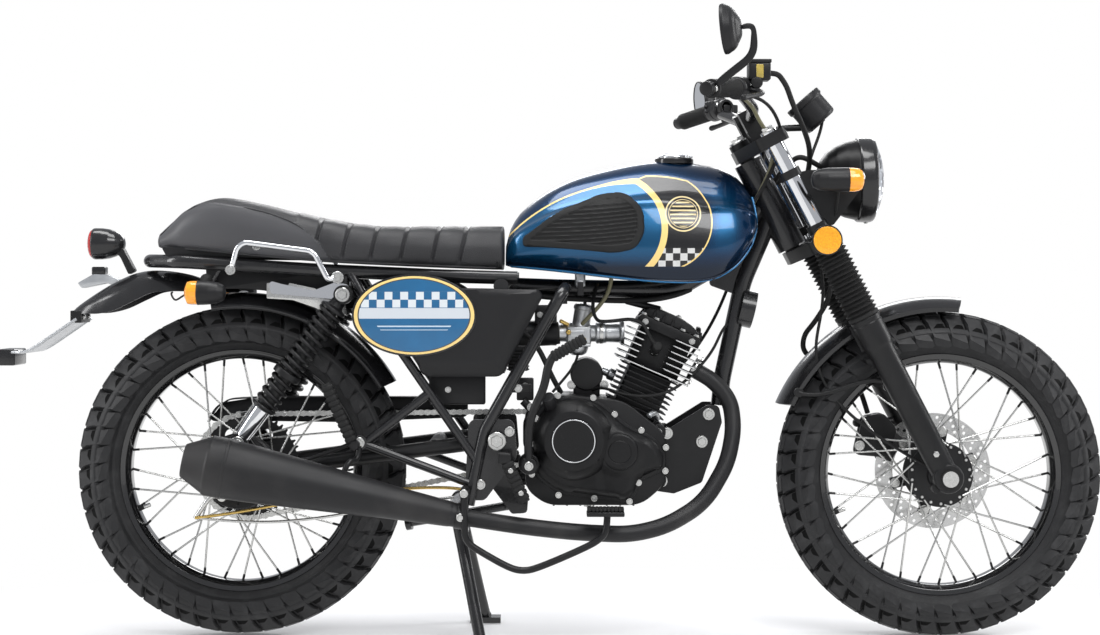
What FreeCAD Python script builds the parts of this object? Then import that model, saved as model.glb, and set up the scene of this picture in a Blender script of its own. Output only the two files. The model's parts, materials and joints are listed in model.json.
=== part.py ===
import FreeCAD, Part, Sketcher
import math
import os

from FreeCAD import Placement, Rotation, Vector

# Cafe racer motorcycle, in millimetres: +X forward, +Y to the rider's left, +Z up.
# The origin is on the floor below the middle of the machine.
# It stands on its centre stand, with the front tyre on the floor and the rear tyre just clear of it.

# ---------------------------------------------------------------------------
# Driving dimensions: name, value, what it is
# ---------------------------------------------------------------------------
DIMENSIONS = [
    ("front_axle_x", 745.0, "front axle, forward of the origin"),
    ("rear_axle_x", -587.7, "rear axle"),
    ("front_tyre_radius", 309.0, "front tyre, outside"),
    ("front_tyre_width", 108.0, "front tyre"),
    ("rear_tyre_radius", 312.0, "rear tyre, outside"),
    ("rear_tyre_width", 120.0, "rear tyre"),
    ("rear_tyre_lift", 5.0, "rear tyre above the floor on the centre stand"),
    ("rim_radius", 230.0, "rim flange, outside"),
    ("rim_bed_radius", 212.0, "rim, inside"),
    ("rim_width", 62.0, "rim, over the flanges"),
    ("hub_flange_radius", 62.0, "spoke flange of either hub"),
    ("hub_flange_y", 31.0, "spoke flange, from the middle of the wheel"),
    ("spoke_radius", 1.75, "wire spoke"),
    ("spoke_count", 36.0, "spokes in a wheel"),
    ("axle_radius", 10.0, "front and rear axle"),
    ("running_gap", 0.05, "shaft in its bore, on the radius"),
    ("moving_gap", 5.0, "moving piece past a fixed one"),
    ("rake", 27.3, "steering axis from upright, degrees"),
    ("trail", 103.7, "steering axis ahead of the front axle, on the floor"),
    ("fork_half_width", 95.0, "fork leg from the middle"),
    ("stanchion_radius", 16.5, "upper fork tube"),
    ("slider_radius", 25.0, "lower fork leg"),
    ("collar_radius", 29.0, "top collar of the lower leg"),
    ("slider_top", 659.0, "top of the lower leg, along the steering axis from the floor"),
    ("lower_yoke_at", 808.0, "underside of the lower yoke, along the axis"),
    ("upper_yoke_at", 1024.0, "underside of the upper yoke, along the axis"),
    ("yoke_thickness", 24.0, "either yoke"),
    ("head_tube_radius", 28.0, "head tube, outside"),
    ("stem_radius", 15.0, "steering stem"),
    ("backbone_radius", 17.0, "frame backbone tube"),
    ("down_tube_radius", 16.5, "frame down tube"),
    ("rail_radius", 12.5, "seat rail"),
    ("rail_half_width", 98.0, "seat rail from the middle"),
    ("side_tube_half_width", 130.0, "side tubes of the frame from the middle"),
    ("pivot_x", -97.0, "swingarm pivot"),
    ("pivot_z", 381.0, "swingarm pivot"),
    ("arm_half_width", 105.0, "swingarm arm from the middle"),
    ("arm_radius", 14.0, "swingarm arm"),
    ("shock_half_width", 128.0, "shock absorber from the middle"),
    ("shock_top_x", -383.0, "shock absorber, upper eye"),
    ("shock_top_z", 652.0, "shock absorber, upper eye"),
    ("spring_radius", 25.5, "shock absorber spring, outside"),
    ("chain_y", 76.0, "middle of the drive chain"),
    ("case_half_width", 96.0, "crankcase from the middle"),
    ("case_front_x", 218.0, "crankcase, front"),
    ("case_rear_x", -45.0, "crankcase, rear"),
    ("case_bottom_z", 257.0, "crankcase, bottom"),
    ("case_top_z", 466.0, "crankcase, top"),
    ("cylinder_lean", 23.3, "cylinder axis forward of upright, degrees"),
    ("header_radius", 15.5, "exhaust pipe"),
    ("silencer_radius", 51.0, "silencer at its widest"),
    ("silencer_y", -165.0, "silencer from the middle"),
    ("seat_half_width", 128.0, "seat at its widest"),
    ("tank_half_width", 132.0, "fuel tank at its widest"),
    ("cap_radius", 37.0, "fuel cap"),
    ("cover_y", 150.0, "side cover, outer face"),
    ("headlight_radius", 82.0, "headlight rim"),
    ("headlight_x", 603.0, "headlight rim"),
    ("headlight_z", 872.0, "headlight rim"),
    ("speedometer_radius", 37.5, "speedometer"),
    ("bar_radius", 11.0, "handlebar tube"),
    ("grip_radius", 17.0, "handlebar grip"),
    ("grip_end_y", 370.0, "outer end of a grip from the middle"),
    ("disc_radius", 112.0, "front brake disc"),
    ("disc_thickness", 4.0, "front brake disc"),
    ("disc_y", 56.0, "front brake disc, middle"),
    ("mudguard_radius", 336.0, "rear mudguard about the rear axle, inside"),
    ("fender_radius", 336.0, "front fender about the front axle, inside"),
    ("stand_pivot_x", -177.0, "centre stand pivot"),
    ("stand_pivot_z", 245.0, "centre stand pivot"),
    ("stand_foot_x", -125.0, "centre stand feet on the floor"),
    ("stand_foot_y", 150.0, "centre stand foot from the middle"),
]

doc = FreeCAD.newDocument("CafeRacer")
sheet = doc.addObject("Spreadsheet::Sheet", "Dims")
for row, (alias, value, note) in enumerate(DIMENSIONS, start=1):
    sheet.set(f"A{row}", alias)
    sheet.set(f"B{row}", str(value))
    sheet.setAlias(f"B{row}", alias)
    sheet.set(f"C{row}", note)
doc.recompute()


class Size(float):
    """A length that also knows the spreadsheet expression it came from."""

    def __new__(cls, value, text):
        size = super().__new__(cls, value)
        size.text = text
        return size

    def _join(self, other, value, sign, swap=False):
        left, right = text_of(self), text_of(other)
        if swap:
            left, right = right, left
        return Size(value, f"({left} {sign} {right})")

    def __add__(self, other):
        return self._join(other, float(self) + float(other), "+")

    def __radd__(self, other):
        return self._join(other, float(other) + float(self), "+", swap=True)

    def __sub__(self, other):
        return self._join(other, float(self) - float(other), "-")

    def __rsub__(self, other):
        return self._join(other, float(other) - float(self), "-", swap=True)

    def __mul__(self, other):
        return self._join(other, float(self) * float(other), "*")

    def __rmul__(self, other):
        return self._join(other, float(other) * float(self), "*", swap=True)

    def __truediv__(self, other):
        return self._join(other, float(self) / float(other), "/")

    def __neg__(self):
        return Size(-float(self), f"(0 - {self.text})")


def text_of(value):
    """The expression for a Size, or the number itself."""
    return value.text if isinstance(value, Size) else repr(float(value))


class Sizes:
    """Every driving dimension by name, read back from the spreadsheet."""


dims = Sizes()
for alias, _, _ in DIMENSIONS:
    setattr(dims, alias, Size(sheet.get(alias), f"Dims.{alias}"))

rake = math.radians(dims.rake)
front_axle_z = dims.front_tyre_radius
rear_axle_z = dims.rear_tyre_radius + dims.rear_tyre_lift
UP_HEAD = Vector(-math.sin(rake), 0, math.cos(rake))
FORWARD_HEAD = Vector(math.cos(rake), 0, math.sin(rake))
HEAD_FOOT = Vector(dims.front_axle_x + dims.trail, 0, 0)
HEAD = Placement(HEAD_FOOT, Rotation(Vector(0, 1, 0), -float(dims.rake)))
AXLE_FROM_FOOT = Vector(dims.front_axle_x, 0, front_axle_z) - HEAD_FOOT
axle_along = AXLE_FROM_FOOT.dot(UP_HEAD)
fork_offset = AXLE_FROM_FOOT.dot(FORWARD_HEAD)
NODES = []

# ---------------------------------------------------------------------------
# Makers
# ---------------------------------------------------------------------------
ALONG_X = Rotation(Vector(0, 1, 0), Vector(1, 0, 0))
ALONG_Z = Rotation(Vector(0, 1, 0), Vector(0, 0, 1))
NO_TURN = Rotation()


def bind(item, name, value):
    """Set a size of an object, tied to the spreadsheet where it comes from there."""
    setattr(item, name, float(value))
    if isinstance(value, Size):
        item.setExpression(name, value.text)


def head_place(forward=0.0, side=0.0, along=0.0, turn=NO_TURN):
    """A place on the steering assembly: ahead of the axis, to the left, and up along it."""
    return HEAD.multiply(Placement(Vector(forward, side, along), turn))


def head_point(forward, side, along):
    return HEAD.multVec(Vector(forward, side, along))


def outline_edges(outline):
    """Edges through (across, up) points; a third item marks the middle point of an arc."""
    points = [Vector(float(item[0]), float(item[1]), 0) for item in outline]
    edges = []
    count = len(outline)
    index = 0
    while index < count:
        after = (index + 1) % count
        if len(outline[after]) > 2:
            end = (index + 2) % count
            edges.append(Part.Arc(points[index], points[after], points[end]))
            index += 2
        else:
            edges.append(Part.LineSegment(points[index], points[after]))
            index += 1
    return edges


def rounded(corners, radius):
    """An outline with each corner of a polygon rounded by a tangent arc."""
    outline = []
    count = len(corners)
    for index, corner in enumerate(corners):
        here = Vector(float(corner[0]), float(corner[1]), 0)
        before = Vector(float(corners[index - 1][0]), float(corners[index - 1][1]), 0)
        after = Vector(float(corners[(index + 1) % count][0]), float(corners[(index + 1) % count][1]), 0)
        back = (before - here).normalize()
        ahead = (after - here).normalize()
        half = back.getAngle(ahead) / 2
        reach = min((before - here).Length, (after - here).Length) * 0.45
        step = min(radius / math.tan(half), reach)
        bend = step * math.tan(half)
        start, end = here + back * step, here + ahead * step
        middle = here + (back + ahead).normalize() * (bend / math.sin(half) - bend)
        outline += [(start.x, start.y), (middle.x, middle.y, "arc"), (end.x, end.y)]
    return outline


def sketch_on(body, plane_role, outline):
    """A closed sketch on one of a body's own origin planes, its corners tied to the spreadsheet."""
    plane = [item for item in body.Origin.OriginFeatures if item.Role == plane_role][0]
    sketch = body.newObject("Sketcher::SketchObject", "Outline")
    sketch.AttachmentSupport = (plane, [""])
    sketch.MapMode = "FlatFace"
    edges = outline_edges(outline)
    for edge in edges:
        sketch.addGeometry(edge, False)
    if len(edges) == len(outline):
        add = sketch.addConstraint
        for index in range(len(edges)):
            add(Sketcher.Constraint("Coincident", index, 2, (index + 1) % len(edges), 1))
        for index, (across, up) in enumerate(outline):
            for kind, value in (("DistanceX", across), ("DistanceY", up)):
                number = add(Sketcher.Constraint(kind, -1, 1, index, 1, float(value)))
                if isinstance(value, Size):
                    sketch.setExpression(f"Constraints[{number}]", value.text)
    return sketch


def lathe(name, outline, place=None, angle=360.0):
    """A turned piece about its own Y axis, from a closed (radius, along) outline."""
    body = doc.addObject("PartDesign::Body", name)
    sketch = sketch_on(body, "XY_Plane", outline)
    turned = body.newObject("PartDesign::Revolution", "Turned")
    turned.Profile = sketch
    turned.ReferenceAxis = (sketch, ["V_Axis"])
    turned.Angle = angle
    body.Placement = place or Placement()
    return body


def plate(name, outline, thickness, plane="XZ_Plane", place=None):
    """A flat piece, its thickness half each side of the plane."""
    body = doc.addObject("PartDesign::Body", name)
    sketch = sketch_on(body, plane, outline)
    pad = body.newObject("PartDesign::Pad", "Thickness")
    pad.Profile = sketch
    pad.SideType = "Symmetric"
    bind(pad, "Length", thickness)
    body.Placement = place or Placement()
    return body


def at_y(offset):
    return Placement(Vector(0, float(offset), 0), NO_TURN)


def rod(name, start, end, radius):
    """A round bar between two points."""
    start, end = Vector(start), Vector(end)
    bar = doc.addObject("Part::Cylinder", name)
    bind(bar, "Radius", radius)
    bar.Height = (end - start).Length
    bar.Placement = Placement(start, Rotation(Vector(0, 0, 1), end - start))
    return bar


def block(name, low, high):
    """A box between two corners."""
    box = doc.addObject("Part::Box", name)
    box.Length, box.Width, box.Height = [float(high[k]) - float(low[k]) for k in range(3)]
    box.Placement = Placement(Vector(*[float(value) for value in low]), NO_TURN)
    return box


def bent_path(points, bend=None):
    """Straight runs joined by tangent arcs, and the radius of the tightest one."""
    points = [Vector(*[float(value) for value in point]) for point in points]
    edges = []
    tightest = math.inf
    start = points[0]
    for index in range(1, len(points) - 1):
        here = points[index]
        back, ahead = points[index - 1] - here, points[index + 1] - here
        half_turn = (math.pi - back.getAngle(ahead)) / 2
        reach = min(back.Length, ahead.Length) * 0.45
        radius = reach / math.tan(half_turn)
        if bend:
            radius = min(bend, radius)
        step = radius * math.tan(half_turn)
        tightest = min(tightest, radius)
        enter, leave = here + back.normalize() * step, here + ahead.normalize() * step
        centre_side = (back + ahead).normalize()
        middle = here + centre_side * (radius / math.cos(half_turn) - radius)
        edges += [Part.makeLine(start, enter), Part.Arc(enter, middle, leave).toShape()]
        start = leave
    edges.append(Part.makeLine(start, points[-1]))
    return edges, tightest


def tube(name, points, radius, bend=None):
    """A bent tube: a circle swept along straight runs and arcs."""
    edges, _ = bent_path(points, bend)
    path = doc.addObject("Part::Feature", name + "_path")
    path.Shape = Part.Wire(edges)
    ring = doc.addObject("Part::Circle", name + "_ring")
    bind(ring, "Radius", radius)
    start = edges[0].valueAt(edges[0].FirstParameter)
    ring.Placement = Placement(start, Rotation(Vector(0, 0, 1), edges[0].tangentAt(edges[0].FirstParameter)))
    swept = doc.addObject("Part::Sweep", name)
    swept.Sections = [ring]
    swept.Spine = (path, [f"Edge{number}" for number in range(1, len(edges) + 1)])
    swept.Solid = True
    swept.Frenet = False
    return swept


def loft(name, wires, ruled=False):
    """A closed solid through wires."""
    sections = []
    for number, wire in enumerate(wires):
        section = doc.addObject("Part::Feature", f"{name}_section{number}")
        section.Shape = wire
        sections.append(section)
    solid = doc.addObject("Part::Loft", name)
    solid.Sections = sections
    solid.Solid = True
    solid.Ruled = ruled
    return solid


def fuse(name, items):
    joined = doc.addObject("Part::MultiFuse", name)
    joined.Shapes = items
    return joined


def fuse_in_turn(name, items):
    """The same union made one piece at a time, for many tubes that cross close together."""
    joined = items[0]
    for number, item in enumerate(items[1:], start=1):
        last = number == len(items) - 1
        step = doc.addObject("Part::Fuse", name if last else f"{name}_step{number}")
        step.Base = joined
        step.Tool = item
        joined = step
    return joined


def cut(name, base, tool):
    piece = doc.addObject("Part::Cut", name)
    piece.Base = base
    piece.Tool = tool
    return piece


def other_side(item):
    """The same piece mirrored to the other side of the machine."""
    twin = doc.addObject("Part::Mirroring", item.Name + "_twin")
    twin.Source = item
    twin.Normal = (0, 1, 0)
    return twin


def both_sides(name, item):
    pair = doc.addObject("Part::Compound", name)
    pair.Links = [item, other_side(item)]
    return pair


def node(name, item):
    """Name a finished sub-part; its label is its file's name."""
    item.Label = name
    NODES.append(item)
    return item


# ---------------------------------------------------------------------------
# Wheels
# ---------------------------------------------------------------------------
def tyre(name, place, radius, width):
    shoulder = width / 2
    bead = dims.rim_width / 2 - 6.0
    outline = [
        (dims.rim_bed_radius + 12.5, 0.3 - bead),
        (dims.rim_radius + 0.5, -bead - 1.7),
        (dims.rim_radius + 2.0, -dims.rim_width / 2 - 1.0),
        (dims.rim_radius + 28.0, -shoulder + 1.0),
        (radius - 32.0, -shoulder),
        (radius - 10.0, -width * 0.36, "arc"),
        (radius, 0.0),
        (radius - 10.0, width * 0.36, "arc"),
        (radius - 32.0, shoulder),
        (dims.rim_radius + 28.0, shoulder - 1.0),
        (dims.rim_radius + 2.0, dims.rim_width / 2 + 1.0),
        (dims.rim_radius + 0.5, bead + 1.7),
        (dims.rim_bed_radius + 12.5, bead - 0.3),
    ]
    return node(name, lathe(name, outline, place))


def rim(name, place):
    half = dims.rim_width / 2
    bed = dims.rim_bed_radius
    outline = [
        (bed, -14.0),
        (bed, 14.0),
        (bed + 8.0, half - 3.0),
        (dims.rim_radius, half),
        (dims.rim_radius, half - 4.0),
        (bed + 12.0, half - 6.0),
        (bed + 5.0, 12.0),
        (bed + 5.0, -12.0),
        (bed + 12.0, 6.0 - half),
        (dims.rim_radius, 4.0 - half),
        (dims.rim_radius, -half),
        (bed + 8.0, 3.0 - half),
    ]
    return node(name, lathe(name, outline, place))


def spokes(name, place):
    """Wire spokes laced from both flanges, half of them leaning each way."""
    count = int(dims.spoke_count)
    lean = math.radians(54)
    wires = []
    for number in range(count):
        side = 1 if number % 2 else -1
        way = 1 if number % 4 < 2 else -1
        rim_angle = 2 * math.pi * number / count
        hub_angle = rim_angle + way * lean
        hub_radius = dims.hub_flange_radius - 5.0
        hub_y = side * (dims.hub_flange_y + way * 4.0)
        rim_radius = dims.rim_bed_radius + 3.0
        start = Vector(hub_radius * math.cos(hub_angle), hub_y, hub_radius * math.sin(hub_angle))
        end = Vector(rim_radius * math.cos(rim_angle), side * 6.0, rim_radius * math.sin(rim_angle))
        wire = rod(f"{name}_{number}", place.multVec(start), place.multVec(end), dims.spoke_radius)
        wires.append(wire)
    laced = doc.addObject("Part::Compound", name)
    laced.Links = wires
    return node(name, laced)


def hub(name, place, right_y, left_y, drum_radius):
    """Hub shell: two spoke flanges, a barrel and a boss out to each side."""
    bore = dims.axle_radius + dims.running_gap
    flange = dims.hub_flange_radius
    flange_y = dims.hub_flange_y
    outline = [
        (bore, right_y),
        (drum_radius, right_y),
        (drum_radius, -flange_y - 2.0),
        (flange, -flange_y - 2.0),
        (flange, 2.0 - flange_y),
        (34.0, 14.0 - flange_y),
        (34.0, flange_y - 14.0),
        (flange, flange_y - 2.0),
        (flange, flange_y + 2.0),
        (38.0, flange_y + 2.0),
        (38.0, left_y),
        (bore, left_y),
    ]
    return node(name, lathe(name, outline, place))


front_wheel_place = Placement(Vector(dims.front_axle_x, 0, front_axle_z), NO_TURN)
rear_wheel_place = Placement(Vector(dims.rear_axle_x, 0, rear_axle_z), NO_TURN)

tyre("front_tyre", front_wheel_place, dims.front_tyre_radius, dims.front_tyre_width)
rim("front_rim", front_wheel_place)
spokes("front_spokes", front_wheel_place)
hub("front_hub", front_wheel_place, -52.0, dims.disc_y - dims.disc_thickness / 2, 38.0)
tyre("rear_tyre", rear_wheel_place, dims.rear_tyre_radius, dims.rear_tyre_width)
rim("rear_rim", rear_wheel_place)
spokes("rear_spokes", rear_wheel_place)
SPROCKET_HALF = 3.5
hub("rear_hub", rear_wheel_place, -58.0, dims.chain_y - SPROCKET_HALF, dims.hub_flange_radius + 10.0)

disc_outline = [
    (dims.axle_radius + dims.running_gap, dims.disc_y - dims.disc_thickness / 2),
    (dims.disc_radius, dims.disc_y - dims.disc_thickness / 2),
    (dims.disc_radius, dims.disc_y + dims.disc_thickness / 2),
    (dims.axle_radius + dims.running_gap, dims.disc_y + dims.disc_thickness / 2),
]
node("brake_disc", lathe("brake_disc", disc_outline, front_wheel_place))

SPROCKET_RADIUS = 92.0
sprocket_outline = [
    (dims.axle_radius + dims.running_gap, dims.chain_y - SPROCKET_HALF),
    (SPROCKET_RADIUS, dims.chain_y - SPROCKET_HALF),
    (SPROCKET_RADIUS, dims.chain_y + SPROCKET_HALF),
    (dims.axle_radius + dims.running_gap, dims.chain_y + SPROCKET_HALF),
]
node("rear_sprocket", lathe("rear_sprocket", sprocket_outline, rear_wheel_place))

# ---------------------------------------------------------------------------
# Fork and steering
# ---------------------------------------------------------------------------
half = dims.fork_half_width
stem_top = dims.upper_yoke_at + dims.yoke_thickness


def yoke(name, along):
    """A clamp plate across both fork legs and the steering stem."""
    corners = [(-20, -28), (fork_offset - 30, -half - 26), (fork_offset + 28, -half - 26)]
    corners += [(fork_offset + 28, -half + 24), (26, -30), (26, 30), (fork_offset + 28, half - 24)]
    corners += [(fork_offset + 28, half + 26), (fork_offset - 30, half + 26), (-20, 28)]
    place = head_place(0, 0, along + dims.yoke_thickness / 2)
    return plate(name, rounded(corners, 14.0), dims.yoke_thickness, "XY_Plane", place)


def along_axis(name, radius, forward, side, low, high):
    return rod(name, head_point(forward, side, low), head_point(forward, side, high), radius)


bar_forward, bar_along = 35.0, stem_top + 44.0
risers = []
for side in (-1, 1):
    riser = doc.addObject("Part::Box", "riser")
    riser.Length, riser.Width, riser.Height = 34, 26, bar_along - stem_top + 17
    riser.Placement = head_place(bar_forward - 17, side * 48 - 13, stem_top - 1)
    risers.append(riser)
stem = along_axis("stem", dims.stem_radius, 0, 0, dims.lower_yoke_at, stem_top)
stem_nut = along_axis("stem_nut", 20.0, 0, 0, stem_top - 1, stem_top + 12)
yoke_body = fuse("yoke_body", [yoke("lower_yoke", dims.lower_yoke_at),
                               yoke("upper_yoke", dims.upper_yoke_at), stem, stem_nut] + risers)
leg_holes = [along_axis("leg_hole", dims.stanchion_radius, fork_offset, side * half, 780,
                        1070) for side in (-1, 1)]
bar_hole = rod("bar_hole", head_point(bar_forward, -80, bar_along), head_point(bar_forward, 80, bar_along),
               dims.bar_radius)
node("fork_yokes", cut("fork_yokes", yoke_body, fuse("yoke_holes", leg_holes + [bar_hole])))

stanchion_low = axle_along + 90.0
stanchion_top = stem_top + 3.0
stanchion = along_axis("stanchion", dims.stanchion_radius, fork_offset, half, stanchion_low, stanchion_top)
node("fork_stanchions", both_sides("fork_stanchions", stanchion))

gaiter_low, gaiter_high = dims.slider_top + 0.5, dims.lower_yoke_at - 0.5
FOLDS = 9
fold = (gaiter_high - gaiter_low) / FOLDS
gaiter_outline = [(dims.stanchion_radius + 3, gaiter_low)]
for number in range(FOLDS):
    gaiter_outline.append((26.0, gaiter_low + number * fold))
    gaiter_outline.append((32.0, gaiter_low + (number + 0.5) * fold))
gaiter_outline += [(26.0, gaiter_high), (dims.stanchion_radius + 3, gaiter_high)]
gaiter = lathe("gaiter", gaiter_outline, head_place(fork_offset, half, 0, ALONG_Z))
node("fork_gaiters", both_sides("fork_gaiters", gaiter))

bore = dims.stanchion_radius + dims.running_gap
slider_outline = [(0.0, axle_along), (dims.slider_radius, axle_along),
                  (dims.slider_radius, dims.slider_top - 62),
                  (dims.collar_radius, dims.slider_top - 58), (dims.collar_radius, dims.slider_top),
                  (bore, dims.slider_top), (bore, stanchion_low - 2), (0.0, stanchion_low - 2)]
slider_leg = lathe("slider_leg", slider_outline, head_place(fork_offset, half, 0, ALONG_Z))
axle_lug = rod("axle_lug", Vector(dims.front_axle_x, half - 25, front_axle_z),
               Vector(dims.front_axle_x, half + 25, front_axle_z), 29.0)
axle_hole = rod("axle_hole", Vector(dims.front_axle_x, half - 40, front_axle_z),
                Vector(dims.front_axle_x, half + 40, front_axle_z), dims.axle_radius)
slider = cut("slider", fuse("slider_solid", [slider_leg, axle_lug]), axle_hole)
node("fork_sliders", both_sides("fork_sliders", slider))


def axle(name, place, half_length):
    """An axle with a nut at each end."""
    radius = dims.axle_radius
    outline = [(0.0, -half_length - 14.0), (15.0, -half_length - 14.0), (15.0, -half_length),
               (radius, -half_length), (radius, half_length), (15.0, half_length),
               (15.0, half_length + 14.0), (0.0, half_length + 14.0)]
    return node(name, lathe(name, outline, place))


axle("front_axle", front_wheel_place, half + 25.0)


def arch(name, inner, half_width, first_angle, last_angle, centre):
    """A mudguard: a thin crowned section turned about an axle, between two angles above the floor line."""
    skin = 3.0
    outline = [(inner - 26.0, -half_width), (inner - 4.0, -half_width * 0.72, "arc"), (inner, 0.0),
               (inner - 4.0, half_width * 0.72, "arc"), (inner - 26.0, half_width),
               (inner - 26.0 + skin, half_width + skin),
               (inner - 4.0 + skin, half_width * 0.72 + skin, "arc"),
               (inner + skin, 0.0),
               (inner - 4.0 + skin, -half_width * 0.72 - skin, "arc"),
               (inner - 26.0 + skin, -half_width - skin)]
    place = Placement(centre, Rotation(Vector(0, 1, 0), -last_angle))
    return lathe(name, outline, place, last_angle - first_angle)


FENDER_HALF = 57.0
fender = arch("fender_band", dims.fender_radius, FENDER_HALF, 82, 157, front_wheel_place.Base)
fender_items = [fender]
for side in (-1, 1):
    rear = front_wheel_place.Base + Vector(math.cos(math.radians(150)), 0, math.sin(math.radians(150))) \
        * (dims.fender_radius - 20)
    leg_low = head_point(fork_offset, 0, axle_along + 200)
    fender_items.append(rod("fender_stay", Vector(rear.x, side * 58, rear.z),
                            Vector(leg_low.x - 6, side * (half - 19), leg_low.z), 4.0))
    # A strap on the fender's side reaches the lug, which sits on the lower leg's collar wherever that ends.
    strap = front_wheel_place.Base + UP_HEAD * (dims.fender_radius - 14)
    lug = head_point(fork_offset, 0, dims.slider_top - 19)
    fender_items.append(rod("fender_strap", Vector(strap.x, side * (FENDER_HALF + 2.5), strap.z),
                            Vector(lug.x, side * (FENDER_HALF + 2.5), lug.z), 2.5))
    fender_items.append(rod("fender_lug", Vector(lug.x, side * (FENDER_HALF + 1), lug.z),
                            Vector(lug.x, side * (half - dims.collar_radius + 1), lug.z), 8.0))
node("front_fender", fuse("front_fender", fender_items))

bar_centre = head_point(bar_forward, 0, bar_along)
grip_inner = Vector(bar_centre.x - 42, 250, bar_centre.z + 38)
grip_outer = Vector(bar_centre.x - 98, dims.grip_end_y, bar_centre.z + 26)
grip_way = (grip_outer - grip_inner).normalize()
bar_points = [grip_outer, grip_inner, Vector(bar_centre.x - 2, 140, bar_centre.z + 10),
              Vector(bar_centre.x, 85, bar_centre.z), Vector(bar_centre.x, -85, bar_centre.z),
              Vector(bar_centre.x - 2, -140, bar_centre.z + 10), Vector(grip_inner.x, -250, grip_inner.z),
              Vector(grip_outer.x, -grip_outer.y, grip_outer.z)]
bar = tube("bar", bar_points, dims.bar_radius, 70)
bar_end = rod("bar_end", grip_outer, grip_outer + grip_way * 24, 8.5)
node("handlebar", fuse("handlebar", [bar, bar_end, other_side(bar_end)]))

grip_shell = rod("grip_shell", grip_inner + grip_way * 12, grip_outer + grip_way * 0.5, dims.grip_radius)
grip_bore = rod("grip_bore", grip_inner, grip_outer + grip_way * 20, dims.bar_radius)
node("grips", both_sides("grips", cut("grip", grip_shell, grip_bore)))


def on_bar(along, forward=0.0, up=0.0, side=1):
    """A point near the left grip's line (or the right one's), measured in from the grip's inner end."""
    point = grip_inner - grip_way * along
    return Vector(point.x + forward, side * point.y, point.z + up)


controls = []
for side in (-1, 1):
    box = rod("switch_box", on_bar(-10, side=side), on_bar(34, side=side), 21.0)
    lever = tube("lever", [on_bar(14, 16, -2, side), on_bar(-10, 52, -6, side), on_bar(-70, 62, -12, side),
                           on_bar(-125, 52, -16, side)], 6.0, 40)
    items = [box, lever]
    if side < 0:
        items.append(block("reservoir", (on_bar(30, 6, 8, side).x, -242, grip_inner.z + 14),
                           (on_bar(30, 50, 8, side).x, -196, grip_inner.z + 46)))
    else:
        items.append(block("clutch_perch", (on_bar(20, 4, -10, side).x, 222, grip_inner.z - 12),
                           (on_bar(20, 34, -10, side).x, 246, grip_inner.z + 10)))
    hole = rod("control_hole", on_bar(-30, side=side), on_bar(60, side=side), dims.bar_radius)
    controls.append(cut("control", fuse("control_solid", items), hole))
control_pair = doc.addObject("Part::Compound", "hand_controls")
control_pair.Links = controls
node("hand_controls", control_pair)

MIRROR_RADIUS = 44.0
mirror_outline = [(0.0, 0.0), (MIRROR_RADIUS, 0.0), (MIRROR_RADIUS, 6.0), (MIRROR_RADIUS - 14, 24.0),
                  (14.0, 33.0), (0.0, 33.0)]
mirror_items = []
right_ring = grip_outer + grip_way * 10.5
for side, head, turn in ((-1, Vector(313, -400, 1112), Rotation(Vector(0, 1, 0), Vector(0.97, -0.2, 0.1))),
                         (1, Vector(330, 404, 1056), Rotation(Vector(0, 1, 0), Vector(0.97, 0.2, 0.1)))):
    ring_centre = Vector(right_ring.x, side * right_ring.y, right_ring.z)
    way = Vector(grip_way.x, side * grip_way.y, grip_way.z)
    collar = rod("mirror_collar", ring_centre - way * 7, ring_centre + way * 7, 13.0)
    # The arm leans forward from the bar's end, turns upright and comes back to the bowl's knob.
    elbow = Vector(head.x + 42, side * (right_ring.y + 10), ring_centre.z + (head.z - ring_centre.z) * 0.56)
    arm = tube("mirror_arm", [ring_centre + way * 2 + Vector(4, 0, 2), elbow, head + Vector(42, 0, 8),
                              head + Vector(18, 0, 3)], 5.0, 8)
    bowl = lathe("mirror_bowl", mirror_outline, Placement(head + Vector(-14, 0, 0), turn))
    hole = rod("mirror_hole", ring_centre - way * 12, ring_centre + way * 30, 8.5)
    mirror_items.append(cut("mirror", fuse("mirror_solid", [collar, arm, bowl]), hole))
mirror_pair = doc.addObject("Part::Compound", "mirrors")
mirror_pair.Links = mirror_items
node("mirrors", mirror_pair)

rim_r = dims.headlight_radius
rim_x = dims.headlight_x
lamp_outline = [(0.0, rim_x - 92.0), (26.0, rim_x - 90.0), (rim_r - 22.0, rim_x - 62.0, "arc"),
                (rim_r - 5.0, rim_x - 18.0), (rim_r, rim_x - 8.0), (rim_r, rim_x + 12.0),
                (rim_r - 5.0, rim_x + 17.0), (rim_r * 0.6, rim_x + 32.0, "arc"), (4.0, rim_x + 37.0),
                (0.0, rim_x + 37.0)]
lamp_place = Placement(Vector(0, 0, dims.headlight_z), ALONG_X)
node("headlight", lathe("headlight", lamp_outline, lamp_place))

lamp_ear_y = rim_r + 4.0
ear_items = []
ear_bolt = Vector(rim_x - 26, 0, dims.headlight_z)
ear_low = head_point(fork_offset, 0, dims.lower_yoke_at + dims.yoke_thickness + 22)
ear_high = head_point(fork_offset, 0, dims.upper_yoke_at - 60)
ear = plate("ear_plate", rounded([(ear_low.x + 8, ear_low.z), (ear_low.x + 30, ear_low.z),
                                  (ear_bolt.x + 12, ear_bolt.z - 14),
                                  (ear_bolt.x + 12, ear_bolt.z + 14), (ear_high.x + 34, ear_high.z + 6),
                                  (ear_high.x + 8, ear_high.z)], 10.0), 4.0, place=at_y(half + 4))
ear_rings = [along_axis("ear_ring", dims.stanchion_radius + 4, fork_offset, half, low, low + 16)
             for low in (dims.lower_yoke_at + dims.yoke_thickness + 10, dims.upper_yoke_at - 70)]
ear_bolt_rod = rod("ear_bolt", Vector(ear_bolt.x, rim_r - 2, ear_bolt.z),
                   Vector(ear_bolt.x, half + 10, ear_bolt.z), 7.0)
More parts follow.
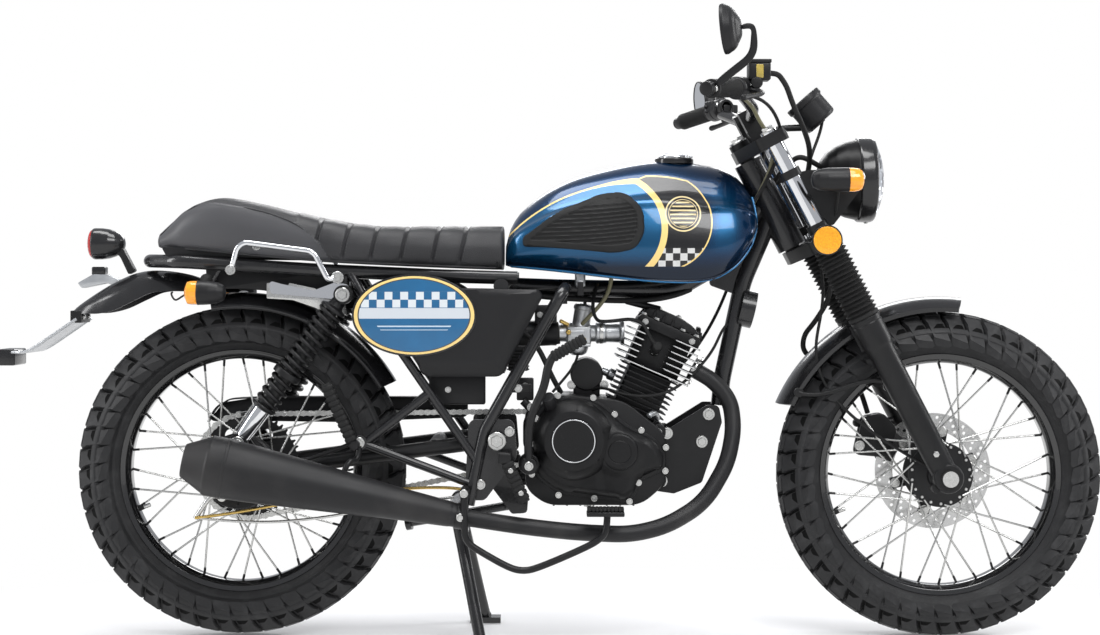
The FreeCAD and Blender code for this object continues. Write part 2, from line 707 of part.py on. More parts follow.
ear_hole = along_axis("ear_hole", dims.stanchion_radius, fork_offset, half, 800, 1060)
lamp_ear = cut("lamp_ear", fuse("lamp_ear_solid", [ear, ear_bolt_rod] + ear_rings), ear_hole)
node("headlight_ears", both_sides("headlight_ears", lamp_ear))

indicator_outline = [(0.0, 0.0), (14.0, 4.0), (22.0, 30.0), (23.0, 70.0), (23.0, 88.0), (14.0, 95.5, "arc"),
                     (3.0, 98.0), (0.0, 98.0)]
front_lamp = lathe("front_lamp", indicator_outline, Placement(Vector(482, 160, 864), ALONG_X))
front_stalk = rod("front_stalk", Vector(546, half + 5, 864), Vector(546, 145, 864), 6.0)
front_indicator = fuse("front_indicator", [front_lamp, front_stalk])

reflector_at = head_point(fork_offset, half + 33, dims.lower_yoke_at + 14)
reflector = fuse("reflector", [rod("reflector_disc", reflector_at, reflector_at + Vector(0, 9, 0), 28.5),
                               rod("reflector_stud", reflector_at - Vector(0, 7, 0), reflector_at, 8.0)])
front_lamps = doc.addObject("Part::Compound", "front_indicators")
front_lamps.Links = [front_indicator, other_side(front_indicator), reflector, other_side(reflector)]
node("front_indicators", front_lamps)

speedo_way = Rotation(Vector(0, 1, 0), Vector(-0.66, 0, 0.75))
speedo_r = dims.speedometer_radius
speedo_outline = [(0.0, 0.0), (speedo_r - 9, 0.0), (speedo_r - 3, 6.0), (speedo_r - 3, 44.0), (speedo_r, 46.0),
                  (speedo_r, 57.0), (0.0, 57.0)]
speedo = lathe("speedo_body", speedo_outline, Placement(Vector(522, 0, 983), speedo_way))
speedo_arm = tube("speedo_arm", [head_point(20, 0, stem_top - 6), head_point(75, 0, stem_top + 6),
                                 (505, 0, 972),
                                 (520, 0, 990)], 7.0, 20)
node("speedometer", fuse("speedometer", [speedo, speedo_arm]))

caliper_centre = Vector(dims.front_axle_x - 108, 0, front_axle_z + 62)
slot = dims.disc_thickness / 2 + dims.moving_gap
caliper_solid = plate("caliper_solid", rounded([(caliper_centre.x - 46, caliper_centre.z - 30),
                                                (caliper_centre.x + 22, caliper_centre.z - 36),
                                                (caliper_centre.x + 38, caliper_centre.z + 20),
                                                (caliper_centre.x + 10, caliper_centre.z + 52),
                                                (caliper_centre.x - 30, caliper_centre.z + 44)], 12.0),
                      38.0, place=at_y(dims.disc_y + 2))
caliper_slot = rod("caliper_slot", Vector(dims.front_axle_x, dims.disc_y - slot, front_axle_z),
                   Vector(dims.front_axle_x, dims.disc_y + slot, front_axle_z),
                   dims.disc_radius + dims.moving_gap)
caliper_arm = rod("caliper_arm", Vector(caliper_centre.x - 8, dims.disc_y + 14, caliper_centre.z + 30),
                  head_point(fork_offset - 22, half - 22, axle_along + 118), 9.0)
node("brake_caliper", cut("brake_caliper", fuse("caliper_body", [caliper_solid, caliper_arm]), caliper_slot))

HOSE_ROUTE = [(400, -215, 1055), (416, -214, 1053), (431, -206, 1034), (447, -181, 999), (471, -133, 963),
              (489, -84, 930), (495, -34, 897), (490, 12, 858), (502, 40, 812), (532, 50, 768), (547, 53, 722),
              (550, 57, 680), (543, 59, 640), (520, 61, 602), (496, 65, 572), (494, 69, 542), (520, 73, 522),
              (562, 82, 514), (592, 85, 494), (610, 79, 460), (620, 62, 421)]
hose = tube("brake_hose", HOSE_ROUTE, 5.0)
node("brake_hose", hose)

# ---------------------------------------------------------------------------
# Frame
# ---------------------------------------------------------------------------
HEAD_LOW, HEAD_HIGH = dims.lower_yoke_at + dims.yoke_thickness + 4, dims.upper_yoke_at - 4
head_tube = along_axis("head_tube", dims.head_tube_radius, 0, 0, HEAD_LOW, HEAD_HIGH)
head_bore = along_axis("head_bore", dims.stem_radius + dims.running_gap, 0, 0, HEAD_LOW - 20, HEAD_HIGH + 20)
CROSS_X, CROSS_Z = -90, 668
backbone = tube("backbone", [(402, 0, 818), (330, 0, 712), (240, 0, 660), (20, 0, 664),
                             (CROSS_X, 0, CROSS_Z)],
                dims.backbone_radius, 90)
down_tube = tube("down_tube", [(420, 0, 790), (371, 0, 676), (331, 0, 490), (326, 0, 440)],
                 dims.down_tube_radius, 200)
gusset = plate("gusset", rounded([(396, 800), (330, 700), (300, 672), (362, 650), (378, 690)], 8.0), 10.0)
cross_tube = rod("cross_tube", Vector(CROSS_X, -dims.side_tube_half_width, CROSS_Z),
                 Vector(CROSS_X, dims.side_tube_half_width, CROSS_Z), 14.0)
horn = rod("horn", Vector(366, 0, 628), Vector(392, 0, 622), 36.0)
horn_bracket = rod("horn_bracket", Vector(348, 0, 632), Vector(370, 0, 627), 9.0)
main_frame = cut("main_frame", fuse("main_frame_solid",
                                    [head_tube, backbone, down_tube, gusset, horn_bracket, horn]),
                 head_bore)
node("main_frame", main_frame)

side_y = dims.side_tube_half_width
rail_y = dims.rail_half_width
stand_bore = rod("stand_bore", Vector(dims.stand_pivot_x, -200, dims.stand_pivot_z),
                 Vector(dims.stand_pivot_x, 200, dims.stand_pivot_z), 10.0)
pivot_bore = rod("pivot_bore", Vector(dims.pivot_x, -200, dims.pivot_z),
                 Vector(dims.pivot_x, 200, dims.pivot_z), 9.0)
side_parts = [
    tube("front_side_tube", [(30, 14, 664), (30, side_y - 16, 664), (20, side_y, 650), (-121, side_y, 399),
                             (-150, side_y, 262)], 11.0, 60),
    tube("rear_side_tube", [(-371, rail_y + 4, 690), (-330, side_y, 620), (-270, side_y, 539),
                            (-134, side_y, 341)],
         8.5, 50),
    rod("peg_tube", Vector(-345, side_y, 375), Vector(-144, side_y, 300), 8.0),
    rod("peg_tube_upper", Vector(-345, side_y, 375), Vector(-222, side_y, 470), 8.0),
    rod("peg_boss", Vector(-352, side_y - 8, 378), Vector(-352, side_y + 12, 378), 14.0),
    cut("pivot_ear", plate("pivot_plate", rounded([(-150, 420), (-66, 420), (-60, 350), (-120, 270),
                                                   (-158, 270)], 14.0),
                           8.0, place=at_y(side_y - 5)), pivot_bore),
    cut("stand_ear", rod("stand_boss", Vector(dims.stand_pivot_x, side_y - 14, dims.stand_pivot_z),
                         Vector(dims.stand_pivot_x, side_y + 7, dims.stand_pivot_z), 18.5), stand_bore),
    rod("stand_link", Vector(dims.stand_pivot_x + 10, side_y - 3, dims.stand_pivot_z + 12),
        Vector(-148, side_y - 3, 280), 6.0),
]
half_rear = [
    rod("rail_front", Vector(CROSS_X, rail_y, CROSS_Z - 2), Vector(CROSS_X + 20, rail_y, CROSS_Z + 18), 10.0),
    rod("shock_mount", Vector(dims.shock_top_x, rail_y, dims.shock_top_z + 44),
        Vector(dims.shock_top_x, rail_y, dims.shock_top_z - 4), 9.0),
    rod("shock_stud", Vector(dims.shock_top_x, rail_y - 6, dims.shock_top_z),
        Vector(dims.shock_top_x, dims.shock_half_width + 16, dims.shock_top_z), 8.0),
] + side_parts
PROP_PIVOT = Vector(-60, 114, 236)
PROP_AXIS = Vector(0.0933, -0.9948, -0.0393).normalize()
PROP_PIN = 7.0


def on_prop(along):
    """A point on the side stand's hinge line."""
    return PROP_PIVOT + PROP_AXIS * along


prop_lug = [
    plate("prop_plate", rounded([(-116, 304), (-80, 304), (-42, 248), (-44, 222), (-74, 220), (-116, 276)],
                                8.0),
          6.0, place=at_y(100)),
    rod("prop_bridge", Vector(-100, 99, 288), Vector(-100, side_y - 6, 288), 9.0),
    rod("prop_pin", on_prop(16), on_prop(-12), PROP_PIN),
]
rail_left = [(-60, rail_y, 683), (-200, rail_y, 687), (-420, rail_y, 697), (-690, rail_y, 714),
             (-764, rail_y - 60, 716)]
rail_loop = tube("rail_loop", rail_left + [(x, -y, z) for x, y, z in reversed(rail_left)], dims.rail_radius,
                 70)
rear_frame = fuse_in_turn("rear_frame", [rail_loop,
                                         cross_tube] + half_rear + [other_side(item) for item in half_rear]
                          + prop_lug)
node("rear_frame", rear_frame)

engine_plate = plate("engine_plate", rounded([(212, 390), (297, 443), (320, 443), (326, 411), (288, 297),
                                              (235, 276), (194, 282)], 10.0), 6.0, place=at_y(60))
node("engine_plates", both_sides("engine_plates", engine_plate))

# Swingarm, its pivot bolt and the shock absorbers
arm_y = dims.arm_half_width
arm = tube("arm", [(dims.pivot_x, arm_y, dims.pivot_z), (dims.rear_axle_x, arm_y, rear_axle_z)],
           dims.arm_radius)
arm_end = plate("arm_end", rounded([(dims.rear_axle_x - 30, rear_axle_z - 16),
                                    (dims.rear_axle_x + 60, rear_axle_z - 12),
                                    (dims.rear_axle_x + 60, rear_axle_z + 22),
                                    (dims.rear_axle_x + 22, rear_axle_z + 76),
                                    (dims.rear_axle_x - 6, rear_axle_z + 76),
                                    (dims.rear_axle_x - 30, rear_axle_z + 16)],
                                   10.0), 12.0, place=at_y(arm_y + 4))
shock_low = Vector(dims.rear_axle_x + 10, 0, rear_axle_z + 60)
low_stud = rod("low_stud", Vector(shock_low.x, arm_y, shock_low.z),
               Vector(shock_low.x, dims.shock_half_width + 16, shock_low.z), 8.0)
half_arm = fuse("half_arm", [arm, arm_end, low_stud])
arm_cross = rod("arm_cross", Vector(-215, -arm_y, 366), Vector(-215, arm_y, 366), 15.0)
pivot_tube = rod("pivot_tube", Vector(dims.pivot_x, -arm_y - 12, dims.pivot_z),
                 Vector(dims.pivot_x, arm_y + 12, dims.pivot_z), 20.0)
pivot_bolt = rod("pivot_bolt", Vector(dims.pivot_x, -side_y - 12, dims.pivot_z),
                 Vector(dims.pivot_x, side_y + 12, dims.pivot_z), 9.0)
rear_axle_hole = rod("rear_axle_hole", Vector(dims.rear_axle_x, -200, rear_axle_z),
                     Vector(dims.rear_axle_x, 200, rear_axle_z), dims.axle_radius)
arms = fuse("arms", [half_arm, other_side(half_arm), arm_cross, pivot_tube, pivot_bolt])
node("swingarm", cut("swingarm", arms, rear_axle_hole))

shock_top = Vector(dims.shock_top_x, dims.shock_half_width, dims.shock_top_z)
shock_base = Vector(shock_low.x, dims.shock_half_width, shock_low.z)
shock_long = (shock_top - shock_base).Length
shock_turn = Rotation(Vector(0, 1, 0), shock_top - shock_base)
spring_r = dims.spring_radius
shock_outline = [(0.0, 8.0), (14.0, 8.0), (20.0, 78.0), (spring_r, 84.0), (spring_r, 150.0),
                 (spring_r + 2, 152.0),
                 (spring_r + 2, 160.0), (spring_r, 162.0), (spring_r, shock_long - 34),
                 (14.0, shock_long - 28),
                 (11.0, shock_long - 8), (0.0, shock_long - 8)]
shock_body = lathe("shock_body", shock_outline, Placement(shock_base, shock_turn))
eyes = [rod("eye", point - Vector(0, 12, 0), point + Vector(0, 12, 0), 18.0) for point in (shock_top,
                                                                                           shock_base)]
eye_holes = fuse("eye_holes", [rod("eye_hole", point - Vector(0, 30, 0), point + Vector(0, 30, 0), 8.0)
                               for point in (shock_top, shock_base)])
node("shock_absorbers", both_sides("shock_absorbers",
                                   cut("shock", fuse("shock_solid", [shock_body] + eyes), eye_holes)))

axle("rear_axle", rear_wheel_place, arm_y + 11.0)
panel_r = dims.hub_flange_radius + 8.0
panel_outline = [(dims.axle_radius, -82.0), (30.0, -82.0), (panel_r, -72.0), (panel_r, -63.0),
                 (dims.axle_radius, -63.0)]
panel = lathe("panel_disc", panel_outline, rear_wheel_place)
panel_lever = tube("panel_lever", [(-615, -76, 270), (-630, -90, 282), (-650, -92, 255), (-664, -92, 232)],
                   5.0, 8)
torque_arm = tube("torque_arm", [(dims.rear_axle_x + 30, -78, 270), (-500, -84, 262), (-420, -86, 290),
                                 (-390, -88, 300)], 5.0, 40)
node("rear_brake_panel", fuse("rear_brake_panel", [panel, panel_lever, torque_arm]))

# ---------------------------------------------------------------------------
# Engine, intake and exhaust
# ---------------------------------------------------------------------------
def chain_loop(name, outline_margin, width=14.0):
    """The stadium round both sprockets, outside or inside the chain."""
    rear_r, front_r = SPROCKET_RADIUS + outline_margin, 36.0 + outline_margin
    rear_c, front_c = Vector(dims.rear_axle_x, rear_axle_z, 0), Vector(4.0, 378.0, 0)
    way = front_c - rear_c
    tilt = math.atan2(way.y, way.x)
    spread = math.acos((rear_r - front_r) / way.Length)
    points = []
    for angle in (tilt + spread, tilt - spread):
        spoke = Vector(math.cos(angle), math.sin(angle), 0)
        points.append((rear_c + spoke * rear_r, front_c + spoke * front_r))
    rear_far = rear_c - Vector(math.cos(tilt), math.sin(tilt), 0) * rear_r
    front_far = front_c + Vector(math.cos(tilt), math.sin(tilt), 0) * front_r
    (rear_up, front_up), (rear_down, front_down) = points
    outline = [(rear_up.x, rear_up.y), (front_up.x, front_up.y), (front_far.x, front_far.y, "arc"),
               (front_down.x, front_down.y), (rear_down.x, rear_down.y), (rear_far.x, rear_far.y, "arc")]
    return plate(name, outline, width, place=at_y(dims.chain_y))


lean = math.radians(dims.cylinder_lean)
case_y = dims.case_half_width
case_corners = [(dims.case_rear_x, dims.case_bottom_z + 30), (dims.case_rear_x + 40, dims.case_bottom_z),
                (dims.case_front_x - 46, dims.case_bottom_z), (dims.case_front_x, dims.case_bottom_z + 40),
                (dims.case_front_x, 392), (140, dims.case_top_z - 12), (20, dims.case_top_z),
                (dims.case_rear_x, 430)]
case_block = plate("case_block", rounded(case_corners, 26.0), case_y * 2)
starter = rod("starter", Vector(71, -34, 500), Vector(71, 60, 500), 31.0)
case_neck = block("case_neck", (46, -30, 455), (96, 56, 485))
chain_way = cut("chain_way", chain_loop("way_outer", 18.0, 19.0), chain_loop("way_inner", 2.0, 19.0))
node("crankcase", cut("crankcase", fuse("case_solid", [case_block, starter, case_neck]), chain_way))

COVERS = [("clutch_cover", -1, 43, 380, 74, 36), ("crank_cover_right", -1, 140, 360, 62, 24),
          ("alternator_cover", 1, 128, 362, 80, 34), ("sprocket_cover", 1, 10, 378, 60, 26)]
cover_items = {-1: [], 1: []}
for label, side, x, z, radius, depth in COVERS:
    cover_outline = [(0.0, 0.5), (radius, 0.5), (radius, depth - 10.0), (radius - 10.0, depth), (0.0, depth)]
    turn = NO_TURN if side > 0 else Rotation(Vector(0, 0, 1), 180)
    cover_items[side].append(lathe(label, cover_outline, Placement(Vector(x, side * case_y, z), turn)))
engine_covers = doc.addObject("Part::Compound", "engine_covers")
engine_covers.Links = [fuse("right_covers", cover_items[-1]), fuse("left_covers", cover_items[1])]
node("engine_covers", engine_covers)

BARREL_FOOT = Vector(158, 0, 424)
barrel_turn = Rotation(Vector(0, 1, 0), float(dims.cylinder_lean))


def fin_block(name, low, high, length, width, fins, core):
    """A finned block about the leaning cylinder axis."""
    pitch = (high - low) / fins
    place = Placement(BARREL_FOOT, barrel_turn)
    items = []
    for number in range(fins):
        fin = doc.addObject("Part::Box", f"{name}_fin")
        fin.Length, fin.Width, fin.Height = length, width, 3.0
        fin.Placement = place.multiply(Placement(Vector(-length / 2, -width / 2, low + number * pitch),
                                                 NO_TURN))
        items.append(fin)
    middle = doc.addObject("Part::Box", f"{name}_core")
    middle.Length, middle.Width, middle.Height = core[0], core[1], high - low
    middle.Placement = place.multiply(Placement(Vector(-core[0] / 2, -core[1] / 2, low), NO_TURN))
    return fuse(name, items + [middle])


CYLINDER_TOP, HEAD_TOP, ROCKER_TOP = 89.0, 166.0, 206.0
cylinder_raw = fin_block("cylinder_raw", 12.0, CYLINDER_TOP, 118.0, 130.0, 7, (86.0, 100.0))
node("cylinder", cut("cylinder", cylinder_raw, plate("case_cut", rounded(case_corners, 26.0), case_y * 2)))
head_fins = fin_block("head_fins", CYLINDER_TOP + 0.5, HEAD_TOP, 148.0, 142.0, 5, (104.0, 116.0))
rocker = doc.addObject("Part::Box", "rocker")
rocker.Length, rocker.Width, rocker.Height = 132.0, 104.0, ROCKER_TOP - HEAD_TOP + 6
rocker.Placement = Placement(BARREL_FOOT, barrel_turn).multiply(Placement(Vector(-66, -52, HEAD_TOP - 6),
                                                                          NO_TURN))
node("cylinder_head", fuse("cylinder_head", [head_fins, rocker]))

barrel_place = Placement(BARREL_FOOT, barrel_turn)
intake_port = barrel_place.multVec(Vector(-74.5, 0, 136))
carb_end = Vector(14, 0, 578)
intake = rod("intake", intake_port, carb_end, 17.0)
carb_body = rod("carb_body", Vector(54, 0, 552), Vector(67, 0, 636), 20.0)
bowl = rod("carb_bowl", Vector(52, 0, 536), Vector(55, 0, 560), 22.0)
node("carburettor", fuse("carburettor", [intake, carb_body, bowl]))

PIPE_ROUTE = [(275.5, -30, 509), (312, -32, 488), (344, -38, 450), (349, -52, 398), (336, -72, 336),
              (290, -98, 262),
              (218, -124, 222), (150, -142, 208), (58, -154, 213), (-41, -160, 224), (-154, -165, 242)]
node("exhaust_pipe", tube("exhaust_pipe", PIPE_ROUTE, dims.header_radius))
silencer_start = Vector(-150.5, dims.silencer_y, 243.5)
silencer_turn = Rotation(Vector(0, 1, 0), Vector(-470, -27, 98))
wide = dims.silencer_radius
silencer_outline = [(0.0, 4.0), (20.5, 4.0), (22.0, 30.0), (wide - 16.0, 260.0), (wide, 450.0),
                    (wide, 482.0), (29.0, 530.0),
                    (0.0, 530.0)]
silencer_body = lathe("silencer_shell", silencer_outline, Placement(silencer_start, silencer_turn))
node("silencer", silencer_body)

# ---------------------------------------------------------------------------
# Tank, seat and covers
# ---------------------------------------------------------------------------
def tank_section(x, low, shoulder, top, foot_half, side_half, top_half):
    """A section across the tank: flat bottom, bulging sides and a crowned top."""
    middle = (low + shoulder) / 2
    foot_r, side_r, top_r = Vector(x, -foot_half, low), Vector(x, -side_half, middle), Vector(x, -top_half,
                                                                                              shoulder)
    foot_l, side_l, top_l = Vector(x, foot_half, low), Vector(x, side_half, middle), Vector(x, top_half,
                                                                                            shoulder)
    return Part.Wire([Part.Arc(foot_r, side_r, top_r).toShape(),
                      Part.Arc(top_r, Vector(x, 0, top), top_l).toShape(),
                      Part.Arc(top_l, side_l, foot_l).toShape(), Part.makeLine(foot_l, foot_r)])


tank_half = dims.tank_half_width
TANK_SECTIONS = [  # x, bottom, shoulder, top, half widths: foot, side, shoulder
    (-83, 709, 722, 730, 52, 60, 46),
    (-52, 704, 778, 808, 60, 84, 60),
    (20, 697, 816, 861, 84, 112, 80),
    (120, 684, 838, 895, 104, tank_half - 3, 92),
    (215, 674, 846, 909, 112, tank_half, 92),
    (300, 672, 836, 900, 108, tank_half - 4, 86),
    (345, 694, 832, 888, 96, 120, 80),
    (374, 730, 820, 862, 82, 104, 70),
    (392, 768, 806, 828, 64, 78, 54),
]
tank_solid = loft("tank_solid", [tank_section(*row) for row in TANK_SECTIONS])
tunnel = plate("tunnel", rounded([(-120, 640), (-120, 722), (230, 722), (330, 790), (460, 900), (460, 640)],
                                 30.0), 70.0)
head_clear = along_axis("head_clear", dims.head_tube_radius + 8, 0, 0, 760, 1080)
node("fuel_tank", cut("fuel_tank", tank_solid, fuse("tank_cuts", [tunnel, head_clear])))
cap_outline = [(0.0, 0.5), (dims.cap_radius - 6, 0.5), (dims.cap_radius, 8.0), (dims.cap_radius, 16.0),
               (dims.cap_radius - 8, 22.0), (0.0, 24.0)]
cap = lathe("cap", cap_outline, Placement(Vector(239, 0, 902), ALONG_Z))
node("fuel_cap", cut("fuel_cap", cap, loft("tank_under_cap", [tank_section(*row) for row in TANK_SECTIONS])))


def seat_section(x, low, top, half_width):
    """A section across the seat: flat bottom, rounded sides and top."""
    side = low + (top - low) * 0.55
    return Part.Wire([Part.Arc(Vector(x, -half_width + 16, low), Vector(x, -half_width, side),
                               Vector(x, -half_width + 34, top - 8)).toShape(),
                      Part.Arc(Vector(x, -half_width + 34, top - 8), Vector(x, 0, top),
                               Vector(x, half_width - 34, top - 8)).toShape(),
                      Part.Arc(Vector(x, half_width - 34, top - 8), Vector(x, half_width, side),
                               Vector(x, half_width - 16, low)).toShape(),
                      Part.makeLine(Vector(x, half_width - 16, low), Vector(x, -half_width + 16, low))])


seat_half = dims.seat_half_width
SEAT_SECTIONS = [(-90, 698.0, 783, seat_half - 42), (-190, 701.5, 783, seat_half - 14),
                 (-330, 707.5, 784, seat_half),
                 (-440, 713.5, 801, seat_half), (-552, 722.5, 828, seat_half - 8)]
node("seat", loft("seat", [seat_section(*row) for row in SEAT_SECTIONS]))
COWL_SECTIONS = [(-553, 722.5, 828, seat_half - 8), (-625, 729.5, 838, seat_half - 16),
                 (-690, 735.0, 814, seat_half - 34),
                 (-738, 739.0, 768, seat_half - 66)]
node("seat_cowl", loft("seat_cowl", [seat_section(*row) for row in COWL_SECTIONS]))

cover_y = dims.cover_y
cover_corners = [(-150, 664), (-18, 661), (-12, 650), (-88, 500), (-235, 500), (-252, 541), (-344, 600),
                 (-352, 652),
                 (-300, 664)]
side_cover = plate("side_cover", rounded(cover_corners, 16.0), 6.0, place=at_y(cover_y - 3))
AIR_CASE_Y = 104
cover_post = rod("cover_post", Vector(-150, AIR_CASE_Y, 580), Vector(-150, cover_y - 2, 580), 7.0)
node("side_covers", both_sides("side_covers", fuse("side_cover_solid", [side_cover, cover_post])))
air_case = block("air_case", (-226, -AIR_CASE_Y, 505), (-84, AIR_CASE_Y, 642))
air_mouth = rod("air_mouth", Vector(-90, 0, 578), carb_end + Vector(-0.5, 0, 0), 24.0)
node("air_box", fuse("air_box", [air_case, air_mouth]))

pad_outline = rounded([(-50, 746), (-48, 764), (98, 846), (140, 847), (180, 812), (176, 764), (158, 735),
                       (120, 728)], 16.0)
pad_plate = plate("pad_plate", pad_outline, 40.0, place=at_y(tank_half - 8))
pad = cut("pad", pad_plate, loft("tank_under_pad", [tank_section(*row) for row in TANK_SECTIONS]))
node("knee_pads", both_sides("knee_pads", pad))

# ---------------------------------------------------------------------------
# Tail, rails and guards
# ---------------------------------------------------------------------------
mudguard_band = arch("mudguard_band", dims.mudguard_radius, 66.0, 30, 100, rear_wheel_place.Base)
TAIL_TOP = [(-620, 690), (-748, 699), (-786, 697), (-853, 664), (-904, 628), (-911, 619)]
TAIL_UNDER = [(-863, 613), (-812, 619), (-765, 650), (-690, 658), (-600, 654)]
tail_shell = plate("tail_shell", rounded(TAIL_TOP + TAIL_UNDER, 8.0), 132.0)
node("rear_mudguard", fuse("rear_mudguard", [mudguard_band, tail_shell]))
PLATE_HOLE_Y = 55.0
bracket = plate("bracket_strip", [(-900, 598), (-988, 541), (-1018, 541), (-1018, 544), (-987, 544),
                                  (-900, 603)], 150.0)
bracket_tongue = block("bracket_tongue", (-912, -40, 598), (-890, 40, 622))
reflector_box = block("reflector_box", (-1053, -45, 517), (-1014, 45, 548))
plate_holes = [rod("plate_hole", Vector(-1001, side * PLATE_HOLE_Y, 530),
                   Vector(-1001, side * PLATE_HOLE_Y, 560), 3.0)
               for side in (-1, 1)]
node("plate_bracket", cut("plate_bracket", fuse("bracket_solid", [bracket, bracket_tongue, reflector_box]),
                          fuse("plate_holes", plate_holes)))
tail_lamp_outline = [(0.0, 0.0), (20.0, 6.0), (30.0, 40.0), (30.0, 62.0), (18.0, 69.0, "arc"), (3.0, 71.0),
                     (0.0, 71.0)]
tail_lamp = lathe("tail_lamp", tail_lamp_outline,
                  Placement(Vector(-814, 0, 749), Rotation(Vector(0, 1, 0), Vector(-1, 0, 0))))
tail_stalk = rod("tail_stalk", Vector(-806, 0, 690), Vector(-828, 0, 740), 9.0)
node("tail_light", fuse("tail_light", [tail_lamp, tail_stalk]))
rear_lamp = lathe("rear_lamp", [(0.0, 0.0), (12.0, 2.0), (21.0, 22.0), (22.5, 52.0), (22.5, 66.0),
                                (13.0, 73.5, "arc"), (3.0, 76.0),
                  (0.0, 76.0)],
                  Placement(Vector(-590, 200, 656), Rotation(Vector(0, 1, 0), Vector(-1, 0, 0))))
rear_stalk = rod("rear_stalk", Vector(-640, 112, 680), Vector(-634, 190, 658), 6.0)
node("rear_indicators", both_sides("rear_indicators", fuse("rear_indicator", [rear_lamp, rear_stalk])))
grab = tube("grab_rail", [(-590, rail_y + 14, 696), (-588, 148, 700), (-574, 150, 750), (-436, 150, 732),
                          (-408, 150, 678),
                          (-392, 142, 688)], 5.5, 22)
grab_plate = plate("grab_plate", rounded([(-525, 679), (-520, 654), (-430, 646), (-404, 644), (-377, 648),
                                          (-374, 670),
                                          (-398, 676), (-440, 660), (-500, 672)], 6.0), 4.0,
                                          place=at_y(rail_y + 10))
grab_eye = rod("grab_eye", Vector(-392, rail_y + 10, 684), Vector(-392, 146, 684), 9.0)
node("grab_rails", both_sides("grab_rails", fuse("grab", [grab, grab_plate, grab_eye])))
sprocket_x = dims.rear_axle_x
GUARD_FRONT_X, GUARD_TOP_Z = -160, 452
guard_top = [(sprocket_x - 80, 404), (sprocket_x - 52, 440), (sprocket_x + 28, GUARD_TOP_Z),
             (GUARD_FRONT_X, GUARD_TOP_Z)]
guard_under = [(GUARD_FRONT_X, 410), (-400, 400), (sprocket_x + 48, 402), (sprocket_x - 32, 398)]
guard_outer = plate("guard_outer", rounded(guard_top + guard_under, 14.0), 26.0, place=at_y(dims.chain_y + 3))
inner_top = [(x + 3, z - 3) for x, z in guard_top[:3]] + [(GUARD_FRONT_X + 10, GUARD_TOP_Z - 3)]
inner_under = [(GUARD_FRONT_X + 10, 380), (sprocket_x - 92, 380)]
guard_inner = plate("guard_inner", inner_top + inner_under, 26.0, place=at_y(dims.chain_y))
node("chain_guard", cut("chain_guard", guard_outer, guard_inner))
node("drive_chain", cut("drive_chain", chain_loop("chain_outer", 13.0), chain_loop("chain_inner", 5.5)))

peg = rod("peg", Vector(-82, -182, 352), Vector(-82, -138.5, 352), 11.0)
folded = rod("folded_peg", Vector(-82, -176, 352), Vector(-45, -176, 272), 12.0)
pillion = rod("pillion", Vector(-361, -156, 372), Vector(-414, -160, 490), 11.0)
pillion_stem = rod("pillion_stem", Vector(-357, -142.5, 376), Vector(-361, -164, 374), 9.0)
peg_right = fuse("peg_right", [peg, folded])
pillion_right = fuse("pillion_right", [pillion, pillion_stem])
pegs = doc.addObject("Part::Compound", "footpegs")
pegs.Links = [peg_right, other_side(peg_right), pillion_right, other_side(pillion_right)]
node("footpegs", pegs)

pedal = tube("pedal", [(-156, -199, 288), (-155, -199, 214), (-140, -199, 190), (-66, -199, 150), (-30, -198, 150),
                       (78, -193, 196), (104, -190, 216), (106, -186, 250)], 6.5, 16)
pedal_pivot = rod("pedal_pivot", Vector(-156, -206, 290), Vector(-156, -139, 290), 9.0)
pedal_pad = block("pedal_pad", (68, -206, 247), (137, -166, 264))
brake_pedal = fuse("brake_pedal", [pedal, pedal_pivot, pedal_pad])
gear_lever = tube("gear_arm", [(18, 136, 330), (60, 150, 300), (130, 156, 270), (150, 168, 272),
                               (152, 200, 274)], 6.0, 12)
kick_shaft = rod("kick_shaft", Vector(-38, -case_y - 0.5, 336), Vector(-38, -162, 336), 11.0)
kick_arm = tube("kick_arm", [(-38, -154, 336), (-40, -156, 392), (-30, -164, 436), (-8, -176, 480),
                             (-1, -182, 534), (12, -184, 541),
                             (64, -184, 571)], 8.0, 20)
kick = fuse("kick", [kick_shaft, kick_arm])
foot_controls = doc.addObject("Part::Compound", "foot_controls")
foot_controls.Links = [brake_pedal, gear_lever, kick]
node("foot_controls", foot_controls)

# ---------------------------------------------------------------------------
# Stands
# ---------------------------------------------------------------------------
pivot = Vector(dims.stand_pivot_x, 0, dims.stand_pivot_z)
foot_y = dims.stand_foot_y
stand_pin = rod("stand_pin", pivot + Vector(0, -side_y - 2, 0), pivot + Vector(0, side_y + 2, 0),
                10.0 - dims.running_gap)
stand_sleeve = rod("stand_sleeve", pivot + Vector(0, -side_y + 20, 0), pivot + Vector(0, side_y - 20, 0),
                   16.0)
foot_x = dims.stand_foot_x
stand_leg = tube("stand_leg", [(pivot.x, side_y - 50, pivot.z), (pivot.x + 14, side_y - 42, pivot.z - 66),
                               (foot_x - 3, foot_y - 4, 14), (foot_x, foot_y, 11)], 11.0, 100)
foot = block("stand_foot", (foot_x - 32, foot_y - 20, 0), (foot_x + 28, foot_y + 20, 11))
half_stand = fuse("half_stand", [stand_leg, foot])
stand_cross = rod("stand_cross", Vector(pivot.x + 11, -side_y + 46, pivot.z - 52),
                  Vector(pivot.x + 11, side_y - 46, pivot.z - 52), 9.0)
node("centre_stand", fuse("centre_stand", [half_stand, other_side(half_stand), stand_sleeve, stand_pin,
                                           stand_cross]))

